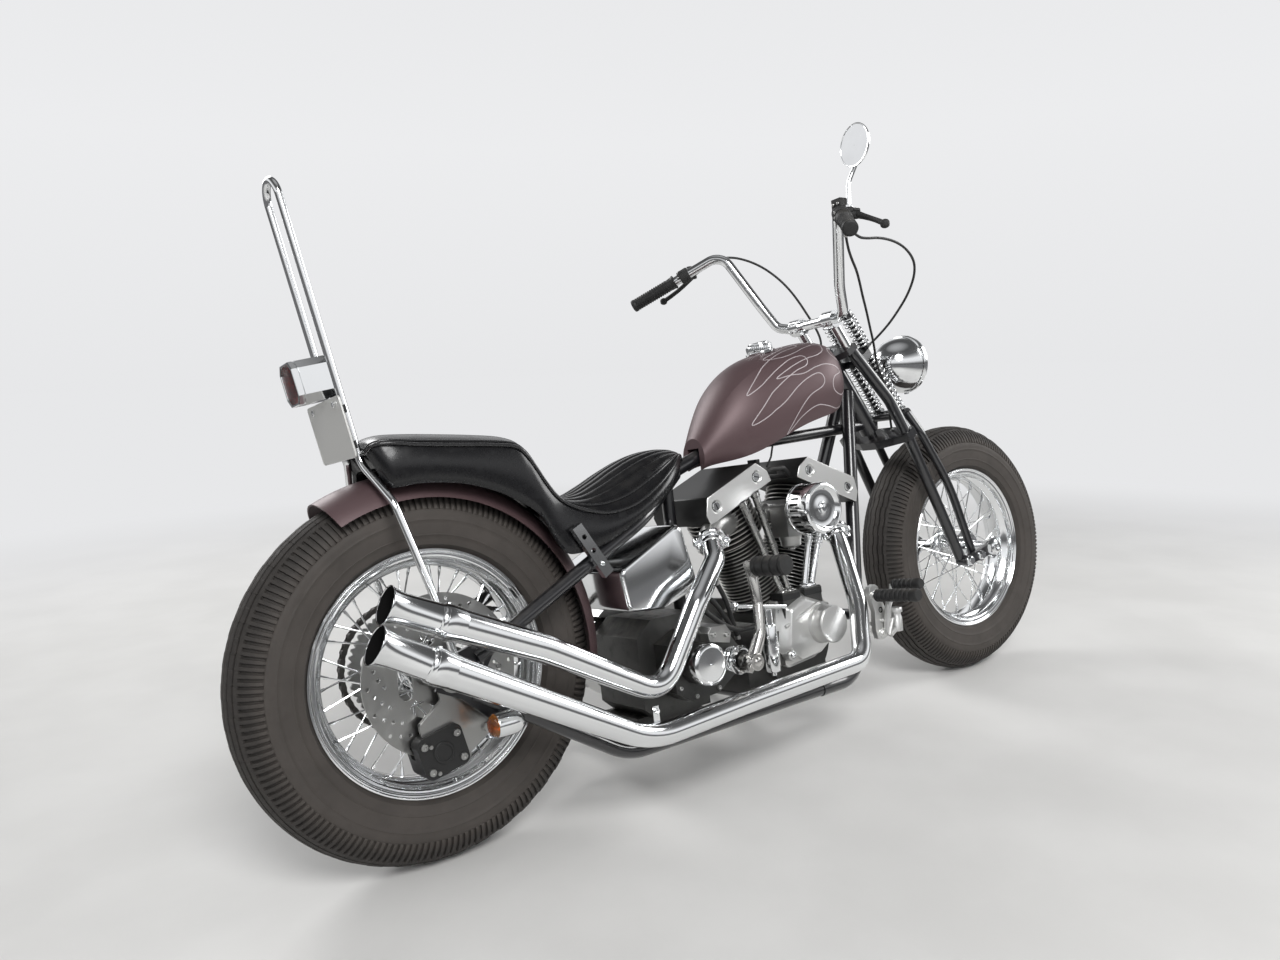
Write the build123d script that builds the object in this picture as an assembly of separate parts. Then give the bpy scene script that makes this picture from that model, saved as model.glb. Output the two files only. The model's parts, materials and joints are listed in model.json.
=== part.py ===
from build123d import *
import math
import os

# Chopper motorcycle, millimetres. Everything is drawn upright and straight ahead in the bike's own
# frame: +X forward, +Y to the rider's left, +Z up, origin on the ground under the rear axle. The
# last step turns the fork to its parked angle, leans the machine onto its side stand and moves the
# origin to the middle of its footprint.

# Wheels and geometry of the bike
WHEELBASE = 1594.3
TYRE_RADIUS = 340.0
TYRE_CROWN = 64.0
RIM_RADIUS = 219.5
RIM_HALF = 48.0
RIM_WALL = 3.5
RIM_WELL_DEPTH = 27.0
RAKE = 33.0
AXLE_LEAD = 59.8
STEER = -3.04
LEAN = 9.12
SPOKES = 40
SPOKE_WIDTH = 3.4
HUB_FLANGE = 46.0
HUB_FLANGE_Y = 38.0
HUB_FLANGE_WALL = 5.0
HUB_END = 26.0
AXLE_RADIUS = 10.0
AXLE_BORE = 6.0
RUNNING_FIT = 0.05
SEAT_GAP = 0.3

# Frame
TUBE = 16.0
NECK_RADIUS = 25.0
NECK_BORE = 19.0
NECK_LOW = 455.0
NECK_HIGH = 678.0
BACKBONE_REAR = (604.0, 0.0, 636.0)
BACKBONE_FRONT_S = 645.0
LOWER_BONE_Z = 680.0
RAIL_Y = 138.0
RAIL_Z = 118.0
RAIL_FRONT_X = 992.0
RAIL_FRONT_RUN = 132.0
RAIL_SPLIT_X = RAIL_FRONT_X - RAIL_FRONT_RUN
RAIL_REAR_X = 330.0
CROSS_TUBE = 12.0
ENGINE_CROSS_X = 752.0
GEARBOX_CROSS_X = 420.0
DOWNTUBE_CROSS = 0.80
FRONT_CROSS_X = 925.0
AXLE_PLATE_Y = 128.0
AXLE_PLATE_WALL = 8.0
STAY_Y = 108.0
STAY_BEND_X = 452.0
STAY_REAR_X = 46.0
STAY_SLOPE = 0.477
STAY_TOP_Y = 27.0
SEAT_POST_X = 600.0

# Engine
CRANK = (870.0, 226.0)
CRANKCASE_RADIUS = 106.0
CRANKCASE_HALF = 74.0
VEE_HALF = 22.5
VEE = (VEE_HALF, -VEE_HALF)
BARREL_BASE = 108.0
BARREL_TOP = 264.0
BARREL_CORE = 50.0
BARREL_FIN = 66.0
BARREL_FINS = 9
HEAD_TOP = 358.0
HEAD_CORE = 62.0
HEAD_FIN = 80.0
HEAD_FINS = 4
ROCKER_LENGTH = 208.0
ROCKER_HEIGHT = 58.0
ROCKER_HALF = 96.0
ROCKER_BOLT_X = 68.0
ROCKER_BOLT = 13.0
ROCKER_POCKET = 5.0
PUSHROD_Y = -92.0
PUSHROD_RADIUS = 9.0
LIFTER_TOP = 116.0
PRIMARY_Y = 104.0
PRIMARY_DEPTH = 66.0
CLUTCH = (525.0, 262.0)
CLUTCH_COVER = 112.0
ALTERNATOR_COVER = 86.0

# Drive
CHAIN_PITCH = 15.875
CHAIN_Y = 91.0
CHAIN_HALF = 8.0
SPROCKET_RADIUS = 121.0
DRIVE_SPROCKET_RADIUS = 56.0
CHAIN_DEPTH = 6.5
DISC_RADIUS = 142.0
DISC_Y = -80.0
DISC_WALL = 5.0
DISC_HOLE = 4.0
DISC_HOLE_ROWS = (106.0, 126.0)
MOVING_GAP = 7.0

# Bodywork
FENDER_CROWN = 360.0
FENDER_LIP = 310.0
FENDER_HALF = 80.0
FENDER_WALL = 3.0
FENDER_REAR = 117.0
FENDER_FRONT = -14.0
TUNNEL_HALF = 20.0
TANK_REAR_GAP = 86.0
TANK_NECK_GAP = 53.0
TANK_PADS = (0.21, 0.74)
OIL_TANK_HALF = 122.0
SISSY_TOP = 1218.0
SISSY_RADIUS = 7.0
PLATE_BACK = (-0.985, 0.0, -0.174)

# Fork, in its own frame: n ahead of the steering axis, y left, s along the axis
CROWN_S = 425.0
CROWN_WALL = 22.0
TOP_CLAMP_S = 684.0
TOP_CLAMP_WALL = 16.0
LEG_Y = 100.0
LEG_RADIUS = 14.0
SPRING_Y = 36.0
SPRING_N = 95.0
SPRING_RADIUS = 19.0
SPRING_ROD = 8.0
YOKE_S = 440.0
BRIDGE_S = 632.0
BRIDGE_WALL = 20.0
ROCKER_Y = 121.0
ROCKER_ARM_WALL = 11.0
RISER_Y = 59.0
RISER_N = 20.5
BAR_RADIUS = 12.7
BAR_CLAMP_S = 782.7
BAR_CLAMP_HALF = 17.0
BAR_END = (-141.5, 399.0, 1034.6)
BAR_SHOULDER = (54.9, 214.0, 1028.6)
HEADLAMP_N = 208.3
HEADLAMP_S = 524.8
MIRROR_HOLE = 5.0
MIRROR_HOLE_DEPTH = 16.0

# Side stand
STAND_PIVOT = (800.0, 168.0, 106.0)
STAND_FOOT = (890.0, 318.0)
STAND_RADIUS = 9.0
STAND_SWING = 112.0
STAND_BALL = 11.0
STAND_EYE = 14.0
STAND_PIN = 6.0
STAND_EYE_HALF = 10.0
STAND_FOLDED = (-0.985, 0.14, 0.10)

# Where the steering axis meets the line square to it through the front axle
SIN_RAKE = math.sin(math.radians(RAKE))
COS_RAKE = math.cos(math.radians(RAKE))
PIVOT = (WHEELBASE - AXLE_LEAD * COS_RAKE, 0.0, TYRE_RADIUS - AXLE_LEAD * SIN_RAKE)
FORK = Plane(origin=PIVOT, x_dir=(COS_RAKE, 0, SIN_RAKE), z_dir=(-SIN_RAKE, 0, COS_RAKE))
REAR_AXLE = (0.0, 0.0, TYRE_RADIUS)
FRONT_AXLE = (WHEELBASE, 0.0, TYRE_RADIUS)
STEERED = FORK.location * Rot(0, 0, STEER) * FORK.location.inverse()
SIDES = (1, -1)


def on_fork(n, y, s):
    """Bike-frame point of a fork-frame point."""
    return tuple(FORK.from_local_coords(Vector(n, y, s)))


def rod(start, end, radius, bore=0.0):
    """Round bar or tube between two points."""
    start, end = Vector(*start), Vector(*end)
    run = end - start
    section = Circle(radius)
    if bore:
        section -= Circle(bore)
    return extrude(Plane(origin=start, z_dir=run) * section, amount=run.length)


def bent(points, radii, radius, bore=0.0):
    """Round bar or tube along straight runs joined by tangent arcs, one radius for each corner."""
    path = FilletPolyline(*points, radius=radii)
    section = Circle(radius)
    if bore:
        section -= Circle(bore)
    start = Plane(origin=path @ 0, z_dir=path % 0)
    return sweep(start * section, path=path)


def block(low, high):
    """Box between two corners."""
    size = [b - a for a, b in zip(low, high)]
    centre = [(a + b) / 2 for a, b in zip(low, high)]
    return Pos(*centre) * Box(*size)


def slab(outline, y_low, y_high):
    """Plate whose outline lies in the bike's side view, from y_low to y_high."""
    face = make_face(Polyline(*outline, close=True))
    return extrude(Plane(origin=(0, y_low, 0), x_dir=(1, 0, 0), z_dir=(0, -1, 0)) * face,
                   amount=-(y_high - y_low))


def turned(profile, centre=(0, 0, 0)):
    """Ring about an axis along Y from (radius, y) corners."""
    face = make_face(Polyline(*profile, close=True))
    return Pos(*centre) * revolve(face, axis=Axis.Y)


def disc(centre, radius, y_low, y_high, bore=0.0):
    """Round plate across the bike."""
    x, z = centre
    return rod((x, y_low, z), (x, y_high, z), radius, bore)


def along(axis_angle, distance, across=0.0):
    """Side-view point at a distance up a cylinder's axis, and across it towards the front."""
    a = math.radians(axis_angle)
    x = CRANK[0] + distance * math.sin(a) + across * math.cos(a)
    z = CRANK[1] + distance * math.cos(a) - across * math.sin(a)
    return x, z


# Wheels

def tyre(centre):
    ring = TYRE_RADIUS - TYRE_CROWN
    bead, seat = RIM_HALF - 6.0, RIM_RADIUS - 13.0
    line = Polyline((ring, -TYRE_CROWN), (RIM_RADIUS + 8, -TYRE_CROWN + 7), (RIM_RADIUS, -bead),
                    (seat, -bead), (seat, bead), (RIM_RADIUS, bead), (RIM_RADIUS + 8, TYRE_CROWN - 7),
                    (ring, TYRE_CROWN))
    crown = ThreePointArc((ring, TYRE_CROWN), (TYRE_RADIUS, 0), (ring, -TYRE_CROWN))
    return Pos(*centre) * revolve(make_face([*line.edges(), crown]), axis=Axis.Y)


def rim(centre):
    seat = RIM_RADIUS - 13.5
    well = RIM_RADIUS - RIM_WELL_DEPTH
    half = [(RIM_RADIUS, RIM_HALF), (RIM_RADIUS, RIM_HALF - 4), (seat, RIM_HALF - 5.5),
            (seat - 1.5, 28), (well, 17)]
    inner = [(well - RIM_WALL, 19), (seat - 1.5 - RIM_WALL, 30), (seat - RIM_WALL, RIM_HALF - 3.5),
             (RIM_RADIUS - RIM_WALL, RIM_HALF)]
    outer_line = half + [(r, -y) for r, y in reversed(half)]
    inner_line = [(r, -y) for r, y in reversed(inner)] + inner
    return turned(outer_line + inner_line, centre)


def spokes(centre):
    """Crossed spokes, every other one outside its flange."""
    rim_inner = RIM_RADIUS - RIM_WELL_DEPTH - RIM_WALL - SEAT_GAP
    flange_out = HUB_FLANGE_Y + HUB_FLANGE_WALL
    made = []
    for i in range(SPOKES):
        side = SIDES[i % 2]
        outside = (i // 2) % 2
        lean = 62.0 if outside else -62.0
        rim_angle = 360.0 / SPOKES * i
        hub_angle = math.radians(rim_angle + lean)
        rim_at = math.radians(rim_angle)
        offset = SPOKE_WIDTH / 2 + SEAT_GAP
        y_hub = flange_out + offset if outside else HUB_FLANGE_Y - offset
        hole = HUB_FLANGE - 4
        start = Vector(hole * math.cos(hub_angle), side * y_hub, hole * math.sin(hub_angle))
        end = Vector(rim_inner * math.cos(rim_at), side * 9, rim_inner * math.sin(rim_at))
        bar = Plane(origin=start, x_dir=(0, 1, 0), z_dir=end - start) * Rectangle(SPOKE_WIDTH, SPOKE_WIDTH)
        made.append(Pos(*centre) * extrude(bar, amount=(end - start).length - SPOKE_WIDTH / 4))
    return made


def hub(centre, left, right):
    """Barrel with two spoke flanges, bored for its axle; ends at y = left and y = right."""
    bore = AXLE_RADIUS + RUNNING_FIT
    out = HUB_FLANGE_Y + HUB_FLANGE_WALL
    profile = [(bore, right), (HUB_END, right), (HUB_END, -out), (HUB_FLANGE, -out),
               (HUB_FLANGE, -HUB_FLANGE_Y), (30, -HUB_FLANGE_Y + 5), (30, HUB_FLANGE_Y - 5),
               (HUB_FLANGE, HUB_FLANGE_Y), (HUB_FLANGE, out), (HUB_END, out), (HUB_END, left), (bore, left)]
    return turned(profile, centre)


def brake_disc():
    """Disc with six windows and a swirl of drilled holes."""
    low, high = DISC_Y - DISC_WALL / 2, DISC_Y + DISC_WALL / 2
    x, _, z = REAR_AXLE
    plate = disc((x, z), DISC_RADIUS, low, high, bore=HUB_END + SEAT_GAP)
    windows = Sketch() + [Rot(0, 0, 60 * i) * Pos(66, 0) * SlotCenterToCenter(38, 26, rotation=90)
                          for i in range(6)]
    drilled = [Rot(0, 0, 30 * i + 8 * row) * Pos(radius, 0) * Circle(DISC_HOLE)
               for i in range(12) for row, radius in enumerate(DISC_HOLE_ROWS)]
    face = Plane(origin=(x, low - 1, z), x_dir=(1, 0, 0), z_dir=(0, 1, 0))
    return plate - extrude(face * (windows + drilled), amount=DISC_WALL + 2)


def rear_sprocket():
    """Toothed wheel just inside the chain loop."""
    teeth = 48
    root, tip = SPROCKET_RADIUS - 18.5, SPROCKET_RADIUS - CHAIN_DEPTH - MOVING_GAP + 1.0
    outline = []
    for i in range(teeth):
        for part, radius in ((0.0, root), (0.35, tip), (0.65, tip)):
            a = 2 * math.pi * (i + part) / teeth
            outline.append((radius * math.cos(a), TYRE_RADIUS + radius * math.sin(a)))
    plate = slab(outline, CHAIN_Y - 3, CHAIN_Y + 3)
    plate -= disc((0, TYRE_RADIUS), HUB_END + SEAT_GAP, CHAIN_Y - 4, CHAIN_Y + 4)
    for i in range(5):
        a = math.radians(72 * i + 20)
        plate -= disc((70 * math.cos(a), TYRE_RADIUS + 70 * math.sin(a)), 17, CHAIN_Y - 4, CHAIN_Y + 4)
    return plate


# Chain

def chain_line(offset):
    """Points a third of a pitch apart round both sprockets, as (point, outward direction)."""
    dx, dz = CLUTCH[0], CLUTCH[1] - TYRE_RADIUS
    reach = math.hypot(dx, dz)
    tilt = math.atan2(dz, dx)
    spread = math.acos((SPROCKET_RADIUS - DRIVE_SPROCKET_RADIUS) / reach)
    up, down = tilt + spread, tilt - spread
    run = math.sqrt(reach ** 2 - (SPROCKET_RADIUS - DRIVE_SPROCKET_RADIUS) ** 2)
    small_arc = DRIVE_SPROCKET_RADIUS * 2 * spread
    big_arc = SPROCKET_RADIUS * (2 * math.pi - 2 * spread)
    total = 2 * run + small_arc + big_arc
    links = round(total / CHAIN_PITCH)
    stations = []
    for i in range(3 * links):
        d = total * i / (3 * links)
        if d < run:
            out = up
            base = (SPROCKET_RADIUS * math.cos(up) + d * math.sin(up),
                    TYRE_RADIUS + SPROCKET_RADIUS * math.sin(up) - d * math.cos(up))
        elif d < run + small_arc:
            out = up - (d - run) / DRIVE_SPROCKET_RADIUS
            base = (dx + DRIVE_SPROCKET_RADIUS * math.cos(out),
                    CLUTCH[1] + DRIVE_SPROCKET_RADIUS * math.sin(out))
        elif d < 2 * run + small_arc:
            out = down
            e = d - run - small_arc
            base = (dx + DRIVE_SPROCKET_RADIUS * math.cos(down) + e * math.sin(down),
                    CLUTCH[1] + DRIVE_SPROCKET_RADIUS * math.sin(down) - e * math.cos(down))
        else:
            out = down - (d - 2 * run - small_arc) / SPROCKET_RADIUS
            base = (SPROCKET_RADIUS * math.cos(out), TYRE_RADIUS + SPROCKET_RADIUS * math.sin(out))
        depth = offset if i % 3 else offset - math.copysign(1.8, offset)
        stations.append((base[0] + depth * math.cos(out), base[1] + depth * math.sin(out)))
    return stations


def drive_chain():
    """Loop of link plates, waisted between the pins."""
    outer = slab(chain_line(CHAIN_DEPTH), CHAIN_Y - CHAIN_HALF, CHAIN_Y + CHAIN_HALF)
    inner = slab(chain_line(-CHAIN_DEPTH), CHAIN_Y - CHAIN_HALF - 1, CHAIN_Y + CHAIN_HALF + 1)
    return outer - inner


# Frame

def neck_solid():
    return rod(on_fork(0, 0, NECK_LOW), on_fork(0, 0, NECK_HIGH), NECK_RADIUS)


def bone_slope():
    front = on_fork(-5, 0, BACKBONE_FRONT_S)
    return (front[2] - BACKBONE_REAR[2]) / (front[0] - BACKBONE_REAR[0])


def bone_z(x):
    """Height of the backbone's centre line."""
    return BACKBONE_REAR[2] + bone_slope() * (x - BACKBONE_REAR[0])


def frame_backbone():
    upper = rod(BACKBONE_REAR, on_fork(-5, 0, BACKBONE_FRONT_S), TUBE)
    join_x = BACKBONE_REAR[0] + (LOWER_BONE_Z - BACKBONE_REAR[2]) / bone_slope()
    neck_x = PIVOT[0] - (LOWER_BONE_Z + 26 - PIVOT[2]) * SIN_RAKE / COS_RAKE
    lower = rod((join_x, 0, LOWER_BONE_Z), (neck_x, 0, LOWER_BONE_Z + 26), TUBE - 2)
    bore = rod(on_fork(0, 0, NECK_LOW - 30), on_fork(0, 0, NECK_HIGH + 30), NECK_BORE)
    below = rod(on_fork(0, 0, NECK_LOW - 60), on_fork(0, 0, NECK_LOW), 60)
    return upper + lower + neck_solid() - bore - below


def downtube_path(side):
    top = on_fork(-14, side * 14, 588)
    return [top, (RAIL_FRONT_X, side * RAIL_Y, RAIL_Z), (RAIL_SPLIT_X, side * RAIL_Y, RAIL_Z)]


def downtube_point(side, share):
    """Point of a downtube's centre line, by its share of the way down to the rail."""
    top, foot = downtube_path(side)[:2]
    return [a + share * (b - a) for a, b in zip(top, foot)]


def frame_downtubes():
    tubes = [bent(downtube_path(side), [0.68 * RAIL_FRONT_RUN], TUBE) for side in SIDES]
    x, y, z = downtube_point(1, DOWNTUBE_CROSS)
    cross = rod((x, -y, z), (x, y, z), TUBE - 3)
    low_cross = rod((FRONT_CROSS_X, -RAIL_Y, RAIL_Z), (FRONT_CROSS_X, RAIL_Y, RAIL_Z), CROSS_TUBE)
    made = tubes[0] + tubes[1] + cross + low_cross
    return made - neck_solid() - frame_backbone()


def lower_rail(side):
    path = [(RAIL_SPLIT_X, side * RAIL_Y, RAIL_Z), (RAIL_REAR_X, side * RAIL_Y, RAIL_Z),
            (36, side * AXLE_PLATE_Y, TYRE_RADIUS - 34)]
    return bent(path, [130.0], TUBE - 2)


def frame_lower_rails():
    """Rails from the downtubes back to the axle plates, which their slotted ends grip."""
    return [lower_rail(-1) - axle_plate(-1), lower_rail(1) - axle_plate(1) + stand_bracket()]


def cross_tube(x):
    return rod((x, -RAIL_Y, RAIL_Z), (x, RAIL_Y, RAIL_Z), CROSS_TUBE)


def frame_cross_tubes():
    """Tubes between the rails that carry the gearbox, the seat post and the engine."""
    rails = lower_rail(1) + lower_rail(-1)
    return [cross_tube(x) - rails for x in (GEARBOX_CROSS_X, SEAT_POST_X, ENGINE_CROSS_X)]


def axle_plate(side):
    outline = [(-34, -18), (-20, 30), (30, 44), (78, 56), (84, 32), (56, -10), (98, -78), (72, -100),
               (10, -40)]
    outline = [(x, TYRE_RADIUS + z) for x, z in outline]
    inner, outer = AXLE_PLATE_Y - AXLE_PLATE_WALL / 2, AXLE_PLATE_Y + AXLE_PLATE_WALL / 2
    low, high = sorted((side * inner, side * outer))
    made = slab(outline, low, high)
    return made - disc((0, TYRE_RADIUS), AXLE_RADIUS + RUNNING_FIT, low - 1, high + 1)


def stay_z(x):
    """Height of the upper stays' centre line."""
    return TYRE_RADIUS + STAY_SLOPE * x


def stay_half(x):
    """How far out the upper stays run, ahead of their bend or behind it."""
    if x > STAY_BEND_X:
        return STAY_Y + (STAY_TOP_Y - STAY_Y) * (x - STAY_BEND_X) / (BACKBONE_REAR[0] + 4 - STAY_BEND_X)
    return STAY_Y + (AXLE_PLATE_Y - STAY_Y) * (STAY_BEND_X - x) / (STAY_BEND_X - STAY_REAR_X)


def upper_stay(side, radius):
    front_x = BACKBONE_REAR[0] + 4
    path = [(front_x, side * STAY_TOP_Y, stay_z(front_x) + 6),
            (STAY_BEND_X, side * STAY_Y, stay_z(STAY_BEND_X)),
            (STAY_REAR_X, side * AXLE_PLATE_Y, stay_z(STAY_REAR_X))]
    return bent(path, [220.0], radius)


def stay_tie(radius):
    """Tube between the upper stays under the seat."""
    x = STAY_BEND_X - 26
    return rod((x, -STAY_Y, stay_z(x)), (x, STAY_Y, stay_z(x)), radius)


def frame_upper_stays():
    """Two stays down to the axle plates, the seat post and the tube between them."""
    post = rod((SEAT_POST_X, 0, RAIL_Z), (SEAT_POST_X + 2, 0, BACKBONE_REAR[2]), TUBE - 2)
    made = upper_stay(1, TUBE - 2) + upper_stay(-1, TUBE - 2) + post + stay_tie(TUBE - 6)
    return made - frame_backbone() - axle_plate(1) - axle_plate(-1) - cross_tube(SEAT_POST_X)


# Engine

def finned(axis_angle, base, top, core, fin_radius, fins):
    """Round finned column up a cylinder's axis."""
    pitch = (top - base) / fins
    profile = [(0, base), (core, base)]
    for i in range(fins):
        low = base + pitch * (i + 0.42)
        profile += [(core, low), (fin_radius, low + pitch * 0.12), (fin_radius, low + pitch * 0.42),
                    (core, low + pitch * 0.54)]
    profile += [(core, top), (0, top)]
    face = make_face(Polyline(*profile, close=True))
    column = revolve(Plane.XZ * face, axis=Axis.Z)
    return Pos(CRANK[0], 0, CRANK[1]) * Rot(0, axis_angle, 0) * column


def lifter_blocks():
    """Two blocks on the case that the pushrod tubes stand on."""
    x, z = CRANK
    low_y, high_y = PUSHROD_Y - 16, -BARREL_FIN - 2
    return block((x - 62, low_y, z + 60), (x - 8, high_y, z + LIFTER_TOP)) + \
        block((x + 8, low_y, z + 60), (x + 62, high_y, z + LIFTER_TOP))


def crankcase():
    """Round case halves, cylinder decks on the vee and the mount feet."""
    x, z = CRANK
    case = disc(CRANK, CRANKCASE_RADIUS, -CRANKCASE_HALF, CRANKCASE_HALF)
    feet = block((x - 150, -62, RAIL_Z + CROSS_TUBE + SEAT_GAP), (x + 96, 62, z - 40))
    deck = None
    for angle in VEE:
        near, far = sorted((x, x + math.copysign(150.0, angle)))
        one = Pos(x, 0, z) * Rot(0, angle, 0) * block((-66, -62, 20), (66, 62, BARREL_BASE))
        one = one & block((near, -100, z), (far, 100, z + 200))
        deck = one if deck is None else deck + one
    pump = block((x - 118, -96, z - 44), (x - 66, -60, z + 34))
    return case + feet + deck + lifter_blocks() + pump


def cam_cover():
    """Cone-shaped cover on the right case with a round points cover on its nose."""
    outline = [(800, 322), (778, 214), (818, 170), (905, 178), (952, 206), (982, 268), (950, 312), (862, 346)]
    face = make_face(Polyline(*outline, close=True))
    face = fillet(face.vertices(), 14)
    plane = Plane(origin=(0, -CRANKCASE_HALF - 8, 0), x_dir=(1, 0, 0), z_dir=(0, -1, 0))
    foot = extrude(plane * face, amount=16)
    cone = extrude(Plane(origin=(0, -CRANKCASE_HALF - 24, 0), x_dir=(1, 0, 0), z_dir=(0, -1, 0)) * face,
                   amount=30, taper=32)
    nose = disc((912, 258), 42, -158, -90)
    made = foot + cone + nose
    return made - crankcase()


def barrel(angle):
    """Finned cylinder, its fins cut back along the middle of the vee."""
    column = finned(angle, BARREL_BASE, BARREL_TOP, BARREL_CORE, BARREL_FIN, BARREL_FINS)
    side = math.copysign(1.0, angle)
    near, far = sorted((CRANK[0] + side * 1.0, CRANK[0] - side * 120.0))
    return column - block((near, -120, CRANK[1]), (far, 120, CRANK[1] + 340))


def cylinder_head(angle):
    return finned(angle, BARREL_TOP, HEAD_TOP, HEAD_CORE, HEAD_FIN, HEAD_FINS)


def rocker_box(angle):
    """Polished cover with sloped ends and a shaft bolt sunk in each end of both faces."""
    half = ROCKER_LENGTH / 2
    outline = [(-half, HEAD_TOP), (half, HEAD_TOP), (half, HEAD_TOP + ROCKER_HEIGHT * 0.45),
               (half - 22, HEAD_TOP + ROCKER_HEIGHT), (-half + 22, HEAD_TOP + ROCKER_HEIGHT),
               (-half, HEAD_TOP + ROCKER_HEIGHT * 0.45)]
    face = make_face(Polyline(*outline, close=True))
    box = extrude(Plane(origin=(0, ROCKER_HALF, 0), x_dir=(1, 0, 0), z_dir=(0, -1, 0)) * face,
                  amount=2 * ROCKER_HALF)
    for side in SIDES:
        for x in (-ROCKER_BOLT_X, ROCKER_BOLT_X):
            face_y = side * ROCKER_HALF
            z = HEAD_TOP + ROCKER_HEIGHT * 0.5
            box -= rod((x, face_y + side, z), (x, face_y - side * ROCKER_POCKET, z), ROCKER_BOLT)
            box += rod((x, face_y - side * ROCKER_POCKET, z), (x, face_y - side, z), ROCKER_BOLT - 4)
    return Pos(CRANK[0], 0, CRANK[1]) * Rot(0, angle, 0) * box


PUSHRODS = [
    # foot x, distance up the axis and distance across at the rocker box, axis angle
    (-46, 2, -VEE_HALF),
    (-24, 46, -VEE_HALF),
    (24, -46, VEE_HALF),
    (46, -2, VEE_HALF),
]


def pushrod_tubes():
    made = []
    for foot, across, angle in PUSHRODS:
        top_x, top_z = along(angle, HEAD_TOP - SEAT_GAP, across)
        low = (CRANK[0] + foot, PUSHROD_Y, CRANK[1] + LIFTER_TOP - PUSHROD_RADIUS)
        high = (top_x, PUSHROD_Y, top_z)
        made.append(rod(low, high, PUSHROD_RADIUS) - rocker_box(angle) - lifter_blocks())
    return made


def carburettor():
    """Manifold between the heads and the carburettor body on its right."""
    x, z = CRANK[0], CRANK[1] + 300
    body = disc((x, z), 24, -132, -20) + block((x - 30, -118, z - 60), (x + 30, -66, z + 8))
    manifold = rod((x - 62, -40, z - 8), (x, -40, z), 20) + rod((x, -40, z), (x + 62, -40, z - 8), 20)
    return body + manifold - cylinder_head(VEE[0]) - cylinder_head(VEE[1])


def air_cleaner():
    """Drum with a dished face."""
    x, z = CRANK[0] - 4, CRANK[1] + 300
    profile = [(0, -132), (30, -132), (57, -146), (57, -206), (50, -214), (24, -204), (10, -204),
               (8, -210), (0, -210)]
    return turned(profile, (x, 0, z))


def primary_cover():
    """Long oval cover over the alternator, belt and clutch."""
    front = disc(CRANK, ALTERNATOR_COVER, PRIMARY_Y, PRIMARY_Y + PRIMARY_DEPTH)
    rear = disc(CLUTCH, CLUTCH_COVER, PRIMARY_Y, PRIMARY_Y + PRIMARY_DEPTH)
    dx, dz = CRANK[0] - CLUTCH[0], CRANK[1] - CLUTCH[1]
    reach, tilt = math.hypot(dx, dz), math.atan2(dz, dx)
    lean = math.acos((CLUTCH_COVER - ALTERNATOR_COVER) / reach)
    corners = [(c[0] + r * math.cos(tilt + s * lean), c[1] + r * math.sin(tilt + s * lean))
               for c, r, s in ((CLUTCH, CLUTCH_COVER, 1), (CRANK, ALTERNATOR_COVER, 1),
                               (CRANK, ALTERNATOR_COVER, -1), (CLUTCH, CLUTCH_COVER, -1))]
    bridge = slab(corners, PRIMARY_Y, PRIMARY_Y + PRIMARY_DEPTH)
    cover = front + rear + bridge
    derby = disc(CLUTCH, 62, PRIMARY_Y + PRIMARY_DEPTH, PRIMARY_Y + PRIMARY_DEPTH + 8)
    inspection = disc((700, 246), 30, PRIMARY_Y + PRIMARY_DEPTH, PRIMARY_Y + PRIMARY_DEPTH + 6)
    back = disc(CRANK, 50, CRANKCASE_HALF, PRIMARY_Y)
    return cover + derby + inspection + back


def gearbox():
    """Case on the cross tubes, its mainshaft boss and the kicker cover on the right."""
    outline = [(412, 176), (412, 318), (450, 350), (560, 350), (580, 310), (580, 150), (440, 150)]
    case = slab(outline, -92, 66)
    plate = block((412, -60, RAIL_Z + CROSS_TUBE + SEAT_GAP), (580, 60, 152))
    boss = disc(CLUTCH, 34, 60, PRIMARY_Y)
    sprocket = disc(CLUTCH, DRIVE_SPROCKET_RADIUS - CHAIN_DEPTH - SEAT_GAP, CHAIN_Y - 3, CHAIN_Y + 3)
    side = [(452, 206), (452, 300), (505, 322), (600, 300), (628, 262), (612, 214), (560, 184), (490, 180)]
    cover = slab(side, -150, -92)
    release = disc((508, 256), 41, -196, -150)
    shaft = disc((596, 246), 17, -196, -150)
    return case + plate + boss + sprocket + cover + release + shaft


def kick_starter():
    """Folding-pedal kicker: splined hub, cranked arm and ribbed pedal."""
    x, z = 596, 246
    hub_boss = disc((x, z), 17, -238, -206)
    shaft = disc((x, z), 11, -206, -196)
    arm = bent([(x, -222, z), (x + 34, -222, z + 80), (x + 40, -206, z + 178)], [60.0], 10)
    pin = rod((x + 40, -206, z + 170), (x + 40, -206, z + 196), 12)
    pedal = rod((x + 40, -216, z + 184), (x + 40, -312, z + 190), 13)
    return hub_boss + shaft + arm + pin + pedal


# Exhausts

EXHAUST_FRONT = [(1048, -50, 486), (1026, -96, 424), (988, -164, 290), (932, -208, 176), (590, -212, 168),
                 (331, -215, 158), (-72, -215, 386)]
EXHAUST_REAR = [(640, -84, 500), (600, -140, 452), (512, -176, 383), (388, -190, 226), (150, -190, 362),
                (-36, -190, 448)]
EXHAUST_HEADER = 22.0
EXHAUST_SHOULDER = 29.0
EXHAUST_TIP = 27.0
EXHAUST_WALL = 3.0
EXHAUST_SLEEVE = 95.0
EXHAUST_DEPTH = 60.0


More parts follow.
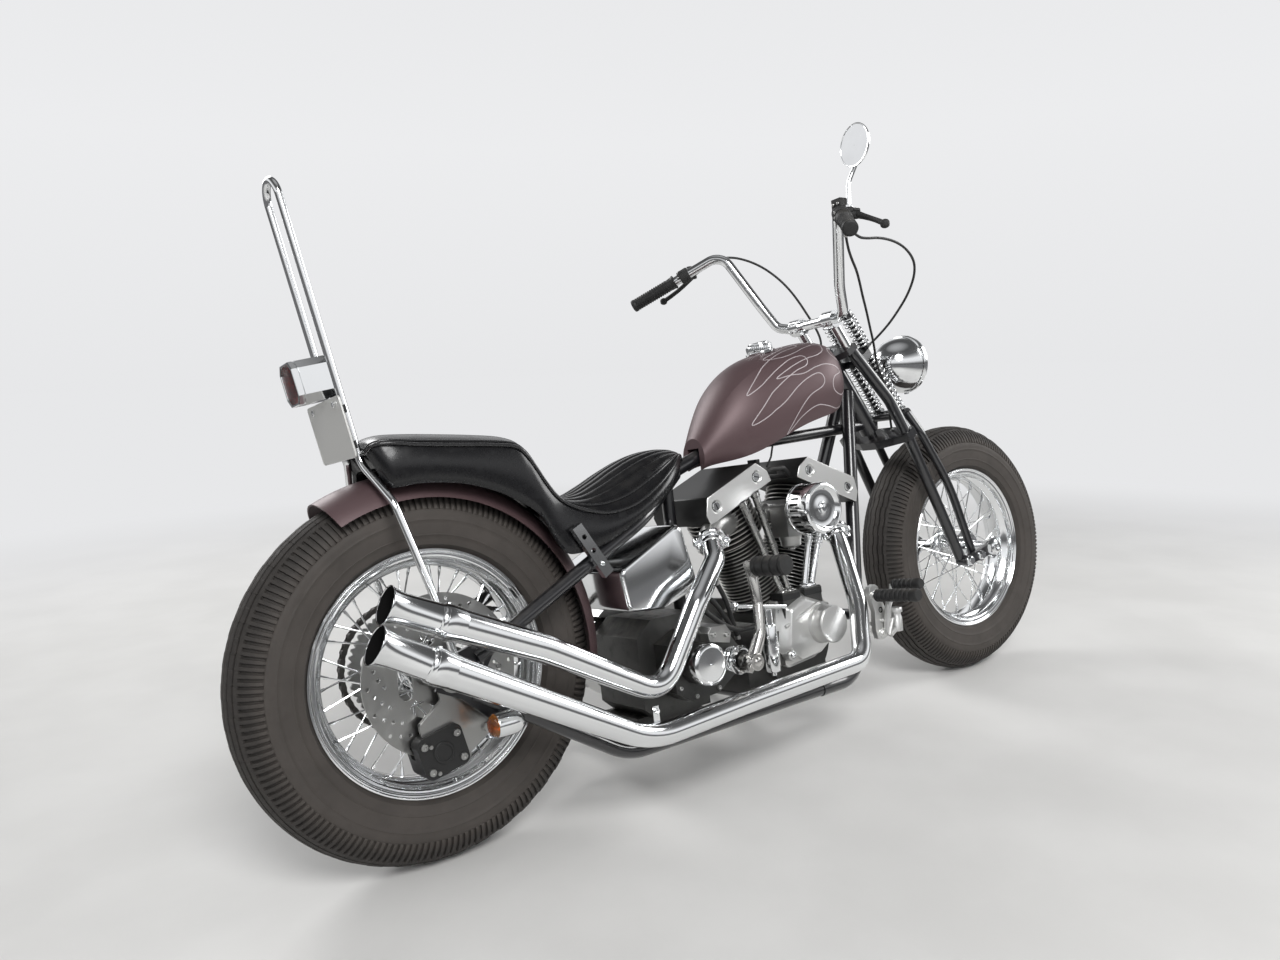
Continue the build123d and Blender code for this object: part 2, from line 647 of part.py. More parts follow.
def exhaust(points, radii, joint):
    """Header pipe, the muffler from its joint, and the straight sleeve with its open mouth."""
    pipe = bent(points, radii, EXHAUST_HEADER)
    end, before = Vector(*points[-1]), Vector(*points[-2])
    way = (end - before).normalized()
    muffler_start = before + way * joint
    run = (end - muffler_start).length
    mouth = run + EXHAUST_SLEEVE
    bore = EXHAUST_TIP - EXHAUST_WALL
    profile = [(0, 0), (EXHAUST_HEADER, 0), (EXHAUST_SHOULDER, 16), (EXHAUST_SHOULDER, run - 6),
               (EXHAUST_TIP, run), (EXHAUST_TIP, mouth), (bore, mouth), (bore, run - EXHAUST_DEPTH),
               (0, run - EXHAUST_DEPTH)]
    face = make_face(Polyline(*profile, close=True))
    open_bore = rod(end - way * EXHAUST_DEPTH, end + way * EXHAUST_SLEEVE, bore)
    sleeve = Plane(origin=muffler_start, z_dir=way).location * revolve(Plane.XZ * face, axis=Axis.Z)
    return pipe + sleeve - open_bore


def exhaust_front():
    return exhaust(EXHAUST_FRONT, [60.0, 150.0, 60.0, 300.0, 200.0], 150) - cylinder_head(VEE_HALF)


def exhaust_rear():
    return exhaust(EXHAUST_REAR, [50.0, 60.0, 70.0, 200.0], 60) - cylinder_head(-VEE_HALF)


# Bodywork

def rear_fender():
    """Crowned blade round the rear tyre."""
    outer = ThreePointArc((FENDER_LIP, -FENDER_HALF), (FENDER_CROWN, 0), (FENDER_LIP, FENDER_HALF))
    inner = ThreePointArc((FENDER_LIP, -FENDER_HALF + FENDER_WALL), (FENDER_CROWN - FENDER_WALL, 0),
                          (FENDER_LIP, FENDER_HALF - FENDER_WALL))
    ends = [Line(outer @ 0, inner @ 0), Line(outer @ 1, inner @ 1)]
    face = make_face([outer, inner, *ends])
    blade = revolve(face, axis=Axis.Y, revolution_arc=FENDER_REAR - FENDER_FRONT)
    return Pos(*REAR_AXLE) * Rot(0, -FENDER_REAR, 0) * blade


TANK_SECTIONS = [
    # share of the length from the rear, half width at the bottom, greatest half width and its height,
    # shoulder half width and height, bottom, top; heights over the backbone's centre line
    (0.0, 26, 38, 5, 26, 33, -27, 45),
    (0.144, 52, 72, 27, 50, 93, -37, 111),
    (0.394, 84, 104, 42, 72, 130, -48, 156),
    (0.718, 96, 118, 34, 80, 116, -52, 138),
    (0.884, 92, 113, 32, 76, 102, -62, 120),
    (1.0, 62, 80, 16, 52, 58, -54, 78),
]


def tank_x(share):
    """Place along the tank, from its rear end to the one behind the neck."""
    front = on_fork(0, 0, NECK_HIGH)[0] - TANK_NECK_GAP
    rear = BACKBONE_REAR[0] + TANK_REAR_GAP
    return rear + share * (front - rear)


def fuel_tank():
    sections = []
    for share, bottom_half, half, mid, shoulder_half, shoulder, bottom, top in TANK_SECTIONS:
        x = tank_x(share)

        def at_section(y, z):
            return (x, y, bone_z(x) + z)

        corner, far_corner = at_section(shoulder_half, shoulder), at_section(-shoulder_half, shoulder)
        foot, far_foot = at_section(bottom_half, bottom), at_section(-bottom_half, bottom)
        side = ThreePointArc(foot, at_section(half, mid), corner)
        roof = ThreePointArc(corner, at_section(0, top), far_corner)
        other = ThreePointArc(far_corner, at_section(-half, mid), far_foot)
        sections.append(make_face([side, roof, other, Line(far_foot, foot)]))
    body = loft(sections)
    roof_gap = TUBE + 6
    rear, front = tank_x(-0.2), tank_x(1.2)
    low = bone_z(rear) - 100
    roof = [(x, bone_z(x) + roof_gap) for x in (rear, front)]
    tunnel = slab([(rear, low), *roof, (front, low)], -TUNNEL_HALF, TUNNEL_HALF)
    for x in [tank_x(share) for share in TANK_PADS]:
        pad = block((x - 14, -12, bone_z(x)), (x + 14, 12, bone_z(x) + roof_gap + 6))
        body = body - tunnel + (pad - frame_backbone())
    return body + fuel_cap()


def fuel_cap():
    """Screw cap on its neck at the tank's crest."""
    x = tank_x(0.565)
    at_crest = Pos(x, 0, bone_z(x) + 155.7) * Rot(0, -10, 0)
    return at_crest * (Pos(0, 0, 2) * Cylinder(30, 20) + Pos(0, 0, 14) * Cylinder(24, 8))


# Side view of the saddle's crown from the rear to its nose, its underside, and half its plan
SEAT_TOP = [(-50, 690), (-70, 722), (-66, 758), (-40, 769), (76, 763), (200, 746), (236, 720), (262, 652),
            (292, 618), (340, 612), (396, 630), (457, 662), (520, 686), (596, 692), (640, 684), (676, 654)]
SEAT_BOTTOM = [(640, 636), (524, 596), (400, 541), (330, 514), (267, 512), (223, 560), (120, 640), (-42, 668)]
SEAT_HALF = [(-72, 70), (-56, 86), (0, 100), (210, 108), (300, 120), (420, 132), (540, 112), (640, 64),
             (684, 30)]


def seat():
    """Stepped two-person saddle: passenger pad over the fender, rider pad up to the tank."""
    side = slab(SEAT_TOP + SEAT_BOTTOM, -140, 140)
    plan = make_face(Polyline(*SEAT_HALF, *[(x, -y) for x, y in reversed(SEAT_HALF)], close=True))
    column = extrude(Plane.XY * plan, amount=2 * BACKBONE_REAR[2])
    body = side & column
    under = Pos(*REAR_AXLE) * Rot(90, 0, 0) * Cylinder(FENDER_CROWN + SEAT_GAP, 2 * (FENDER_HALF + 2))
    stays = upper_stay(1, TUBE - 2 + 1) + upper_stay(-1, TUBE - 2 + 1) + stay_tie(TUBE - 6 + 1)
    x, _, z = BACKBONE_REAR
    joint = block((x - 44, -60, z - 76), (x + 36, 60, z + 30))
    roof = TUBE + 1
    front = tank_x(0.2)
    bone = slab([(x, z - 76), (x, z + roof), (front, bone_z(front) + roof), (front, z - 76)], -roof, roof)
    return body - under - stays - joint - bone - sissy_bar(SISSY_RADIUS + 1.5)


def sissy_bar(radius=SISSY_RADIUS):
    """Twin round rods from the axle plates up to a round top."""
    y_up = 34.5
    foot = (4, AXLE_PLATE_Y + 11, 376)
    left = [foot, (-16, AXLE_PLATE_Y + 4, 478), (-58, 108, 648), (-80, y_up, 722), (-160, y_up, 1172)]
    top = [(-168.5, side * y_up, SISSY_TOP) for side in SIDES]
    right = [(x, -y, z) for x, y, z in reversed(left)]
    bends = [400.0, 40.0, 40.0, 5000.0, 34.0]
    return bent(left + top + right, bends + bends[::-1], radius)


def tail_lamp():
    """Square lamp with cut corners, its back on the two rods."""
    face = Rectangle(72, 74)
    face = chamfer(face.vertices(), 14)
    back = Plane(origin=(-110, 0, 878), x_dir=(0, 1, 0), z_dir=PLATE_BACK)
    lamp = extrude(back * face, amount=66)
    arm = block((-112, -22, 866), (-104, 22, 884))
    return lamp + arm - sissy_bar()


def number_plate():
    """Bare plate on a bracket behind the rods."""
    back = Plane(origin=(-112, 0, 783), x_dir=(0, 1, 0), z_dir=PLATE_BACK)
    plate = extrude(back * Rectangle(180, 108), amount=3)
    bars = Pos(0, 32) * Rectangle(88, 14) + Pos(0, -32) * Rectangle(88, 14)
    return plate + extrude(back * bars, amount=-21) - sissy_bar()


def oil_tank():
    """Box between the stays with its top along them, rounded at the corners."""
    outline = [(372, 462), (536, 540), (566, 398), (470, 370), (384, 378)]
    face = make_face(Polyline(*outline, close=True))
    face = fillet(face.vertices(), 16)
    at = Plane(origin=(0, OIL_TANK_HALF, 0), x_dir=(1, 0, 0), z_dir=(0, -1, 0))
    tank = extrude(at * face, amount=2 * OIL_TANK_HALF)
    for x in (404, 500):
        for side in SIDES:
            y = side * stay_half(x)
            tank += block((x - 9, y - 3, 440), (x + 9, y + 3, stay_z(x)))
    return tank - frame_upper_stays()


def turn_signals():
    made = []
    for side in SIDES:
        z = TYRE_RADIUS - 86
        stem = rod((79, side * (AXLE_PLATE_Y + AXLE_PLATE_WALL / 2), z), (79, side * 158, z), 5)
        face = make_face(Polyline((0, -34), (12, -34), (20, -24), (22, 6), (16, 24), (0, 32), close=True))
        body = Pos(70, side * 172, z - 4) * Rot(0, 90, 0) * revolve(Plane.XZ * face, axis=Axis.Z)
        made.append(stem + body)
    return made


# Brake and controls

def brake_caliper():
    """Caliper over the disc, on a plate that hangs from the axle."""
    body = block((-42, -116, -38), (42, -56, 36))
    body = fillet(body.edges().filter_by(Axis.Y), 14)
    body = Pos(-26, 0, TYRE_RADIUS - 123) * Rot(0, -12, 0) * body
    slot = disc((0, TYRE_RADIUS), DISC_RADIUS + MOVING_GAP, DISC_Y - 9, DISC_Y + 9)
    outline = [(-60, -72), (-16, -40), (-24, 0), (0, 26), (26, 0), (40, -40), (84, -94), (60, -118),
               (10, -150), (-50, -150)]
    plate = slab([(x, TYRE_RADIUS + z) for x, z in outline], -106, -98)
    plate -= disc((0, TYRE_RADIUS), AXLE_RADIUS + RUNNING_FIT, -108, -96)
    return body + plate - slot


REAR_COLLARS = [(-97.7, -86), (-124, -106.3), (97, 123.7), (132.3, 146), (-146, -132.3)]
FRONT_COLLARS = [(66, 114), (-114, -66), (127, 138), (-138, -127)]


def axle_with_nuts(centre, half, collars):
    """Hollow axle, its end nuts and the collars that space the hub, from (y, y) pairs."""
    x, _, z = centre
    made = disc((x, z), AXLE_RADIUS, -half, half, bore=AXLE_BORE)
    for low, high in collars:
        made += disc((x, z), 17, low, high, bore=AXLE_RADIUS - 1)
    return made


def forward_controls():
    """Bracket on the right downtube with peg, brake pedal and master cylinder; shift side on the left."""
    made = []
    for side in SIDES:
        x, y, z = downtube_point(side, DOWNTUBE_CROSS)
        bracket = rod((x, y, z - 30), (x + 34, side * 160, z - 36), 15)
        arm = bent([(x + 34, side * 156, z - 36), (x + 40, side * 176, z + 40), (x + 62, side * 196, z + 64)],
                   [25.0], 9)
        peg = rod((x + 10, side * 150, z + 46), (x + 10, side * 292, z + 52), 15)
        post = rod((x + 36, side * 162, z - 60), (x + 10, side * 162, z + 56), 8)
        pad = rod((x + 62, side * 178, z + 64), (x + 62, side * 262, z + 68), 13)
        made.append(bracket + arm + peg + post + pad - frame_downtubes())
    return made


def passenger_pegs():
    """Folded channel pegs outside the stays."""
    made = []
    for side in SIDES:
        inner = stay_half(262) + TUBE
        y_low, y_high = sorted((side * inner, side * (inner + 13)))
        outline = [(262, 558), (282, 568), (342, 470), (322, 458)]
        peg = slab(outline, y_low, y_high)
        for t in (0.22, 0.5, 0.78):
            cx, cz = 272 + 60 * t, 563 - 99 * t
            peg -= disc((cx, cz), 5, y_low - 1, y_high + 1)
        pin = rod((318, side * stay_half(318), 490), (318, side * inner, 490), 8)
        made.append(peg + (pin - frame_upper_stays()))
    return made


def stand_foot():
    """Bike-frame centre of the stand's ball foot, set so that it touches the ground when parked."""
    x, y = STAND_FOOT
    heights = [at(parked(), (x, y, z)).Z for z in (0.0, 100.0)]
    return x, y, 100.0 * (STAND_BALL - heights[0]) / (heights[1] - heights[0])


def stand_axis():
    """Hinge direction, square to the leg both down and folded back along the rail."""
    leg = Vector(*stand_foot()) - Vector(*STAND_PIVOT)
    return leg.cross(Vector(*STAND_FOLDED)).normalized()


def side_stand():
    """Leg with its eye round the pin and a ball foot."""
    pivot, foot, axis = Vector(*STAND_PIVOT), Vector(*stand_foot()), stand_axis()
    eye = rod(pivot - axis * STAND_EYE_HALF, pivot + axis * STAND_EYE_HALF, STAND_EYE)
    leg = rod(pivot, foot, STAND_RADIUS)
    ball = Pos(*foot) * Sphere(STAND_BALL)
    return eye + leg + ball - rod(pivot - axis * 12, pivot + axis * 12, STAND_PIN + RUNNING_FIT)


def stand_bracket():
    """Lug welded to the left rail, with the stand's pin."""
    pivot, axis = Vector(*STAND_PIVOT), stand_axis()
    gap = STAND_EYE_HALF + SEAT_GAP
    pin = rod(pivot - axis * (gap + 4), pivot + axis * (gap + 6), STAND_PIN)
    head = rod(pivot - axis * (gap + 4), pivot - axis * gap, STAND_EYE - 4)
    top = Plane(origin=pivot + axis * gap, x_dir=(1, 0, 0), z_dir=axis)
    reach = STAND_PIVOT[1] - RAIL_Y
    web = Pos(0, -reach / 2) * Rectangle(2 * STAND_EYE + 14, reach)
    lug = extrude(top * (Circle(STAND_EYE) + web), amount=8)
    return pin + head + lug


# Fork

def fork_part(shape):
    return FORK.location * shape


def across(half, s, wall):
    """Plate square to the steering axis, from the left half of its outline as (n, y)."""
    outline = half + [(n, -y) for n, y in reversed(half)]
    return extrude(Plane(origin=(0, 0, s)) * make_face(Polyline(*outline, close=True)), amount=wall)


def rigid_legs():
    """Steering stem, lower crown, legs and the upper struts to the top clamp."""
    stem = rod((0, 0, CROWN_S - 10), (0, 0, TOP_CLAMP_S + 30), 13)
    cones = rod((0, 0, NECK_LOW - 4), (0, 0, NECK_LOW + 14), NECK_BORE - SEAT_GAP) + \
        rod((0, 0, NECK_HIGH - 14), (0, 0, NECK_HIGH + 4), NECK_BORE - SEAT_GAP)
    crown = across([(-30, 26), (-4, LEG_Y + 18), (30, LEG_Y + 18), (36, 40)],
                   CROWN_S - CROWN_WALL / 2, CROWN_WALL)
    clamp = across([(-28, 30), (0, RISER_Y + 16), (36, RISER_Y + 16), (44, 30)], TOP_CLAMP_S, TOP_CLAMP_WALL)
    made = stem + cones + crown + clamp
    inner = ROCKER_Y - ROCKER_ARM_WALL / 2 - SEAT_GAP
    for side in SIDES:
        y = side * LEG_Y
        made += rod((14, y, CROWN_S - 4), (-37, y, 47), LEG_RADIUS)
        strut = [(12, y, CROWN_S), (34, side * 84, 520), (26, side * RISER_Y, TOP_CLAMP_S + 6)]
        made += bent(strut, [90.0], 15)
        made += rod((-37, y - side * 8, 36), (-37, side * inner, 36), 14)
    bridge = across([(NECK_RADIUS + 6, 62), (SPRING_N - 10, 58), (SPRING_N + 20, 52)], BRIDGE_S, BRIDGE_WALL)
    for side in SIDES:
        low, high = [(SPRING_N, side * SPRING_Y, s) for s in (BRIDGE_S - 1, BRIDGE_S + BRIDGE_WALL + 1)]
        bridge -= rod(low, high, SPRING_ROD + SEAT_GAP)
    return fork_part(made + bridge) + (headlamp_bracket() - headlamp())


def spring_legs():
    """Front legs, their yoke and the two spring rods."""
    n = SPRING_N - 4
    made = rod((n, -62, YOKE_S), (n, 62, YOKE_S), 14)
    for side in SIDES:
        leg = [(n, side * 58, YOKE_S), (78, side * 80, 384), (69, side * 88, 211), (8, side * 100, 16)]
        made += bent(leg, [40.0, 500.0], 11)
        made += rod((8, side * 90, 16), (8, side * (ROCKER_Y - ROCKER_ARM_WALL / 2 - SEAT_GAP), 16), 11)
        made += rod((SPRING_N, side * SPRING_Y, YOKE_S), (SPRING_N, side * SPRING_Y, 762), SPRING_ROD)
        made += rod((SPRING_N, side * SPRING_Y, 744), (SPRING_N, side * SPRING_Y, 758), 14)
    return fork_part(made)


SPRINGS = [
    # lower end, upper end and turns
    (455.0, 631.7, 12),
    (652.3, 743.7, 6),
]


def fork_springs():
    """Coil springs, each drawn as a sleeve of stacked turns round its rod."""
    made = []
    for side in SIDES:
        for low, high, turns in SPRINGS:
            pitch = (high - low) / turns
            profile = [(SPRING_ROD + SEAT_GAP, low)]
            for i in range(turns):
                z = low + pitch * i
                profile += [(SPRING_RADIUS - 4, z), (SPRING_RADIUS, z + pitch / 2)]
            profile += [(SPRING_RADIUS - 4, high), (SPRING_ROD + SEAT_GAP, high)]
            face = make_face(Polyline(*profile, close=True))
            made.append(fork_part(Pos(SPRING_N, side * SPRING_Y, 0) * revolve(Plane.XZ * face, axis=Axis.Z)))
    return made


def fork_rockers():
    """Arms from the rigid legs past the spring legs to the front axle."""
    made = []
    for side in SIDES:
        low, high = sorted((side * (ROCKER_Y - ROCKER_ARM_WALL / 2), side * (ROCKER_Y + ROCKER_ARM_WALL / 2)))
        points = [(-37, 36, 16), (8, 16, 15), (AXLE_LEAD, 0, 18)]
        arm = None
        for n, s, r in points:
            ring = rod((n, low, s), (n, high, s), r)
            arm = ring if arm is None else arm + ring
        web = slab([(-37, 48), (AXLE_LEAD, 16), (AXLE_LEAD, -16), (-37, 24)], low, high)
        arm = arm + web - rod((AXLE_LEAD, low - 1, 0), (AXLE_LEAD, high + 1, 0), AXLE_RADIUS + RUNNING_FIT)
        made.append(fork_part(arm))
    return made


# Control cables from the hand controls to the fork, in fork coordinates

CABLE_RADIUS = 3.0
CABLES = {
    "throttle": [(-38, -300, 1013), (-26, -298, 976), (6, -293, 955), (42, -287, 938), (80, -279, 914),
                 (118, -268, 884), (150, -254, 850), (175, -236, 812), (187, -212, 778), (190, -184, 748),
                 (182, -156, 721), (168, -128, 699), (151, -99, 678), (136, -66, 660), (124, -36, 646),
                 (110, -14, 638)],
    "idle": [(-46, -300, 1013), (-50, -286, 975), (-33, -262, 936), (-12, -239, 898), (2, -216, 861),
             (17, -190, 822), (34, -162, 776), (51, -130, 725), (64, -108, 690), (71, -88, 652),
             (68, -72, 612), (65, -69, 570), (58, -64, 528), (46, -56, 486), (30, -50, 450), (22, -48, 428)],
    "clutch": [(6, 288, 1017), (32, 266, 1022), (62, 244, 1019), (92, 226, 1001), (116, 209, 972),
               (135, 194, 938), (146, 180, 902), (149, 165, 868), (142, 146, 836), (127, 124, 806),
               (109, 102, 780), (91, 80, 753), (73, 62, 724), (53, 52, 704), (34, 48, 692)],
}


def cable_radii(points):
    """Largest arc that the two runs at each corner leave room for."""
    radii = []
    for before, here, after in zip(points, points[1:], points[2:]):
        back, ahead = Vector(*here) - Vector(*before), Vector(*after) - Vector(*here)
        half_turn = math.radians(back.get_angle(ahead)) / 2
        radii.append(0.45 * min(back.length, ahead.length) / math.tan(half_turn))
    return radii


def control_cables():
    """Cables that end in the hand controls and on the fork's plates."""
    carriers = rigid_legs() + hand_levers()
    made = []
    for name, points in CABLES.items():
        radii = cable_radii(points)
        print(name, "cable, smallest radius", round(min(radii), 1))
        cable = bent([on_fork(*point) for point in points], radii, CABLE_RADIUS)
        made.append(max((cable - carriers).solids(), key=lambda solid: solid.volume))
    return made


# Bar and hand controls

def handlebar():
    """High bar: clamped at the risers, up to shoulders, then back to the grips."""
    clamped = (RISER_N, RISER_Y + BAR_CLAMP_HALF + 9, BAR_CLAMP_S)
    left = [BAR_END, BAR_SHOULDER, (18.1, 140, 861.7), (11.1, 118, 799.5), clamped]
    right = [(n, -y, s) for n, y, s in reversed(left)]
    radii = [45.0, 200.0, 30.0, 30.0]
    return bent([on_fork(*point) for point in left + right], radii + radii[::-1], BAR_RADIUS)


def grip_line(side):
    """A bar end and the way from it to the bar's shoulder."""
    end, bend = [Vector(*on_fork(n, side * y, s)) for n, y, s in (BAR_END, BAR_SHOULDER)]
    return end, (bend - end).normalized()


def grips():
    made = []
    for side in SIDES:
        end, way = grip_line(side)
        made.append(rod(end - way * 6, end + way * 128, 17, BAR_RADIUS) + rod(end - way * 6, end, 17))
    return made


def risers():
    made = []
    for side in SIDES:
        foot = on_fork(RISER_N, side * RISER_Y, TOP_CLAMP_S + TOP_CLAMP_WALL)
        post = rod(foot, on_fork(RISER_N, side * RISER_Y, BAR_CLAMP_S - BAR_RADIUS - 6), 13)
        inner, outer = [on_fork(RISER_N, side * y, BAR_CLAMP_S)
                        for y in (RISER_Y - BAR_CLAMP_HALF, RISER_Y + BAR_CLAMP_HALF)]
        made.append(post + rod(inner, outer, 22))
    return made


def hand_levers():
    """Perches on the bar with their levers; switch box and throttle housing on the right."""
    made = []
    for side in SIDES:
        end, way = grip_line(side)
        at = end + way * 158
        perch = rod(at - way * 13, at + way * 13, 20, BAR_RADIUS)
        pivot = at + Vector(34, side * 8, 4)
        arm = rod(at + Vector(14, 0, 2), pivot, 9)
        tip = end + way * 4 + Vector(56, side * 10, 8)
        lever = rod(pivot + (pivot - tip).normalized() * 8, tip, 7) + Pos(*tip) * Sphere(10)
        made.append(perch + (arm + lever - rod(end, end + way * 200, BAR_RADIUS)))
    base = mirror_hole()
    end, way = grip_line(1)
    made[0] += rod(base - Vector(0, 0, 24), base, 9.5) - rod(end, end + way * 200, BAR_RADIUS)
    made[0] = made[0] - rod(base - Vector(0, 0, MIRROR_HOLE_DEPTH), base + Vector(0, 0, 5), MIRROR_HOLE)
    return made


def mirror_hole():
    """Mouth of the unused mirror thread on the left perch."""
    end, way = grip_line(1)
    return end + way * 158 + Vector(22, 2, 26)


def mirror():
    end, way = grip_line(-1)
    at = end + way * 158
    base = at + Vector(4, 2, 19)
    stem = bent([base, base + Vector(6, 0, 60), base + Vector(30, -18, 118)], [30.0], 5)
    head_at = base + Vector(2, -30, 132)
    face = Plane(origin=head_at, z_dir=(-1, 0.1, 0.06))
    head = extrude(face * Circle(46), amount=-12)
    neck = rod(base + Vector(30, -18, 112), base + Vector(8, -28, 128), 7)
    return stem + neck + head - hand_levers()[1]


def headlamp():
    """Bullet shell with its rim and lens, on a bracket from the top clamp."""
    profile = [(0, -78), (30, -72), (56, -48), (71, -10), (75, 14), (78, 16), (78, 28), (70, 30), (40, 37),
               (0, 40)]
    face = make_face(Polyline(*profile, close=True))
    return Pos(*on_fork(HEADLAMP_N, 0, HEADLAMP_S)) * Rot(0, 90, 0) * revolve(Plane.XZ * face, axis=Axis.Z)


def headlamp_bracket():
    """Bar from the fork's bridge down to the lamp's shell."""
    start = on_fork(SPRING_N + 12, 0, BRIDGE_S + BRIDGE_WALL / 2)
    return rod(start, on_fork(HEADLAMP_N - 62.6, 0, HEADLAMP_S - 32.1), 9)


# Assembly

def wheel_nodes():
    nodes = {}
    front_hub = hub(FRONT_AXLE, 62, -62)
    rear_hub = hub(REAR_AXLE, CHAIN_Y + 3, DISC_Y - DISC_WALL / 2)
    wheels = (("front", FRONT_AXLE, "front_wheel", front_hub), ("rear", REAR_AXLE, "rear_wheel", rear_hub))
    for name, centre, body, middle in wheels:
        nodes[name + "_hub_and_spokes"] = ([middle] + spokes(centre), body)
        nodes[name + "_tyre"] = (tyre(centre), body)
        nodes[name + "_rim"] = (rim(centre), body)
    nodes["brake_disc"] = (brake_disc(), "rear_wheel")
    nodes["rear_sprocket"] = (rear_sprocket(), "rear_wheel")
    return nodes


def chassis_nodes():
    chassis = {
        "frame_backbone": frame_backbone(),
        "frame_downtubes": frame_downtubes(),
        "frame_lower_rails": frame_lower_rails(),
        "frame_cross_tubes": frame_cross_tubes(),
        "axle_plates": [axle_plate(side) for side in SIDES],
        "frame_upper_stays": frame_upper_stays(),
        "crankcase": crankcase(),
        "cam_cover": cam_cover(),
        "cylinders": [barrel(angle) for angle in VEE],
        "cylinder_heads": [cylinder_head(angle) for angle in VEE],
        "rocker_boxes": [rocker_box(angle) for angle in VEE],
        "pushrod_tubes": pushrod_tubes(),
        "carburettor": carburettor(),
        "air_cleaner": air_cleaner(),
        "primary_cover": primary_cover(),
        "gearbox": gearbox(),
        "kick_starter": kick_starter(),
        "exhausts": [exhaust_front(), exhaust_rear()],
        "drive_chain": drive_chain(),
        "rear_fender": rear_fender(),
        "fuel_tank": fuel_tank(),
        "seat": seat(),
        "sissy_bar": sissy_bar(),
        "tail_lamp": tail_lamp(),
        "number_plate": number_plate(),
        "oil_tank": oil_tank(),
        "turn_signals": turn_signals(),
        "brake_caliper": brake_caliper(),
        "rear_axle": axle_with_nuts(REAR_AXLE, 150, REAR_COLLARS),
        "forward_controls": forward_controls(),
        "passenger_pegs": passenger_pegs(),
    }
    return {name: (shape, "chassis") for name, shape in chassis.items()}


def fork_nodes():
    fork = {
        "fork_rigid_legs": rigid_legs(),
        "fork_spring_legs": spring_legs(),
        "fork_springs": fork_springs(),
        "fork_rockers": fork_rockers(),
        "handlebar": handlebar() + risers(),
        "grips": grips(),
        "hand_levers": hand_levers(),
        "mirror": mirror(),
        "headlamp": headlamp(),
        "control_cables": control_cables(),
        "front_axle": axle_with_nuts(FRONT_AXLE, 142, FRONT_COLLARS),
    }
    return {name: (shape, "front_fork") for name, shape in fork.items()}


def at(place, point):
    """Where a location takes a point."""
    return (place * Location(tuple(point))).position


def ground_gap(place, axle):
    """Height of a tyre's lowest point once its upright, straight-ahead axle is placed."""
    centre = at(place, axle)
    axis = at(place, Vector(*axle) + Vector(0, 1, 0)) - centre
    return centre.Z - (TYRE_RADIUS - TYRE_CROWN) * math.sqrt(1 - axis.Z ** 2) - TYRE_CROWN


def parked():
    """Location that leans the bike and sets both tyres on the ground."""
    pitch = 0.0
    for _ in range(6):
        place = Rot(-LEAN, 0, 0) * Rot(0, pitch, 0)
        rear = ground_gap(place, REAR_AXLE)
        front = ground_gap(place * STEERED, FRONT_AXLE)
        pitch += math.degrees((front - rear) / WHEELBASE)
    return Pos(0, 0, -rear) * place


def assembly():
    """All nodes at rest, as node name -> (list of shapes, body)."""
    nodes = {**chassis_nodes(), **fork_nodes(), **wheel_nodes(), "side_stand": (side_stand(), "side_stand")}
    lean = parked()
    placed = {}
    for name, (shapes, body) in nodes.items():
        shapes = list(shapes) if isinstance(shapes, list) else [shapes]
        if body in ("front_fork", "front_wheel"):
            shapes = [STEERED * s for s in shapes]
        placed[name] = ([lean * s for s in shapes], body)
    return placed


def solids_of(shapes):
    return [solid for shape in shapes for solid in shape.solids()]


def home_of(placed):
    """Shift that puts the origin at the middle of the footprint, on the ground."""
    boxes = [shape.bounding_box() for shapes, _ in placed.values() for shape in shapes]

    def middle_of(axis):
        return (min(getattr(b.min, axis) for b in boxes) + max(getattr(b.max, axis) for b in boxes)) / 2

    return Location((-middle_of("X"), -middle_of("Y"), -min(b.min.Z for b in boxes)))


def main():
    placed = assembly()
    home = home_of(placed)
    os.makedirs("parts", exist_ok=True)
    for name, (shapes, _) in placed.items():
        made = solids_of(shapes)
        whole = made[0] if len(made) == 1 else Compound(children=made)
        export_step(whole.moved(home), f"parts/{name}.step")
        print(name, len(made))


if __name__ == "__main__":
    main()
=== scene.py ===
"""Looks of a parked chopper motorcycle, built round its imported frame.

Places are millimetres in the bike's own upright frame: x forward, y to the rider's left, z up, with the
origin on the ground under the rear axle. Space turns them into the row frame, where the bike leans on its
side stand with the fork turned a little. Each sub-assembly is a class with its sizes as fields.
"""

from __future__ import annotations

import json
import logging
import math
from dataclasses import dataclass, field
from enum import Enum
from typing import Iterable, Sequence

import bpy
import numpy as np
from mathutils import Matrix, Vector
from mathutils.bvhtree import BVHTree

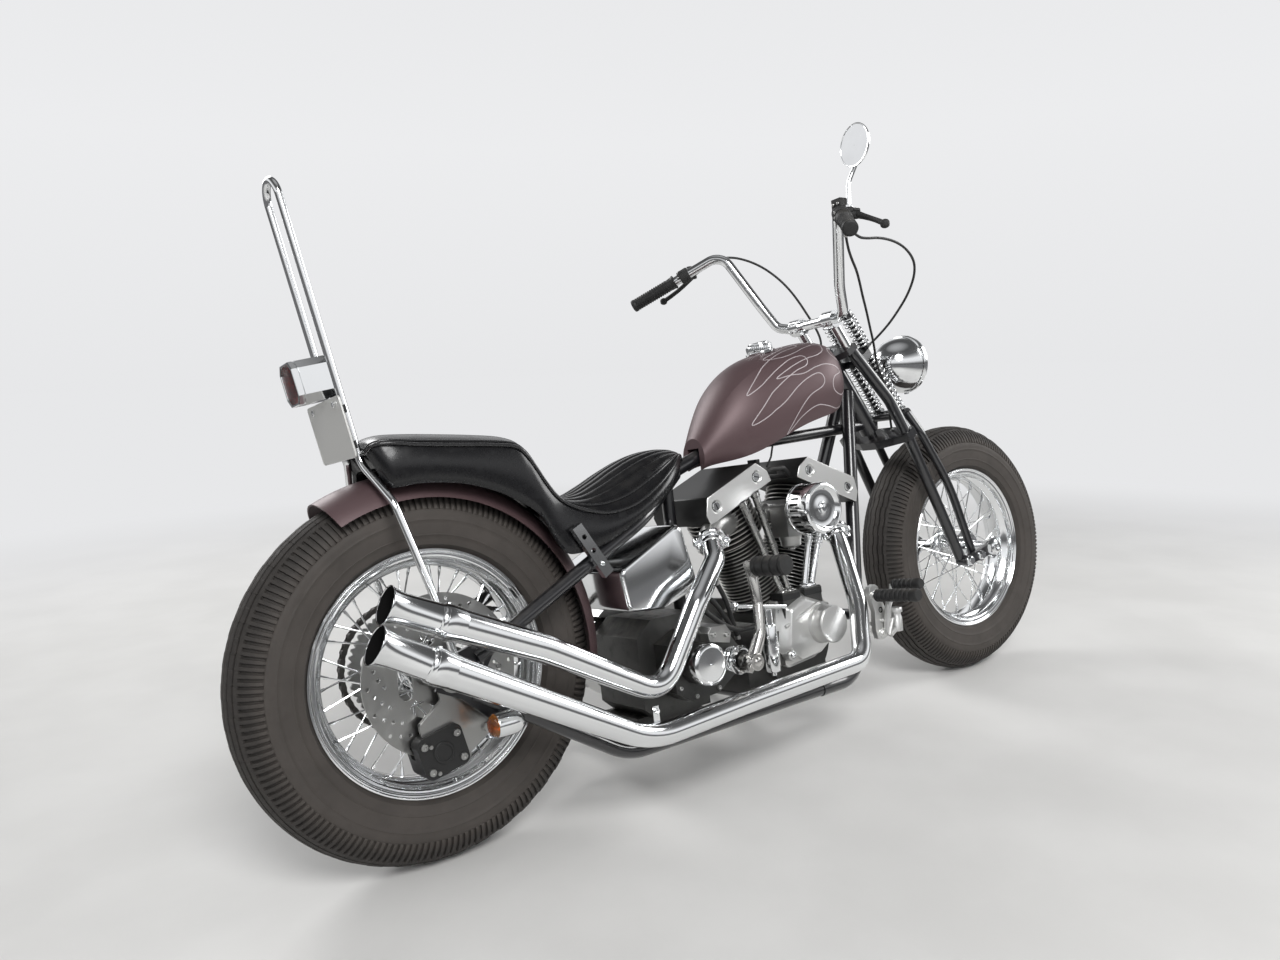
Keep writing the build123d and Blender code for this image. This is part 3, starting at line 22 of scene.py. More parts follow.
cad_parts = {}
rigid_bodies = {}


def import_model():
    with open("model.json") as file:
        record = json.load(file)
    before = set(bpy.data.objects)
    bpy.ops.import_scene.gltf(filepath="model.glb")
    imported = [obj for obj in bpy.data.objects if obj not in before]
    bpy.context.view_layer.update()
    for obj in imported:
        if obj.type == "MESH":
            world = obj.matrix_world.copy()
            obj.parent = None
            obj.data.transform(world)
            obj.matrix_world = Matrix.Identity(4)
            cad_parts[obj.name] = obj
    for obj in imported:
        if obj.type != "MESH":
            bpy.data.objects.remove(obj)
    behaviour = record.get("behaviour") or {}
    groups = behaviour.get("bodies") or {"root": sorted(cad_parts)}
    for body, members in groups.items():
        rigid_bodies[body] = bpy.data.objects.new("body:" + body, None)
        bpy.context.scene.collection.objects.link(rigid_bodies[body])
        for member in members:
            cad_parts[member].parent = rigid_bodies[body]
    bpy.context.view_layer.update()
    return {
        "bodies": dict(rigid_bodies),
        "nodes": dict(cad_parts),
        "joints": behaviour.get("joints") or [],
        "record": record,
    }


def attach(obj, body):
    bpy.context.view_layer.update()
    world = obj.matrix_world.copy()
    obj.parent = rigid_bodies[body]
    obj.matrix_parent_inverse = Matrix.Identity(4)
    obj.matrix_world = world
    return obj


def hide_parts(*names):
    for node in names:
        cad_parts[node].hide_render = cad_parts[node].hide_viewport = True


LOG = logging.getLogger("chopper")
MM = 0.001
SIDES = (1, -1)
Point = Sequence[float]
Color = tuple[float, float, float]
Numbers = tuple[float, ...]
Pairs = tuple[tuple[float, float], ...]


class Body(str, Enum):
    """Bodies of the frame that pieces ride on."""

    CHASSIS = "chassis"
    FORK = "front_fork"
    FRONT_WHEEL = "front_wheel"
    REAR_WHEEL = "rear_wheel"
    STAND = "side_stand"


# Shader maths


class Wire:
    """A node's output that works in sums like a number, each sum adding its Math node."""

    def __init__(self, graph: Graph, socket: bpy.types.NodeSocket | None) -> None:
        """Keep the output and the graph it belongs to."""
        self.graph = graph
        self.socket = socket

    def _math(self, operation: str, *terms: Wire | float) -> Wire:
        """Add one Math node.

        Args:
            operation: The node's operation.
            terms: Its values or links, in order.

        Returns:
            The node's result.
        """
        return self.graph.node("ShaderNodeMath", {"operation": operation}, dict(enumerate(terms)))

    def __add__(self, other: Wire | float) -> Wire:
        """Return the sum."""
        return self._math("ADD", self, other)

    def __sub__(self, other: Wire | float) -> Wire:
        """Return what is left."""
        return self._math("SUBTRACT", self, other)

    def __rsub__(self, other: float) -> Wire:
        """Return what is left of a number."""
        return self._math("SUBTRACT", other, self)

    def __mul__(self, other: Wire | float) -> Wire:
        """Return the product."""
        return self._math("MULTIPLY", self, other)

    def __pow__(self, other: float) -> Wire:
        """Return the power."""
        return self._math("POWER", self, other)

    __radd__ = __add__
    __rmul__ = __mul__

    def size(self) -> Wire:
        """Return the value without its sign."""
        return self._math("ABSOLUTE", self)

    def sine(self) -> Wire:
        """Return the sine."""
        return self._math("SINE", self)

    def step(self, low: float, high: float) -> Wire:
        """Return a smooth step.

        Args:
            low: Value at which the step is 0.
            high: Value at which it is 1, above or below low.

        Returns:
            A share from 0 to 1.
        """
        settings = {"interpolation_type": "SMOOTHSTEP"}
        if high < low:
            return 1 - self.step(high, low)
        inputs = {"Value": self, "From Min": low, "From Max": high}
        return self.graph.node("ShaderNodeMapRange", settings, inputs)


class Graph:
    """Node tree of one material or of the surround."""

    def __init__(self, owner: bpy.types.Material | bpy.types.World) -> None:
        """Start with the owner's tree, emptied."""
        owner.use_nodes = True
        self.owner = owner
        self.tree = owner.node_tree
        self.tree.nodes.clear()

    def node(self, kind: str, settings: dict | None = None, inputs: dict | None = None,
             out: int | str = 0) -> Wire:
        """Add any node.

        Args:
            kind: The node's type.
            settings: Its properties, set first, with a ramp's stops as places and colours.
            inputs: Values or wires for its sockets, by name or number.
            out: Which output is wanted.

        Returns:
            That output.
        """
        made = self.tree.nodes.new(kind)
        for key, value in (settings or {}).items():
            if key == "stops":
                self.set_stops(made.color_ramp.elements, value)
            else:
                setattr(made, key, value)
        for key, value in (inputs or {}).items():
            if isinstance(value, Wire):
                self.tree.links.new(value.socket, made.inputs[key])
            else:
                made.inputs[key].default_value = value
        return Wire(self, made.outputs[out] if made.outputs else None)

    @staticmethod
    def set_stops(elements: bpy.types.ColorRampElements, stops: Sequence[tuple[float, Color]]) -> None:
        """Give a ramp its stops.

        Args:
            elements: The ramp's elements.
            stops: Place and colour of each stop, in order.
        """
        while len(elements) < len(stops):
            elements.new(0.5)
        for element, (at, color) in zip(elements, stops):
            element.position, element.color = at, (*color, 1.0)

    def here(self) -> Wire:
        """Return the place on the piece, in metres of the row frame at rest."""
        return self.node("ShaderNodeTexCoord", out="Object")

    def vector(self, operation: str, *terms: Wire | Point, out: int | str = 0) -> Wire:
        """Add one Vector Math node on the given terms."""
        return self.node("ShaderNodeVectorMath", {"operation": operation}, dict(enumerate(terms)), out)

    def upward(self) -> Wire:
        """Return how far the surface faces the sky, from -1 to 1."""
        normal = self.node("ShaderNodeNewGeometry", out="Normal")
        return self.vector("DOT_PRODUCT", normal, (0.0, 0.0, 1.0), out="Value")

    def off_axis(self, foot: Point, axis: Point) -> Wire:
        """Return the distance in metres from an axis through a foot.

        Args:
            foot: A point on the axis, in the row frame.
            axis: Way of the axis, of length 1.

        Returns:
            The distance at each place on the piece.
        """
        arm = self.vector("SUBTRACT", self.here(), foot)
        up = self.vector("DOT_PRODUCT", arm, axis, out="Value")
        reach = self.vector("LENGTH", arm, out="Value")
        return (reach * reach - up * up) ** 0.5

    def noise(self, size: float, detail: float = 3.0, at: Wire | None = None) -> Wire:
        """Return cloudy noise.

        Args:
            size: Size of its spots in millimetres.
            detail: How many finer layers it has.
            at: Where it is read, the place on the piece if left out.

        Returns:
            A value around 0.5.
        """
        inputs = {"Vector": at or self.here(), "Scale": 1.0 / (size * MM), "Detail": detail}
        return self.node("ShaderNodeTexNoise", inputs=inputs)

    def cells(self, size: float, feature: str = "F1", at: Wire | None = None) -> Wire:
        """Return the distance pattern of cells of that size in millimetres."""
        inputs = {"Vector": at or self.here(), "Scale": 1.0 / (size * MM)}
        return self.node("ShaderNodeTexVoronoi", {"feature": feature}, inputs, out="Distance")

    def mix(self, share: Wire | float, low: Wire | Color, high: Wire | Color) -> Wire:
        """Return a colour between two colours."""
        low, high = [c if isinstance(c, Wire) else (*c, 1.0) for c in (low, high)]
        return self.node("ShaderNodeMix", {"data_type": "RGBA"}, {0: share, 6: low, 7: high}, out=2)

    def bump(self, height: Wire, depth: float, under: Wire | None = None) -> Wire:
        """Return a normal raised by a height.

        Args:
            height: The height, from 0 to 1.
            depth: Its real depth in millimetres.
            under: A normal that it is added to.

        Returns:
            The bent normal.
        """
        inputs = {"Height": height, "Distance": depth * MM, "Strength": 1.0}
        if under is not None:
            inputs["Normal"] = under
        return self.node("ShaderNodeBump", inputs=inputs)

    def surface(self, **values: Wire | float | tuple) -> None:
        """Finish the material with a Principled shader, sockets named with underscores for spaces."""
        named = {key.replace("_", " "): value for key, value in values.items() if value is not None}
        self.end(self.node("ShaderNodeBsdfPrincipled", inputs=named))

    def end(self, shader: Wire, kind: str = "ShaderNodeOutputMaterial") -> None:
        """Link a shader to the tree's output."""
        self.node(kind, inputs={"Surface": shader})


# Finishes

DUST: Color = (0.34, 0.31, 0.27)


@dataclass(frozen=True)
class Finish:
    """A plain finish with grain, smudges and settled dust.

    Attributes:
        name: Name of the material.
        color: Base colour.
        roughness: Roughness of the clean surface.
        metallic: 1 for bare metal.
        coat: Weight of a clear coat.
        grain: Size of the surface grain in millimetres.
        relief: Depth of that grain in millimetres.
        smudge: How much roughness the smudges add.
        dust: Share of dust on faces that look up.
        specular: Strength of the plain reflection.
        slot: The record's slot of pieces in it. Not used.
    """

    name: str
    color: Color
    roughness: float = 0.4
    metallic: float = 0.0
    coat: float = 0.0
    grain: float = 0.8
    relief: float = 0.01
    smudge: float = 0.1
    dust: float = 0.0
    specular: float = 0.5
    slot: str = ""

    def material(self) -> bpy.types.Material:
        """Return the material, made the first time it is asked for."""
        found = bpy.data.materials.get(self.name)
        if found is not None:
            return found
        graph = Graph(bpy.data.materials.new(self.name))
        self.paint(graph)
        return graph.owner

    def dusted(self, graph: Graph, color: Wire | Color) -> Wire | Color:
        """Return the colour under the dust that settles on faces that look up.

        Args:
            graph: The material's graph.
            color: The clean colour.

        Returns:
            The dusted colour.
        """
        if not self.dust:
            return color
        share = graph.upward().step(0.35, 1.0) * graph.noise(26.0, 5.0).step(0.35, 0.75) * self.dust
        return graph.mix(share, color, DUST)

    def shade(self, graph: Graph) -> Wire:
        """Return the base colour with its slow variation."""
        deep = tuple(c * 0.86 for c in self.color)
        return graph.mix(graph.noise(38.0), deep, self.color)

    def texture(self, graph: Graph) -> Wire:
        """Return the normal with the surface grain."""
        return graph.bump(graph.noise(self.grain, 2.0), self.relief)

    def paint(self, graph: Graph) -> None:
        """Lay the finish on in a graph."""
        rough = self.roughness + graph.noise(17.0, 4.0).step(0.48, 0.78) * self.smudge
        graph.surface(
            Base_Color=self.dusted(graph, self.shade(graph)), Roughness=rough, Metallic=self.metallic,
            Coat_Weight=self.coat, Coat_Roughness=0.04, Specular_IOR_Level=self.specular,
            Normal=self.texture(graph))


@dataclass(frozen=True)
class Brushed(Finish):
    """Metal with fine scratches that run one way.

    Attributes:
        along: Axis of the scratches, as a stretch of the texture on x, y and z.
    """

    along: Numbers = (1.0, 1.0, 0.06)

    def texture(self, graph: Graph) -> Wire:
        """Return the normal with scratches over a faint grain."""
        drawn = graph.vector("MULTIPLY", graph.here(), self.along)
        scratches = graph.noise(self.grain, 3.0, at=drawn)
        return graph.bump(scratches, self.relief, graph.bump(graph.noise(6.0), 0.01))


@dataclass(frozen=True)
class Flake(Finish):
    """Satin metallic paint whose flakes catch the light one by one."""

    def shade(self, graph: Graph) -> Wire:
        """Return the base colour with flakes lighter and darker."""
        flakes = graph.cells(0.7).step(0.1, 0.6)
        dark = tuple(c * 0.72 for c in self.color)
        light = tuple(min(1.0, c * 1.3) for c in self.color)
        return graph.mix(flakes, light, graph.mix(graph.noise(60.0), dark, self.color))

    def texture(self, graph: Graph) -> Wire:
        """Return the normal with flakes tipped a little and the faint peel of sprayed paint."""
        return graph.bump(graph.cells(0.7), 0.012, graph.bump(graph.noise(5.0, 1.0), 0.02))


@dataclass(frozen=True)
class Hide(Finish):
    """Smooth black leather with a fine cell grain and soft creases."""

    def texture(self, graph: Graph) -> Wire:
        """Return the normal with creases, cells and pores."""
        creases = graph.bump(graph.noise(30.0, 3.0), 0.25)
        cells = graph.bump(graph.cells(1.5, "SMOOTH_F1"), 0.05, creases)
        return graph.bump(graph.noise(0.5, 1.0), 0.01, cells)


@dataclass(frozen=True)
class TyreRubber(Finish):
    """Black rubber whose sidewalls are brown-grey with road dust.

    Attributes:
        centre: Middle of the wheel in the row frame.
        axis: The wheel's axis.
    """

    centre: Numbers = (0.0, 0.0, 0.0)
    axis: Numbers = (0.0, 1.0, 0.0)

    def shade(self, graph: Graph) -> Wire:
        """Return black on the tread and dust on the walls, worn pale on the crown."""
        radius = graph.off_axis(self.centre, self.axis)
        wall = radius.step(0.316, 0.292)
        dusty = graph.mix(graph.noise(45.0, 5.0), (0.036, 0.031, 0.027), (0.068, 0.058, 0.051))
        film = graph.mix(graph.noise(12.0, 4.0), (0.016, 0.0145, 0.013), (0.044, 0.038, 0.034))
        worn = radius.step(0.3372, 0.3392) * graph.noise(20.0, 4.0)
        return graph.mix(worn * 0.6, graph.mix(wall, film, dusty), (0.075, 0.067, 0.060))

    def texture(self, graph: Graph) -> Wire:
        """Return the normal with a dull moulded grain."""
        return graph.bump(graph.noise(1.6, 4.0), 0.08)


@dataclass(frozen=True)
class FinEdges(Finish):
    """Heat-proof black, worn to bare metal on the edges of the fins.

    Attributes:
        foot: A point on the cylinder's axis in the row frame.
        axis: Way of that axis.
        edge: Radius beyond which the edges are bare, in metres.
        bare: Colour of the bare metal.
    """

    foot: Numbers = (0.0, 0.0, 0.0)
    axis: Numbers = (0.0, 0.0, 1.0)
    edge: float = 0.08
    bare: Color = (0.60, 0.59, 0.57)

    def paint(self, graph: Graph) -> None:
        """Lay the finish on in a graph."""
        worn = graph.off_axis(self.foot, self.axis).step(self.edge - 0.0008, self.edge + 0.0004)
        worn = worn * (graph.noise(30.0, 4.0).step(0.35, 0.6) * 0.5 + 0.5)
        color = graph.mix(worn, self.dusted(graph, self.shade(graph)), self.bare)
        graph.surface(Base_Color=color, Roughness=self.roughness - worn * 0.15, Metallic=worn,
                      Specular_IOR_Level=self.specular, Normal=self.texture(graph))


@dataclass(frozen=True)
class Glass(Finish):
    """Clear or coloured glass or lens plastic, with moulded ribs.

    Attributes:
        ribs: Spacing of the lens ribs in millimetres, 0 for none.
    """

    ribs: float = 0.0

    def paint(self, graph: Graph) -> None:
        """Lay the lens on in a graph."""
        normal = graph.bump(graph.noise(9.0, 1.0), 0.01)
        if self.ribs:
            row = graph.vector("DOT_PRODUCT", graph.here(), (0.0, 1.0 / (self.ribs * MM), 0.0), out="Value")
            normal = graph.bump((row * math.pi).sine().size(), 0.5, normal)
        graph.surface(
            Base_Color=graph.mix(graph.noise(15.0), tuple(c * 0.9 for c in self.color), self.color),
            Roughness=self.roughness, Transmission_Weight=1.0, IOR=1.45, Coat_Weight=0.3, Normal=normal)


CHROME = Finish("chrome", (0.80, 0.81, 0.82), 0.035, 1.0, grain=7.0, relief=0.012, smudge=0.07, dust=0.10)
DULL_CHROME = Finish("dull_chrome", (0.42, 0.42, 0.41), 0.24, 1.0, grain=6.0, smudge=0.2, dust=0.2)
KICK_STEEL = Finish("kicker_steel", (0.60, 0.59, 0.57), 0.2, 1.0, grain=4.0, relief=0.02, smudge=0.15,
                    dust=0.1, slot="chrome")
POLISHED = Brushed("polished_aluminium", (0.72, 0.72, 0.71), 0.17, 1.0, grain=0.5, relief=0.03, smudge=0.16,
                   dust=0.12)
CAST = Finish("cast_aluminium", (0.27, 0.27, 0.265), 0.38, 1.0, grain=1.4, relief=0.22, smudge=0.2, dust=0.25)
# Crankcase and gearbox: cast aluminium darker than CAST, partly for its own dark casting and partly as
# painted shade under the oil tank.
DARK_CAST_PAINTED_SHADE = Finish("dark_cast_painted_shade", (0.11, 0.11, 0.107), 0.42, 1.0, grain=1.4, relief=0.25, smudge=0.2,
                    dust=0.3)
STEEL = Brushed("plated_steel", (0.42, 0.42, 0.41), 0.28, 1.0, grain=0.5, relief=0.03, smudge=0.2, dust=0.1,
                slot="steel")
DARK_STEEL = Finish("dark_steel", (0.10, 0.095, 0.09), 0.42, 1.0, grain=1.0, relief=0.05, smudge=0.2,
                    dust=0.2, slot="steel")
ENAMEL = Finish("frame_enamel", (0.009, 0.009, 0.011), 0.28, coat=1.0, grain=5.0, relief=0.02, smudge=0.05,
                dust=0.10)
ENGINE_BLACK = Finish("engine_black", (0.016, 0.016, 0.016), 0.42, grain=1.2, relief=0.12, smudge=0.15,
                      dust=0.18)
BODY_PAINT = Flake("body_paint", (0.023, 0.0125, 0.0165), 0.36, 0.5, coat=0.08, specular=0.4, smudge=0.08,
                   dust=0.06)
LEATHER = Hide("black_leather", (0.006, 0.006, 0.007), 0.27, coat=0.1, smudge=0.12, dust=0.03, specular=0.4,
               slot="leather")
PIPING = Finish("leather_piping", (0.012, 0.012, 0.013), 0.26, coat=0.4, grain=1.0, relief=0.03,
                slot="leather")
RUBBER = Finish("moulded_rubber", (0.016, 0.016, 0.016), 0.55, grain=0.9, relief=0.06, smudge=0.12, dust=0.2,
                slot="rubber")
PLASTIC = Finish("black_plastic", (0.014, 0.014, 0.015), 0.38, grain=0.6, relief=0.03, dust=0.1)
PLATE = Finish("plate_white", (0.60, 0.60, 0.585), 0.38, grain=3.0, relief=0.06, smudge=0.2, dust=0.15)
PINSTRIPE = Finish("pinstripe", (0.46, 0.41, 0.42), 0.35, grain=1.0, slot="body_paint")
MIRROR_GLASS = Finish("mirror_glass", (0.88, 0.89, 0.90), 0.015, 1.0, grain=12.0, relief=0.004, smudge=0.03)
AMBER = Glass("amber_lens", (0.95, 0.32, 0.03), 0.08, ribs=3.0)
RED = Glass("red_lens", (0.75, 0.02, 0.02), 0.08, ribs=3.0)
CLEAR = Glass("lamp_glass", (0.95, 0.96, 0.96), 0.03)
# Near black for soot inside the exhausts, and as painted shade in holes, slots and vents.
SOOT_AND_SHADE = Finish("soot_and_painted_shade", (0.006, 0.006, 0.006), 0.9, specular=0.1, grain=2.0, relief=0.1)

NODE_FINISHES = {
    CHROME: "exhausts sissy_bar oil_tank passenger_pegs handlebar headlamp front_rim rear_rim tail_lamp "
            "turn_signals front_hub_and_spokes rear_hub_and_spokes air_cleaner pushrod_tubes mirror "
            "rear_axle front_axle fork_springs",
    POLISHED: "rocker_boxes cam_cover primary_cover forward_controls",
    CAST: "carburettor",
    DARK_CAST_PAINTED_SHADE: "crankcase gearbox",
    STEEL: "brake_disc rear_sprocket kick_starter",
    DARK_STEEL: "drive_chain",
    ENAMEL: "frame_cross_tubes axle_plates frame_backbone frame_downtubes frame_lower_rails "
            "frame_upper_stays fork_rigid_legs fork_spring_legs fork_rockers",
    ENGINE_BLACK: "cylinders cylinder_heads brake_caliper side_stand",
    BODY_PAINT: "fuel_tank rear_fender",
    LEATHER: "seat",
    RUBBER: "grips front_tyre rear_tyre control_cables",
    PLASTIC: "hand_levers",
    PLATE: "number_plate",
}


# Geometry


class Space:
    """Where the bike's own frames lie in the row frame.

    Attributes:
        RAKE: Lean of the steering axis from upright.
        TYRE_RADIUS: Radius of both tyres, and the height of the axles.
        WHEELBASE: Distance between the axles.
        AXLE_LEAD: Distance of the front axle ahead of the steering axis.
        chassis: Takes millimetres of the upright bike into the row frame.
        steered: The same for what turns with the fork, drawn straight ahead.
        fork: Takes millimetres ahead of the steering axis, to the left and up it.
    """

    RAKE = math.radians(33.0)
    TYRE_RADIUS = 340.0
    WHEELBASE = 1594.3
    AXLE_LEAD = 59.8

    def __init__(self, joints: Iterable[dict]) -> None:
        """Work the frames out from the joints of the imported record.

        Args:
            joints: The record's joints, with their places and axes in the row frame.
        """
        by_name = {joint["name"]: joint for joint in joints}
        across = Vector(by_name["rear_wheel_spin"]["axis"])
        stem = Vector(by_name["steering"]["axis"])
        wheel = Vector(by_name["front_wheel_spin"]["axis"])
        sine, cosine = math.sin(self.RAKE), math.cos(self.RAKE)
        side = across.cross(stem)
        ahead = cosine * side - sine * stem
        up = sine * side + cosine * stem
        self.rear_axle = Vector(by_name["rear_wheel_spin"]["pos_m"])
        self.front_axle = Vector(by_name["front_wheel_spin"]["pos_m"])
        self.chassis = self.placed(self.rear_axle - up * self.TYRE_RADIUS * MM, ahead, across, up)
        self.fork = self.placed(Vector(by_name["steering"]["pos_m"]), wheel.cross(stem), wheel, stem)
        pivot = vec(self.WHEELBASE - self.AXLE_LEAD * cosine, 0.0, self.TYRE_RADIUS - self.AXLE_LEAD * sine)
        plane = self.placed(pivot, vec(cosine, 0, sine), vec(0, 1, 0), vec(-sine, 0, cosine), 1.0)
        self.steered = self.fork @ plane.inverted()
        self.rear_wheel = self.chassis @ shift(z=self.TYRE_RADIUS) @ LYING
        self.front_wheel = self.steered @ shift(self.WHEELBASE, 0, self.TYRE_RADIUS) @ LYING

    @staticmethod
    def placed(origin: Vector, x: Vector, y: Vector, z: Vector, scale: float = MM) -> Matrix:
        """Return a frame with that origin, axes and scale.

        Args:
            origin: Where it lies.
            x: Its first axis.
            y: Its second axis.
            z: Its third axis.
            scale: Length of its unit.

        Returns:
            The frame as a matrix.
        """
        made = Matrix((x * scale, y * scale, z * scale)).transposed().to_4x4()
        made.translation = origin
        return made


# Lays a turned shape down, so that its z axis points to the left
LYING = Matrix(((1, 0, 0, 0), (0, 0, 1, 0), (0, -1, 0, 0), (0, 0, 0, 1)))


def vec(x: float, y: float, z: float) -> Vector:
    """Return the vector of three numbers."""
    return Vector((x, y, z))


def rotation(degrees: float, axis: str) -> Matrix:
    """Return a turn about an axis."""
    return Matrix.Rotation(math.radians(degrees), 4, axis)


def shift(x: float = 0.0, y: float = 0.0, z: float = 0.0) -> Matrix:
    """Return a move by so much."""
    return Matrix.Translation((x, y, z))


def facing(at: Point, way: Point, turn: float = 0.0) -> Matrix:
    """Return a place whose z axis points a given way.

    Args:
        at: The place.
        way: Where its z axis points.
        turn: Turn about that axis, in degrees.

    Returns:
        The place as a matrix.
    """
    turned = Vector(way).to_track_quat("Z", "Y").to_matrix().to_4x4()
    return Matrix.Translation(Vector(at)) @ turned @ rotation(turn, "Z")


def ring(radius: float, count: int, start: float = 0.0) -> list[tuple[float, float]]:
    """Return points round a circle, from a start angle in degrees."""
    turns = [math.radians(start) + 2 * math.pi * i / count for i in range(count)]
    return [(radius * math.cos(t), radius * math.sin(t)) for t in turns]


def rounded(corners: Sequence[Point], radius: float | Sequence[float], steps: int = 4) -> list[Vector]:
    """Return a route whose corners are rounded.

    Args:
        corners: The route's points.
        radius: Radius of every corner, or one for each, less where a run is short.
        steps: Points in each corner.

    Returns:
        The points of the smooth route.
    """
    points = [Vector(c) for c in corners]
    radii = radius if isinstance(radius, (list, tuple)) else [radius] * len(points)
    route = [points[0]]
    for before, here, after, size in zip(points, points[1:], points[2:], radii):
        back, ahead = (before - here), (after - here)
        half = (math.pi - back.angle(ahead)) / 2
        cut = min(size * math.tan(half), 0.49 * back.length, 0.49 * ahead.length)
        start, end = here + back.normalized() * cut, here + ahead.normalized() * cut
        for i in range(steps + 1):
            t = i / steps
            route.append(start * (1 - t) ** 2 + here * 2 * t * (1 - t) + end * t * t)
    route.append(points[-1])
    return route


def smooth(table: Sequence[Sequence[float]], steps: int) -> list[list[float]]:
    """Return a table's rows with more rows between them, on curves through all of them.

    Args:
        table: Rows of numbers.
        steps: Rows from each row to the next.

    Returns:
        The longer table.
    """
    rows = np.array(table, dtype=float)
    padded = np.vstack([2 * rows[0] - rows[1], rows, 2 * rows[-1] - rows[-2]])
    made = []
    for a, b, c, d in zip(padded, padded[1:], padded[2:], padded[3:]):
        for i in range(steps):
            t = i / steps
            made.append(0.5 * (2 * b + (c - a) * t + (2 * a - 5 * b + 4 * c - d) * t * t
                               + (3 * b - a - 3 * c + d) * t ** 3))
    return [list(row) for row in [*made, rows[-1]]]


class Form:
    """Points and faces of one piece, in millimetres of the frame it is drawn in."""

    def __init__(self) -> None:
        """Start with nothing."""
        self.points: list[Vector] = []
        self.faces: list[tuple[int, ...]] = []
        self.marks: list[int] = []

    def add(self, points: Iterable[Point], faces: Iterable[Sequence[int]], place: Matrix | None = None,
            mark: int = 0) -> Form:
        """Add faces over new points.

        Args:
            points: The points.
            faces: Faces by the points' numbers.
            place: Where they go.
            mark: Number of their finish.

        Returns:
            This form.
        """
        start = len(self.points)
        self.points += [place @ Vector(p) if place else Vector(p) for p in points]
        added = [tuple(start + i for i in face) for face in faces]
        self.faces += added
        self.marks += [mark] * len(added)
        return self

    def skin(self, rows: Sequence[Sequence[Point]], place: Matrix | None = None, mark: int = 0,
             around: bool = True, closed: bool = False, capped: bool = False) -> Form:
        """Add a surface over rows of equally many points.

        Args:
            rows: The rows.
            place: Where they go.
            mark: Number of their finish.
            around: Whether each row closes on itself.
            closed: Whether the last row joins the first.
            capped: Whether the first and last rows are closed off.

        Returns:
            This form.
        """
        wide, tall = len(rows[0]), len(rows)
        faces = []
        for j in range(tall if closed else tall - 1):
            for i in range(wide if around else wide - 1):
                k, n = (i + 1) % wide, (j + 1) % tall
                faces.append((j * wide + i, j * wide + k, n * wide + k, n * wide + i))
        if capped:
            faces.append(tuple(reversed(range(wide))))
            faces.append(tuple(range((tall - 1) * wide, tall * wide)))
        return self.add([p for row in rows for p in row], faces, place, mark)

    def lathe(self, profile: Sequence[tuple[float, float]], place: Matrix | None = None, sides: int = 48,
              mark: int = 0, capped: bool = False) -> Form:
        """Add a turned shape.

        Args:
            profile: Radius and height of each ring.
            place: Where its axis goes, along z.
            sides: Faces round it.
            mark: Number of its finish.
            capped: Whether its ends are closed off.

        Returns:
            This form.
        """
        rows = [[(x, y, height) for x, y in ring(radius, sides)] for radius, height in profile]
        return self.skin(rows, place, mark, capped=capped)

    def tube(self, route: Sequence[Point], radius: float | Sequence[float], sides: int = 12,
             place: Matrix | None = None, mark: int = 0, closed: bool = False) -> Form:
        """Add a round bar along a route.

        Args:
            route: Points of its centre line.
            radius: One radius, or one for each point.
            sides: Faces round it.
            place: Where it goes.
            mark: Number of its finish.
            closed: Whether the route closes on itself.

        Returns:
            This form.
        """
        points = [Vector(p) for p in route]
        count = len(points)
        radii = radius if isinstance(radius, (list, tuple)) else [radius] * count
        ways = []
        for i in range(count):
            before = points[i - 1] if i or closed else points[i]
            after = points[(i + 1) % count] if i < count - 1 or closed else points[i]
            ways.append((after - before).normalized())
        across = ways[0].orthogonal().normalized()
        rows = []
        for at, way, size in zip(points, ways, radii):
            across = (across - way * across.dot(way)).normalized()
            up = way.cross(across)
            rows.append([at + across * x + up * y for x, y in ring(size, sides)])
        return self.skin(rows, place, mark, closed=closed, capped=not closed)

    def coil(self, place: Matrix, radius: float, wire: float, low: float, high: float, turns: float,
             mark: int = 0) -> Form:
        """Add a coil spring round its place's z axis.

        Args:
            place: Where it goes.
            radius: Radius of its wire's middle.
            wire: Radius of the wire.
            low: Lower end.
            high: Upper end.
            turns: Number of turns.
            mark: Number of its finish.

        Returns:
            This form.
        """
        count = int(turns * 22)
        route = []
        for i in range(count + 1):
            turn, share = 2 * math.pi * turns * i / count, i / count
            height = low + wire + (high - low - 2 * wire) * (share - 0.024 * math.sin(2 * math.pi * share))
            route.append((radius * math.cos(turn), radius * math.sin(turn), height))
        return self.tube(route, wire, 10, place, mark)

    def prism(self, outline: Sequence[tuple[float, float]], low: float, high: float,
              place: Matrix | None = None, mark: int = 0) -> Form:
        """Add a plate with that outline between two heights.

        Args:
            outline: Its corners.
            low: Its lower height.
            high: Its upper height.
            place: Where it goes.
            mark: Number of its finish.

        Returns:
            This form.
        """
        rows = [[(x, y, z) for x, y in outline] for z in (low, high)]
        return self.skin(rows, place, mark, capped=True)

    def block(self, size: Point, place: Matrix | None = None, mark: int = 0) -> Form:
        """Add a box of that size about its place."""
        x, y, z = (s / 2 for s in size)
        return self.prism([(-x, -y), (x, -y), (x, y), (-x, y)], -z, z, place, mark)

    def mesh(self, name: str, place: Matrix) -> bpy.types.Mesh:
        """Return the form as a mesh, taken into the row frame."""
        made = bpy.data.meshes.new(name)
        made.from_pydata([place @ p for p in self.points], [], self.faces)
        return made

    def bolt(self, place: Matrix, radius: float, height: float, mark: int = 0) -> Form:
        """Add a hexagon head with a chamfered top on a washer.

        Args:
            place: Where it stands, its head along z.
            radius: Radius over the head's corners.
            height: Height of the head.
            mark: Number of its finish.

        Returns:
            This form.
        """
        self.lathe([(radius * 1.25, 0), (radius * 1.25, height * 0.18)], place, 20, mark, capped=True)
        top = [(radius, 0), (radius, height * 0.85), (radius * 0.86, height)]
        return self.lathe(top, place, 6, mark, capped=True)

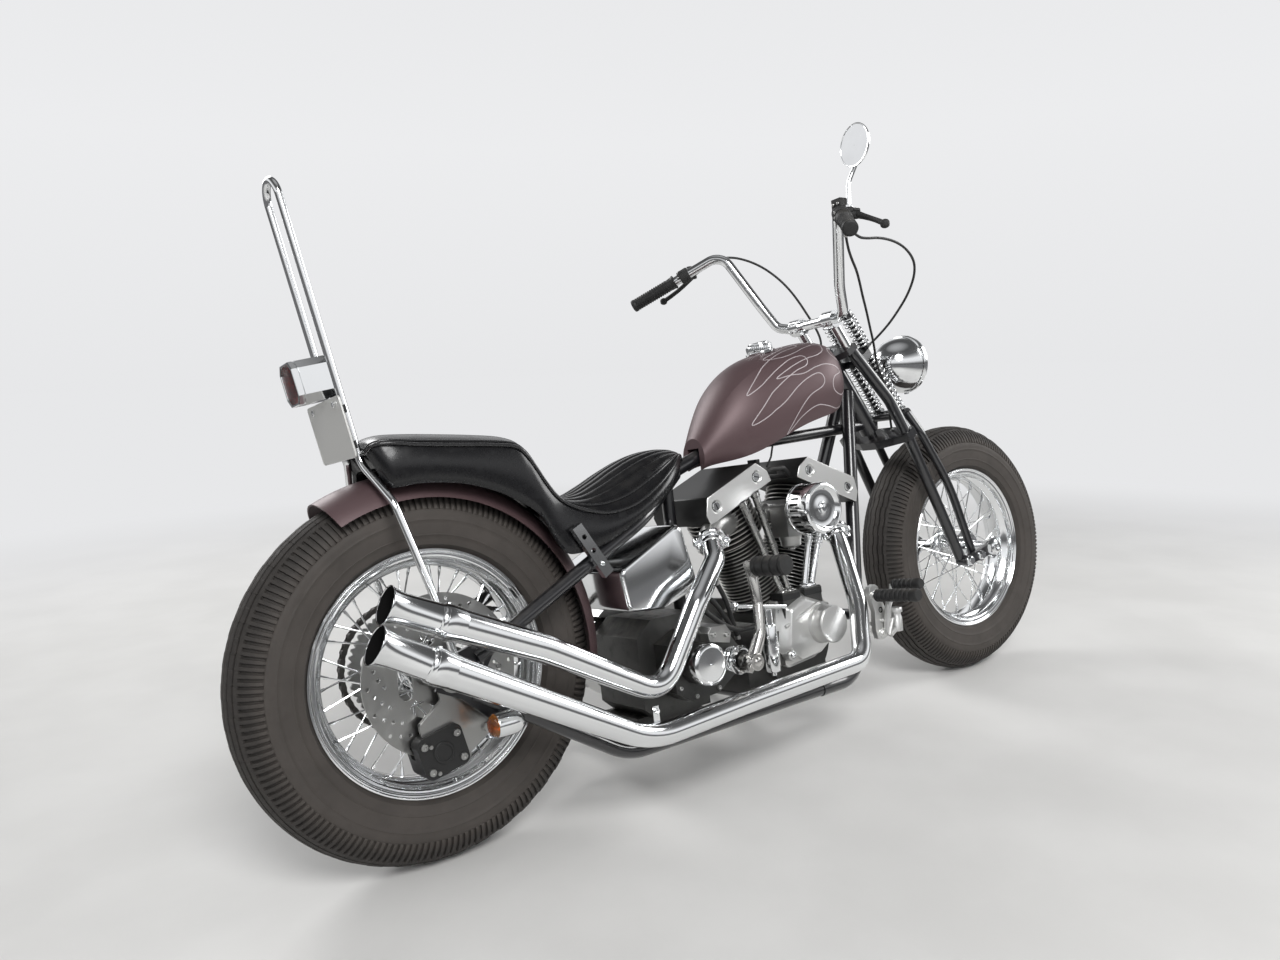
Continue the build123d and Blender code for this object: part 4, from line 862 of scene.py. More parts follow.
    def cap_screw(self, place: Matrix, radius: float, height: float, mark: int = 0) -> Form:
        """Add a round socket head with its hollow."""
        profile = [(radius, 0), (radius, height * 0.85), (radius * 0.88, height), (radius * 0.5, height),
                   (radius * 0.5, height * 0.45)]
        return self.lathe(profile, place, 18, mark, capped=True)

    def dome(self, place: Matrix, radius: float, height: float, mark: int = 0) -> Form:
        """Add a rounded nut."""
        steps = [math.radians(a) for a in (0, 25, 50, 75)]
        profile = [(radius, 0)] + [(radius * math.cos(a), height * (0.3 + 0.7 * math.sin(a))) for a in steps]
        return self.lathe(profile, place, 20, mark, capped=True)


def in_scene(name: str, data: bpy.types.ID) -> bpy.types.Object:
    """Return a new object with that data, linked to the scene."""
    made = bpy.data.objects.new(name, data)
    bpy.context.scene.collection.objects.link(made)
    return made


class Shop:
    """Turns forms into dressed pieces that ride on the frame."""

    def __init__(self, frame: dict) -> None:
        """Keep the frame's nodes and places."""
        self.nodes: dict[str, bpy.types.Object] = frame["nodes"]
        self.space = Space(frame["joints"])

    def piece(self, name: str, form: Form, *finishes: Finish, body: Body = Body.CHASSIS,
              place: Matrix | None = None, replaces: str = "", bevel: float = 0.0, sharp: float = 35.0,
              cut: Form | None = None) -> bpy.types.Object:
        """Make a piece.

        Args:
            name: Its name.
            form: Its points and faces.
            finishes: Its finishes, by the form's marks.
            body: The body it rides on.
            place: Takes the form into the row frame, from the upright bike's frame if left out.
            replaces: CAD node that it stands for.
            bevel: Width of its edges' bevel in millimetres.
            sharp: Angle in degrees above which an edge stays sharp.
            cut: What is cut out of it.

        Returns:
            The piece.
        """
        place = place or self.space.chassis
        mesh = form.mesh(name, place)
        for finish in finishes:
            mesh.materials.append(finish.material())
        mesh.polygons.foreach_set("material_index", form.marks)
        mesh.update()
        if cut is not None:
            mesh = self.hollowed(mesh, cut.mesh("tool", place))
        mesh.shade_smooth()
        mesh.set_sharp_from_angle(angle=math.radians(sharp))
        made = in_scene(name, mesh)
        if bevel:
            edge = made.modifiers.new("edges", "BEVEL")
            edge.width, edge.segments, edge.limit_method = bevel * MM, 2, "ANGLE"
            edge.angle_limit, edge.harden_normals = math.radians(sharp), False
        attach(made, body.value)
        if replaces:
            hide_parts(replaces)
        LOG.info("%s: %d faces on %s", name, len(form.faces), body.value)
        return made

    @staticmethod
    def hollowed(mesh: bpy.types.Mesh, tool: bpy.types.Mesh) -> bpy.types.Mesh:
        """Return a mesh with another one cut out of it."""
        block, cutter = in_scene("block", mesh), in_scene("cutter", tool)
        change = block.modifiers.new("cut", "BOOLEAN")
        change.object, change.operation, change.solver = cutter, "DIFFERENCE", "EXACT"
        made = bpy.data.meshes.new_from_object(block.evaluated_get(bpy.context.evaluated_depsgraph_get()))
        for one in (block, cutter):
            bpy.data.objects.remove(one)
        return made

    def dress(self) -> None:
        """Give every CAD node its finish."""
        for finish, names in NODE_FINISHES.items():
            for name in names.split():
                node = self.nodes[name]
                for slot in node.material_slots:
                    slot.material = finish.material()


class SubAssembly:
    """A part of the scene that holds its sizes as fields and makes its own pieces."""

    def build(self, shop: Shop) -> None:
        """Make its pieces.

        Args:
            shop: Makes the pieces and knows where the bike stands.
        """
        raise NotImplementedError


# Surroundings


@dataclass
class Studio(SubAssembly):
    """Pale floor, soft lights and the camera at the photograph's angle.

    Attributes:
        camera_from_axle: Camera's place from the middle of the rear wheel, in metres.
        yaw: Turn of the camera about the vertical, in degrees.
        pitch: Its tilt above the horizon.
        roll: Its turn about its own line of sight.
        lens: Focal length on a 36 mm sensor.
        floor_half: Half the floor's side, in metres.
        haze: Colour of the surround at the horizon.
        fade: Distances over which the floor turns into that colour.
        seen: Greys of the surround from straight down to straight up.
        mirrored: The same as the bike meets it, with the dark bands of a studio's walls and ceiling.
        lamps: Name, place, size and power of each soft light.
        aim: Where the lights look.
    """

    camera_from_axle: Numbers = (-0.616, -1.530, 0.5456)
    yaw: float = -36.093
    pitch: float = -7.445
    roll: float = 1.557
    lens: float = 25.605
    floor_half: float = 60.0
    haze: Color = (0.80, 0.804, 0.816)
    fade: tuple[float, float] = (1.8, 4.8)
    seen: Pairs = ((0.0, 0.62), (0.5, 0.80), (0.61, 0.84), (0.8, 0.78), (1.0, 0.70))
    mirrored: Pairs = (
        (0.0, 0.30), (0.485, 0.34), (0.505, 0.10), (0.535, 0.08), (0.565, 0.42), (0.60, 0.85), (0.69, 0.95),
        (0.75, 0.40), (0.82, 0.10), (0.93, 0.08), (1.0, 0.40))
    lamps: tuple[tuple[str, Point, float, float], ...] = (
        ("key_light", (-1.6, -3.4, 3.6), 2.2, 150.0),
        ("fill_light", (3.4, -1.5, 2.4), 2.0, 60.0),
        ("back_light", (-1.0, 3.6, 3.0), 2.2, 80.0))
    aim: Point = (0.0, 0.0, 0.5)

    def build(self, shop: Shop) -> None:
        """Set the floor, the surround, the lights and the camera."""
        self.floor()
        self.world()
        for lamp in self.lamps:
            self.lamp(*lamp)
        self.camera(shop.space.rear_axle)
        bpy.context.scene.view_settings.view_transform = "Standard"

    def floor(self) -> None:
        """Lay a pale concrete floor."""
        scale = Matrix.Diagonal((self.floor_half, self.floor_half, 1.0, 1.0))
        mesh = Form().prism([(-1, -1), (1, -1), (1, 1), (-1, 1)], -0.02, 0.0).mesh("floor", scale)
        graph = Graph(bpy.data.materials.new("pale_floor"))
        spots = graph.noise(420.0, 6.0).step(0.3, 0.7)
        color = graph.mix(spots, (0.66, 0.655, 0.64), (0.72, 0.715, 0.70))
        near = graph.node("ShaderNodeBsdfPrincipled", inputs={
            "Base Color": color, "Roughness": 0.62, "Normal": graph.bump(graph.noise(3.0, 3.0), 0.15)})
        glossy = graph.node("ShaderNodeLightPath", out="Is Glossy Ray")
        horizon = graph.mix(glossy, self.haze, (0.16, 0.16, 0.165))
        far = graph.node("ShaderNodeEmission", inputs={"Color": horizon})
        share = graph.vector("LENGTH", graph.here(), out="Value").step(*self.fade)
        graph.end(graph.node("ShaderNodeMixShader", inputs={0: share, 1: near, 2: far}))
        mesh.materials.append(graph.owner)
        in_scene("floor", mesh)

    def world(self) -> None:
        """Set a pale surround, with other greys for metal and glass than for the camera."""
        world = bpy.data.worlds.new("studio")
        bpy.context.scene.world = world
        graph = Graph(world)
        way = graph.node("ShaderNodeTexCoord", out="Generated")
        height = graph.node("ShaderNodeSeparateXYZ", inputs={0: way}, out="Z")
        rise = graph.node("ShaderNodeMapRange", inputs={"Value": height, "From Min": -1.0})
        greys = []
        for stops in (self.mirrored, self.seen):
            colors = [(at, (grey, grey * 1.005, grey * 1.02)) for at, grey in stops]
            greys.append(graph.node("ShaderNodeValToRGB", {"stops": colors}, {0: rise}))
        seen = graph.node("ShaderNodeLightPath", out="Is Camera Ray")
        back = graph.node("ShaderNodeBackground", inputs={"Color": graph.mix(seen, *greys)})
        graph.end(back, "ShaderNodeOutputWorld")

    def lamp(self, name: str, at: Point, size: float, power: float) -> None:
        """Hang one soft area light that looks at the bike.

        Args:
            name: Its name.
            at: Its place in metres.
            size: Width of its disc.
            power: Its watts.
        """
        data = bpy.data.lights.new(name, "AREA")
        data.shape, data.size, data.energy = "DISK", size, power
        made = in_scene(name, data)
        made.location = at
        made.rotation_euler = (Vector(self.aim) - Vector(at)).to_track_quat("-Z", "Y").to_euler()

    def camera(self, axle: Vector) -> None:
        """Place the camera from the rear axle.

        Args:
            axle: Middle of the rear wheel in the row frame.
        """
        turn = rotation(self.yaw, "Z") @ rotation(self.pitch, "X") @ rotation(self.roll, "Y") @ rotation(90,
                                                                                                         "X")
        data = bpy.data.cameras.new("camera")
        data.lens, data.sensor_width = self.lens, 36.0
        made = in_scene("camera", data)
        made.matrix_world = Matrix.Translation(axle + Vector(self.camera_from_axle)) @ turn
        bpy.context.scene.camera = made


# Wheels


@dataclass
class Tyre:
    """Tyre with a ribbed crown, cross-cut shoulders and smooth walls.

    Attributes:
        radius: Outer radius.
        section: Radius of its half-round section.
        lugs: How many blocks stand round each shoulder.
        groove: Depth of the grooves and slots.
        grooves: Angles of the crown's grooves from the middle, in degrees.
        shoulder: Angles between which the slots cut the shoulder.
        rings: Radii of the fine raised rings on the wall.
        rim_edge: Radius and height at which the wall meets the rim's flange.
        bead: Radius and height of the bead inside the rim.
        zigzag: How far the crown's grooves swing to each side.
        lug_cut: Shares of a block's pitch, and whether the slot is open there.
    """

    radius: float = 340.0
    section: float = 64.0
    lugs: int = 168
    groove: float = 4.6
    grooves: Numbers = (7.0, 19.0, 31.0)
    shoulder: tuple[float, float] = (41.0, 76.0)
    rings: Numbers = (271.0, 244.0)
    rim_edge: tuple[float, float] = (227.0, 57.0)
    bead: tuple[float, float] = (219.0, 42.5)
    zigzag: float = 1.1
    lug_cut: Pairs = ((0.0, 0.0), (0.50, 0.0), (0.58, 1.0), (0.92, 1.0))

    def stations(self) -> list[tuple[float, float, float, str]]:
        """Return half the section, as angle, radius, height and kind, from the crown to the bead."""
        made = [(0.0, "rib")]
        for angle in self.grooves:
            made += [(angle - 1.7, "edge"), (angle - 0.9, "groove"), (angle + 0.9, "groove"),
                     (angle + 1.7, "edge")]
        low, high = self.shoulder
        made.append((low - 1.5, "rib"))
        made += [(angle, "slot") for angle in (low, low + 9, low + 18, high - 9, high - 3)]
        made += [(high, "foot"), (high + 1.5, "line"), (high + 4, "wall"), (86, "wall"), (90, "wall")]
        middle = self.radius - self.section
        points = []
        for angle, kind in made:
            a = math.radians(angle)
            points.append((angle, middle + self.section * math.cos(a), self.section * math.sin(a), kind))
        return points + self.wall(middle)

    def wall(self, top: float) -> list[tuple[float, float, float, str]]:
        """Return the wall from its widest place down to the bead, with its rings.

        Args:
            top: Radius of the widest place.

        Returns:
            Angle, radius, height and kind of each station.
        """
        edge_r, edge_y = self.rim_edge
        made = []
        radii = [top - 12, 252, 236, edge_r + 2]
        for r in self.rings:
            radii += [r + 1.6, r + 0.5, r - 0.5, r - 1.6]
        for r in sorted(radii, reverse=True):
            t = (top - r) / (top - edge_r)
            y = self.section + (edge_y - self.section) * t * t
            raised = any(abs(r - ring_at) < 1.0 for ring_at in self.rings)
            made.append((90.0, r, y + (0.9 if raised else 0.0), "wall"))
        return made + [(90.0, edge_r, edge_y, "wall"), (90.0, *self.bead, "wall")]

    def form(self) -> Form:
        """Return the tyre about its axle, along z."""
        half = self.stations()
        section = [(a, r, -y, kind) for a, r, y, kind in reversed(half[1:])] + half
        rows = []
        for i in range(self.lugs):
            zig = self.zigzag if (i // 2) % 2 else -self.zigzag
            for share, cut in self.lug_cut:
                turn = 2 * math.pi * (i + share) / self.lugs
                slot = self.groove * cut
                depths = {"groove": self.groove, "slot": slot, "foot": slot if i % 2 else 0.6 * slot,
                          "line": 1.2}
                row = []
                for angle, r, y, kind in section:
                    depth = depths.get(kind, 0.0)
                    if kind in ("groove", "edge"):
                        y += zig
                    a = math.radians(angle)
                    out = math.copysign(math.sin(a), y) if y else 0.0
                    radius = r - depth * math.cos(a)
                    row.append((radius * math.cos(turn), radius * math.sin(turn), y - depth * out))
                rows.append(row)
        return Form().skin(rows, around=False, closed=True)

    def build(self, shop: Shop, name: str, place: Matrix, body: Body, centre: Vector) -> None:
        """Make the tyre in place of its CAD node.

        Args:
            shop: Makes the piece.
            name: Name of the CAD node.
            place: The wheel's place.
            body: The wheel's body.
            centre: Its middle in the row frame.
        """
        axis = (place.to_3x3() @ vec(0, 0, 1)).normalized()
        rubber = TyreRubber(name + "_rubber", (0.03, 0.03, 0.03), 0.72, slot="tyre", centre=tuple(centre),
                            axis=tuple(axis))
        shop.piece(name + "_treaded", self.form(), rubber, body=body, place=place, replaces=name, sharp=40)


@dataclass
class SpokedHub:
    """Chromed hub with crossed spokes, their nipples and the flange's rivets.

    Attributes:
        spokes: How many spokes.
        flange: Radius of the spoke flanges.
        flange_out: Distance of a flange's outer face from the middle.
        flange_wall: Thickness of a flange.
        rim_inner: Radius at which the spokes meet the rim.
        spread: Distance of the spokes' ends at the rim from its middle.
        lean: How far a spoke leans round the hub, in degrees.
        left: Left end of the barrel.
        right: Right end.
        bore: Radius of the bore.
        end_radius: Radius of the barrel's ends.
        wire: Radius of a spoke.
    """

    spokes: int = 40
    flange: float = 46.0
    flange_out: float = 43.0
    flange_wall: float = 5.0
    rim_inner: float = 188.6
    spread: float = 9.0
    lean: float = 62.0
    left: float = 62.0
    right: float = -62.0
    bore: float = 10.05
    end_radius: float = 26.0
    wire: float = 1.7

    def barrel(self, form: Form) -> None:
        """Add the turned barrel with its two flanges."""
        inner = self.flange_out - self.flange_wall
        half = [(30, inner - 9), (32, inner - 4), (38, inner), (self.flange - 1, inner),
                (self.flange, inner + 1), (self.flange, self.flange_out - 1),
                (self.flange - 1, self.flange_out), (self.end_radius + 5, self.flange_out),
                (self.end_radius, self.flange_out + 4)]
        left, right = [[*half, (self.end_radius, end - 1), (self.end_radius - 1, end), (self.bore, end)]
                       for end in (self.left, -self.right)]
        profile = [(r, -h) for r, h in reversed(right)] + [(24, -12), (24, 12)] + left
        form.lathe(profile, sides=56)
        form.lathe([(self.bore, self.left), (self.bore, self.right)], sides=32)

    def build(self, shop: Shop, name: str, place: Matrix, body: Body) -> None:
        """Make hub and spokes in place of their CAD node.

        Args:
            shop: Makes the piece.
            name: Which wheel it belongs to.
            place: The wheel's place.
            body: The wheel's body.
        """
        form = Form()
        self.barrel(form)
        for i in range(self.spokes):
            side, outside = SIDES[i % 2], (i // 2) % 2
            at_rim = 2 * math.pi * i / self.spokes
            at_hub = at_rim + math.radians(self.lean if outside else -self.lean)
            inner = self.flange_out - self.flange_wall - self.wire
            hub_y = side * (self.flange_out + self.wire if outside else inner)
            hub_radius = self.flange - 4
            # A lying wheel's y axis points down, so the angles are measured against it
            start = Vector((hub_radius * math.cos(at_hub), -hub_radius * math.sin(at_hub), hub_y))
            end = Vector((self.rim_inner * math.cos(at_rim), -self.rim_inner * math.sin(at_rim),
                          side * self.spread))
            way = (end - start).normalized()
            form.tube([start, end - way * 3], self.wire, 8)
            form.tube([end - way * 15, end - way * 3, end], [2.6, 3.1, 3.1], 8)
            inward = -math.copysign(1.0, hub_y) if outside else math.copysign(1.0, hub_y)
            form.tube([start + vec(0, 0, -inward * 1.6), start + vec(0, 0, inward * 6.5)], 2.1, 8)
        shop.piece(name + "_wheel_centre", form, CHROME, body=body, place=place,
                   replaces=name + "_hub_and_spokes")


@dataclass
class Rim:
    """Chromed rim with stepped flanks.

    Attributes:
        half: Half its section from the middle outward, first on the inside and then under the tyre.
    """

    half: Pairs = (
        (189, 0), (189, 17), (190, 19), (196, 24.5), (200.4, 29), (201.6, 31), (202.2, 38), (203, 42.6),
        (204.8, 43.4), (205.6, 45), (207.6, 45.4), (208.8, 44.2), (210.8, 44.4), (211.8, 46.4), (213.6, 46.9),
        (214.8, 46), (216.2, 46.4), (217.2, 48), (219.5, 48), (219.5, 44), (206, 42.5), (204.5, 28),
        (192.5, 17), (192.5, 0))

    def build(self, shop: Shop, name: str, place: Matrix, body: Body) -> None:
        """Spin the rim in place of its CAD node.

        Args:
            shop: Makes the piece.
            name: Which wheel it belongs to.
            place: The wheel's place.
            body: The wheel's body.
        """
        profile = [*self.half, *((r, -y) for r, y in reversed(self.half))]
        form = Form().lathe([*profile, profile[0]], sides=144)
        shop.piece(name + "_stepped_rim", form, CHROME, body=body, place=place, replaces=name + "_rim",
                   sharp=50)


@dataclass
class BrakeDisc:
    """Drilled brake disc with six windows.

    Attributes:
        radii: Its bore and its edge.
        faces: Where its faces lie along the axle.
        rows: Radii of the rows of holes.
        hole: Radius of a hole.
        windows: Number of windows, the radius that they lie at, half their length and their end radius.
    """

    radii: tuple[float, float] = (26.3, 142.0)
    faces: tuple[float, float] = (-82.5, -77.5)
    rows: Numbers = (103.0, 112.5, 122.0, 131.5)
    hole: float = 3.8
    windows: tuple[int, float, float, float] = (6, 66.0, 19.0, 13.0)

    def build(self, shop: Shop, place: Matrix) -> None:
        """Cut the disc in place of its CAD node.

        Args:
            shop: Makes the piece.
            place: The rear wheel's place.
        """
        (bore, edge), (low, high) = self.radii, self.faces
        plate = Form().lathe([(bore, low), (edge - 0.6, low), (edge, low + 0.6), (edge, high - 0.6),
                              (edge - 0.6, high), (bore, high), (bore, low)], sides=120)
        cut = Form()
        for row, radius in enumerate(self.rows):
            for x, y in ring(radius, 18, 7 * row):
                cut.lathe([(self.hole, low - 2), (self.hole, high + 2)], shift(x, y, 0), 14,
                          capped=True)
        count, out, half, end = self.windows
        outline = []
        for side in SIDES:
            for i in range(11):
                turn = math.pi * i / 10 * side
                outline.append((out + end * math.cos(turn) * side, side * (half + abs(end * math.sin(turn)))))
        for i in range(count):
            cut.prism(outline, low - 2, high + 2, Matrix.Rotation(2 * math.pi * i / count, 4, "Z"))
        shop.piece("drilled_disc", plate, STEEL, body=Body.REAR_WHEEL, place=place, replaces="brake_disc",
                   cut=cut)


@dataclass
class Wheels(SubAssembly):
    """Both wheels with their tyres, hubs and rims, and the disc of the rear one.

    Attributes:
        front_hub: Hub and spokes of the front wheel.
        rear_hub: The same of the rear wheel, with longer ends.
    """

    front_hub: SpokedHub = field(default_factory=SpokedHub)
    rear_hub: SpokedHub = field(default_factory=lambda: SpokedHub(left=94.0, right=-77.5))

    def build(self, shop: Shop) -> None:
        """Make each wheel's pieces."""
        space = shop.space
        rear, front = (space.rear_wheel, Body.REAR_WHEEL), (space.front_wheel, Body.FRONT_WHEEL)
        Tyre().build(shop, "rear_tyre", *rear, space.rear_axle)
        Tyre().build(shop, "front_tyre", *front, space.front_axle)
        self.front_hub.build(shop, "front", *front)
        self.rear_hub.build(shop, "rear", *rear)
        Rim().build(shop, "front", *front)
        Rim().build(shop, "rear", *rear)
        BrakeDisc().build(shop, space.rear_wheel)


# Fork


@dataclass
class ForkSprings(SubAssembly):
    """Chromed coil springs on the fork's two rods.

    Attributes:
        ahead: Distance of the rods ahead of the steering axis.
        apart: Half the distance between them.
        spans: Lower end, upper end and turns of the springs on each rod.
        radius: Radius of a coil's centre line.
        wire: Radius of its wire.
    """

    ahead: float = 95.0
    apart: float = 36.0
    spans: tuple[tuple[float, float, int], ...] = ((455.0, 631.7, 12), (652.3, 743.7, 7))
    radius: float = 15.6
    wire: float = 3.3

    def build(self, shop: Shop) -> None:
        """Wind the springs in place of their CAD node."""
        form = Form()
        for side in SIDES:
            for low, high, turns in self.spans:
                form.coil(shift(self.ahead, side * self.apart, 0), self.radius, self.wire, low, high,
                          turns)
        shop.piece("coil_springs", form, CHROME, body=Body.FORK, place=shop.space.fork,
                   replaces="fork_springs", sharp=60)


# Drive


@dataclass
class DriveChain(SubAssembly):
    """Roller chain round both sprockets.

    Attributes:
        pitch: Distance between pins.
        middle: How far left of the bike's middle it runs.
        rear: Centre and pitch radius of the rear sprocket.
        front: Centre and pitch radius of the drive sprocket.
        plate: Thickness of a link plate.
        inner_gap: Distance of the inner plates from the chain's middle.
        outer_gap: Distance of the outer plates.
    """

    pitch: float = 15.875
    middle: float = 91.0
    rear: Numbers = (0.0, Space.TYRE_RADIUS, 121.0)
    front: Numbers = (525.0, 262.0, 56.0)
    plate: float = 1.7
    inner_gap: float = 5.2
    outer_gap: float = 7.1

    def pins(self) -> list[tuple[float, float]]:
        """Return the pins' places in the side view, in order round the loop."""
        (xa, za, ra), (xb, zb, rb) = self.rear, self.front
        reach, tilt = math.hypot(xb - xa, zb - za), math.atan2(zb - za, xb - xa)
        spread = math.acos((ra - rb) / reach)
        run = math.sqrt(reach ** 2 - (ra - rb) ** 2)
        up, down = tilt + spread, tilt - spread
        total = 2 * run + rb * 2 * spread + ra * (2 * math.pi - 2 * spread)
        count = 2 * round(total / self.pitch / 2)
        made = []
        for i in range(count):
            d = total * i / count
            if d < run:
                made.append((xa + ra * math.cos(up) + d * math.sin(up),
                             za + ra * math.sin(up) - d * math.cos(up)))
            elif d < run + rb * 2 * spread:
                a = up - (d - run) / rb
                made.append((xb + rb * math.cos(a), zb + rb * math.sin(a)))
            elif d < 2 * run + rb * 2 * spread:
                e = d - run - rb * 2 * spread
                made.append((xb + rb * math.cos(down) - e * math.sin(down),
                             zb + rb * math.sin(down) + e * math.cos(down)))
            else:
                a = down - (d - 2 * run - rb * 2 * spread) / ra
                made.append((xa + ra * math.cos(a), za + ra * math.sin(a)))
        return made

    def link(self) -> list[tuple[float, float]]:
        """Return a link plate's waisted outline from pin to pin."""
        half = self.pitch / 2
        ends = []
        for sign in SIDES:
            for a in (-75, -40, 0, 40, 75):
                turn = math.radians(a)
                ends.append((sign * (half + 5.4 * math.cos(turn)), sign * 5.4 * math.sin(turn)))
            ends.append((0.0, sign * 3.9))
        return ends

    def build(self, shop: Shop) -> None:
        """Link the chain in place of its CAD node."""
        form = Form()
        pins = self.pins()
        outline = self.link()
        for i, (here, ahead) in enumerate(zip(pins, pins[1:] + pins[:1])):
            tilt = math.atan2(-(ahead[1] - here[1]), ahead[0] - here[0])
            gap = self.outer_gap if i % 2 else self.inner_gap
            middle = Matrix.Translation(((here[0] + ahead[0]) / 2, self.middle, (here[1] + ahead[1]) / 2))
            turned = middle @ LYING @ Matrix.Rotation(tilt, 4, "Z")
            for side in SIDES:
                low = side * gap - self.plate / 2
                form.prism(outline, low, low + self.plate, turned)
            pin = shift(here[0], self.middle, here[1]) @ LYING
            form.lathe([(5.0, -4.3), (5.0, 4.3)], pin, 12, capped=True)
            form.lathe([(2.4, -8.0), (2.4, 8.0)], pin, 10, capped=True)
        shop.piece("roller_chain", form, DARK_STEEL, replaces="drive_chain", sharp=40)


# Engine


RIGHT = (0.0, -1.0, 0.0)
SIDE_VIEW = rotation(90, "X")
CRANK = (870.0, 0.0, 226.0)
VEE_HALF = 22.5
HEAD_TOP = 358.0


def up_cylinder(angle: float) -> Matrix:
    """Return the place of a cylinder, its axis along z from the crank, leaning forward by an angle."""
    return Matrix.Translation(CRANK) @ rotation(angle, "Y")


@dataclass
class Cylinders(SubAssembly):
    """Finned barrels and heads of the vee twin, with their exhaust ports and flanges.

    Attributes:
        barrel: Foot, top, core radius, fin radius and number of fins of a barrel.
        head: The same of a head.
        parting: Half the gap between the two barrels' fins.
        bare_edge: How far in from their tips the fins are bare.
        ports: For each cylinder, the port's route from the head, its radii, and the way its flange faces.
    """

    barrel: tuple[float, float, float, float, int] = (108.0, 264.0, 50.0, 66.0, 18)
    head: tuple[float, float, float, float, int] = (264.0, 358.0, 62.0, 80.0, 9)
    parting: float = 1.0
    bare_edge: float = 3.2
    ports: tuple[tuple[tuple[Point, ...], Numbers, Point], ...] = (
        (((722, -42, 516), (690, -60, 517), (662, -74, 511), (640, -86, 498), (632, -96, 489)),
         (33.0, 29.0, 26.0, 25.0, 27.0), (-40, -56, -48)),
        (((1000, -34, 500), (1030, -56, 480), (1038, -72, 458)), (32.0, 27.0, 27.0), (-22, -46, -62)),
    )

    @staticmethod
    def fins(low: float, high: float, core: float, tip: float, count: int) -> list[tuple[float, float]]:
        """Return the turned profile of a finned stretch.

        Args:
            low: Its lower end.
            high: Its upper end.
            core: Radius between the fins.
            tip: Radius of the fins.
            count: Number of fins.

        Returns:
            Radius and height of each ring.
        """
        pitch = (high - low) / count
        fin = ((0, 0.0), (0.15, 0.08), (0.94, 0.17), (1, 0.22), (1, 0.34), (0.94, 0.39), (0.15, 0.48),
               (0, 0.56))
        profile = [(core, low)]
        for i in range(count):
            profile += [(core + (tip - core) * out, low + pitch * (i + 0.3 + up)) for out, up in fin]
        return [*profile, (core, high)]

    def build(self, shop: Shop) -> None:
        """Cast the barrels, the heads and the ports."""
        place = shop.space.chassis
        for name, angle, port in zip(("rear", "front"), (-VEE_HALF, VEE_HALF), self.ports):
            axis = up_cylinder(angle)
            foot = place @ Vector(CRANK)
            way = (place.to_3x3() @ axis.to_3x3() @ vec(0, 0, 1)).normalized()
            side = math.copysign(1.0, angle)
            for kind, sizes, sides, node in (("barrel", self.barrel, 72, "cylinders"),
                                             ("head", self.head, 80, "cylinder_heads")):
                form = Form().lathe(self.fins(*sizes), axis, sides, capped=True)
                for point in form.points if kind == "barrel" else ():
                    point.x = CRANK[0] + side * max(side * (point.x - CRANK[0]), self.parting)
                coat = FinEdges(f"{name}_{kind}_black", (0.014, 0.014, 0.014), 0.45, grain=1.3, relief=0.1,
                                dust=0.15, slot="engine_black", foot=tuple(foot), axis=tuple(way),
                                edge=(sizes[3] - self.bare_edge) * MM)
                shop.piece(f"{name}_{kind}", form, coat, replaces=node if name == "rear" else "", sharp=50)
            self.port(shop, name, *port)

    def port(self, shop: Shop, name: str, route: Sequence[Point], radii: Sequence[float], way: Point) -> None:
        """Add a head's exhaust port, with its flange, studs and nuts.

        Args:
            shop: Makes the pieces.
            name: Which cylinder it is on.
            route: The port's middle from the head outward.
            radii: Its radius at each of those points.
            way: Where its flange faces.
        """
        shop.piece(name + "_exhaust_port", Form().tube(route, list(radii), 28), CAST, sharp=60)
        flange = facing(route[-1], way)
        form = Form().lathe([(24, 0), (33, 0.6), (34, 2), (34, 8), (33, 9.4), (25, 10)], flange, 40)
        form.lathe([(24.6, 8), (26.5, 10), (26.5, 20), (25, 23), (22.4, 24)], flange, 36)
        for x in (-31.0, 31.0):
            ear = flange @ shift(x, 0, 0)
            form.lathe([(10, 0), (10, 9), (9, 10)], ear, 20, capped=True)
            form.bolt(ear @ shift(z=10), 6.6, 8)
            form.lathe([(3.6, 16), (3.6, 25), (3, 26)], ear, 12, capped=True)
        shop.piece(name + "_exhaust_flange", form, CHROME)


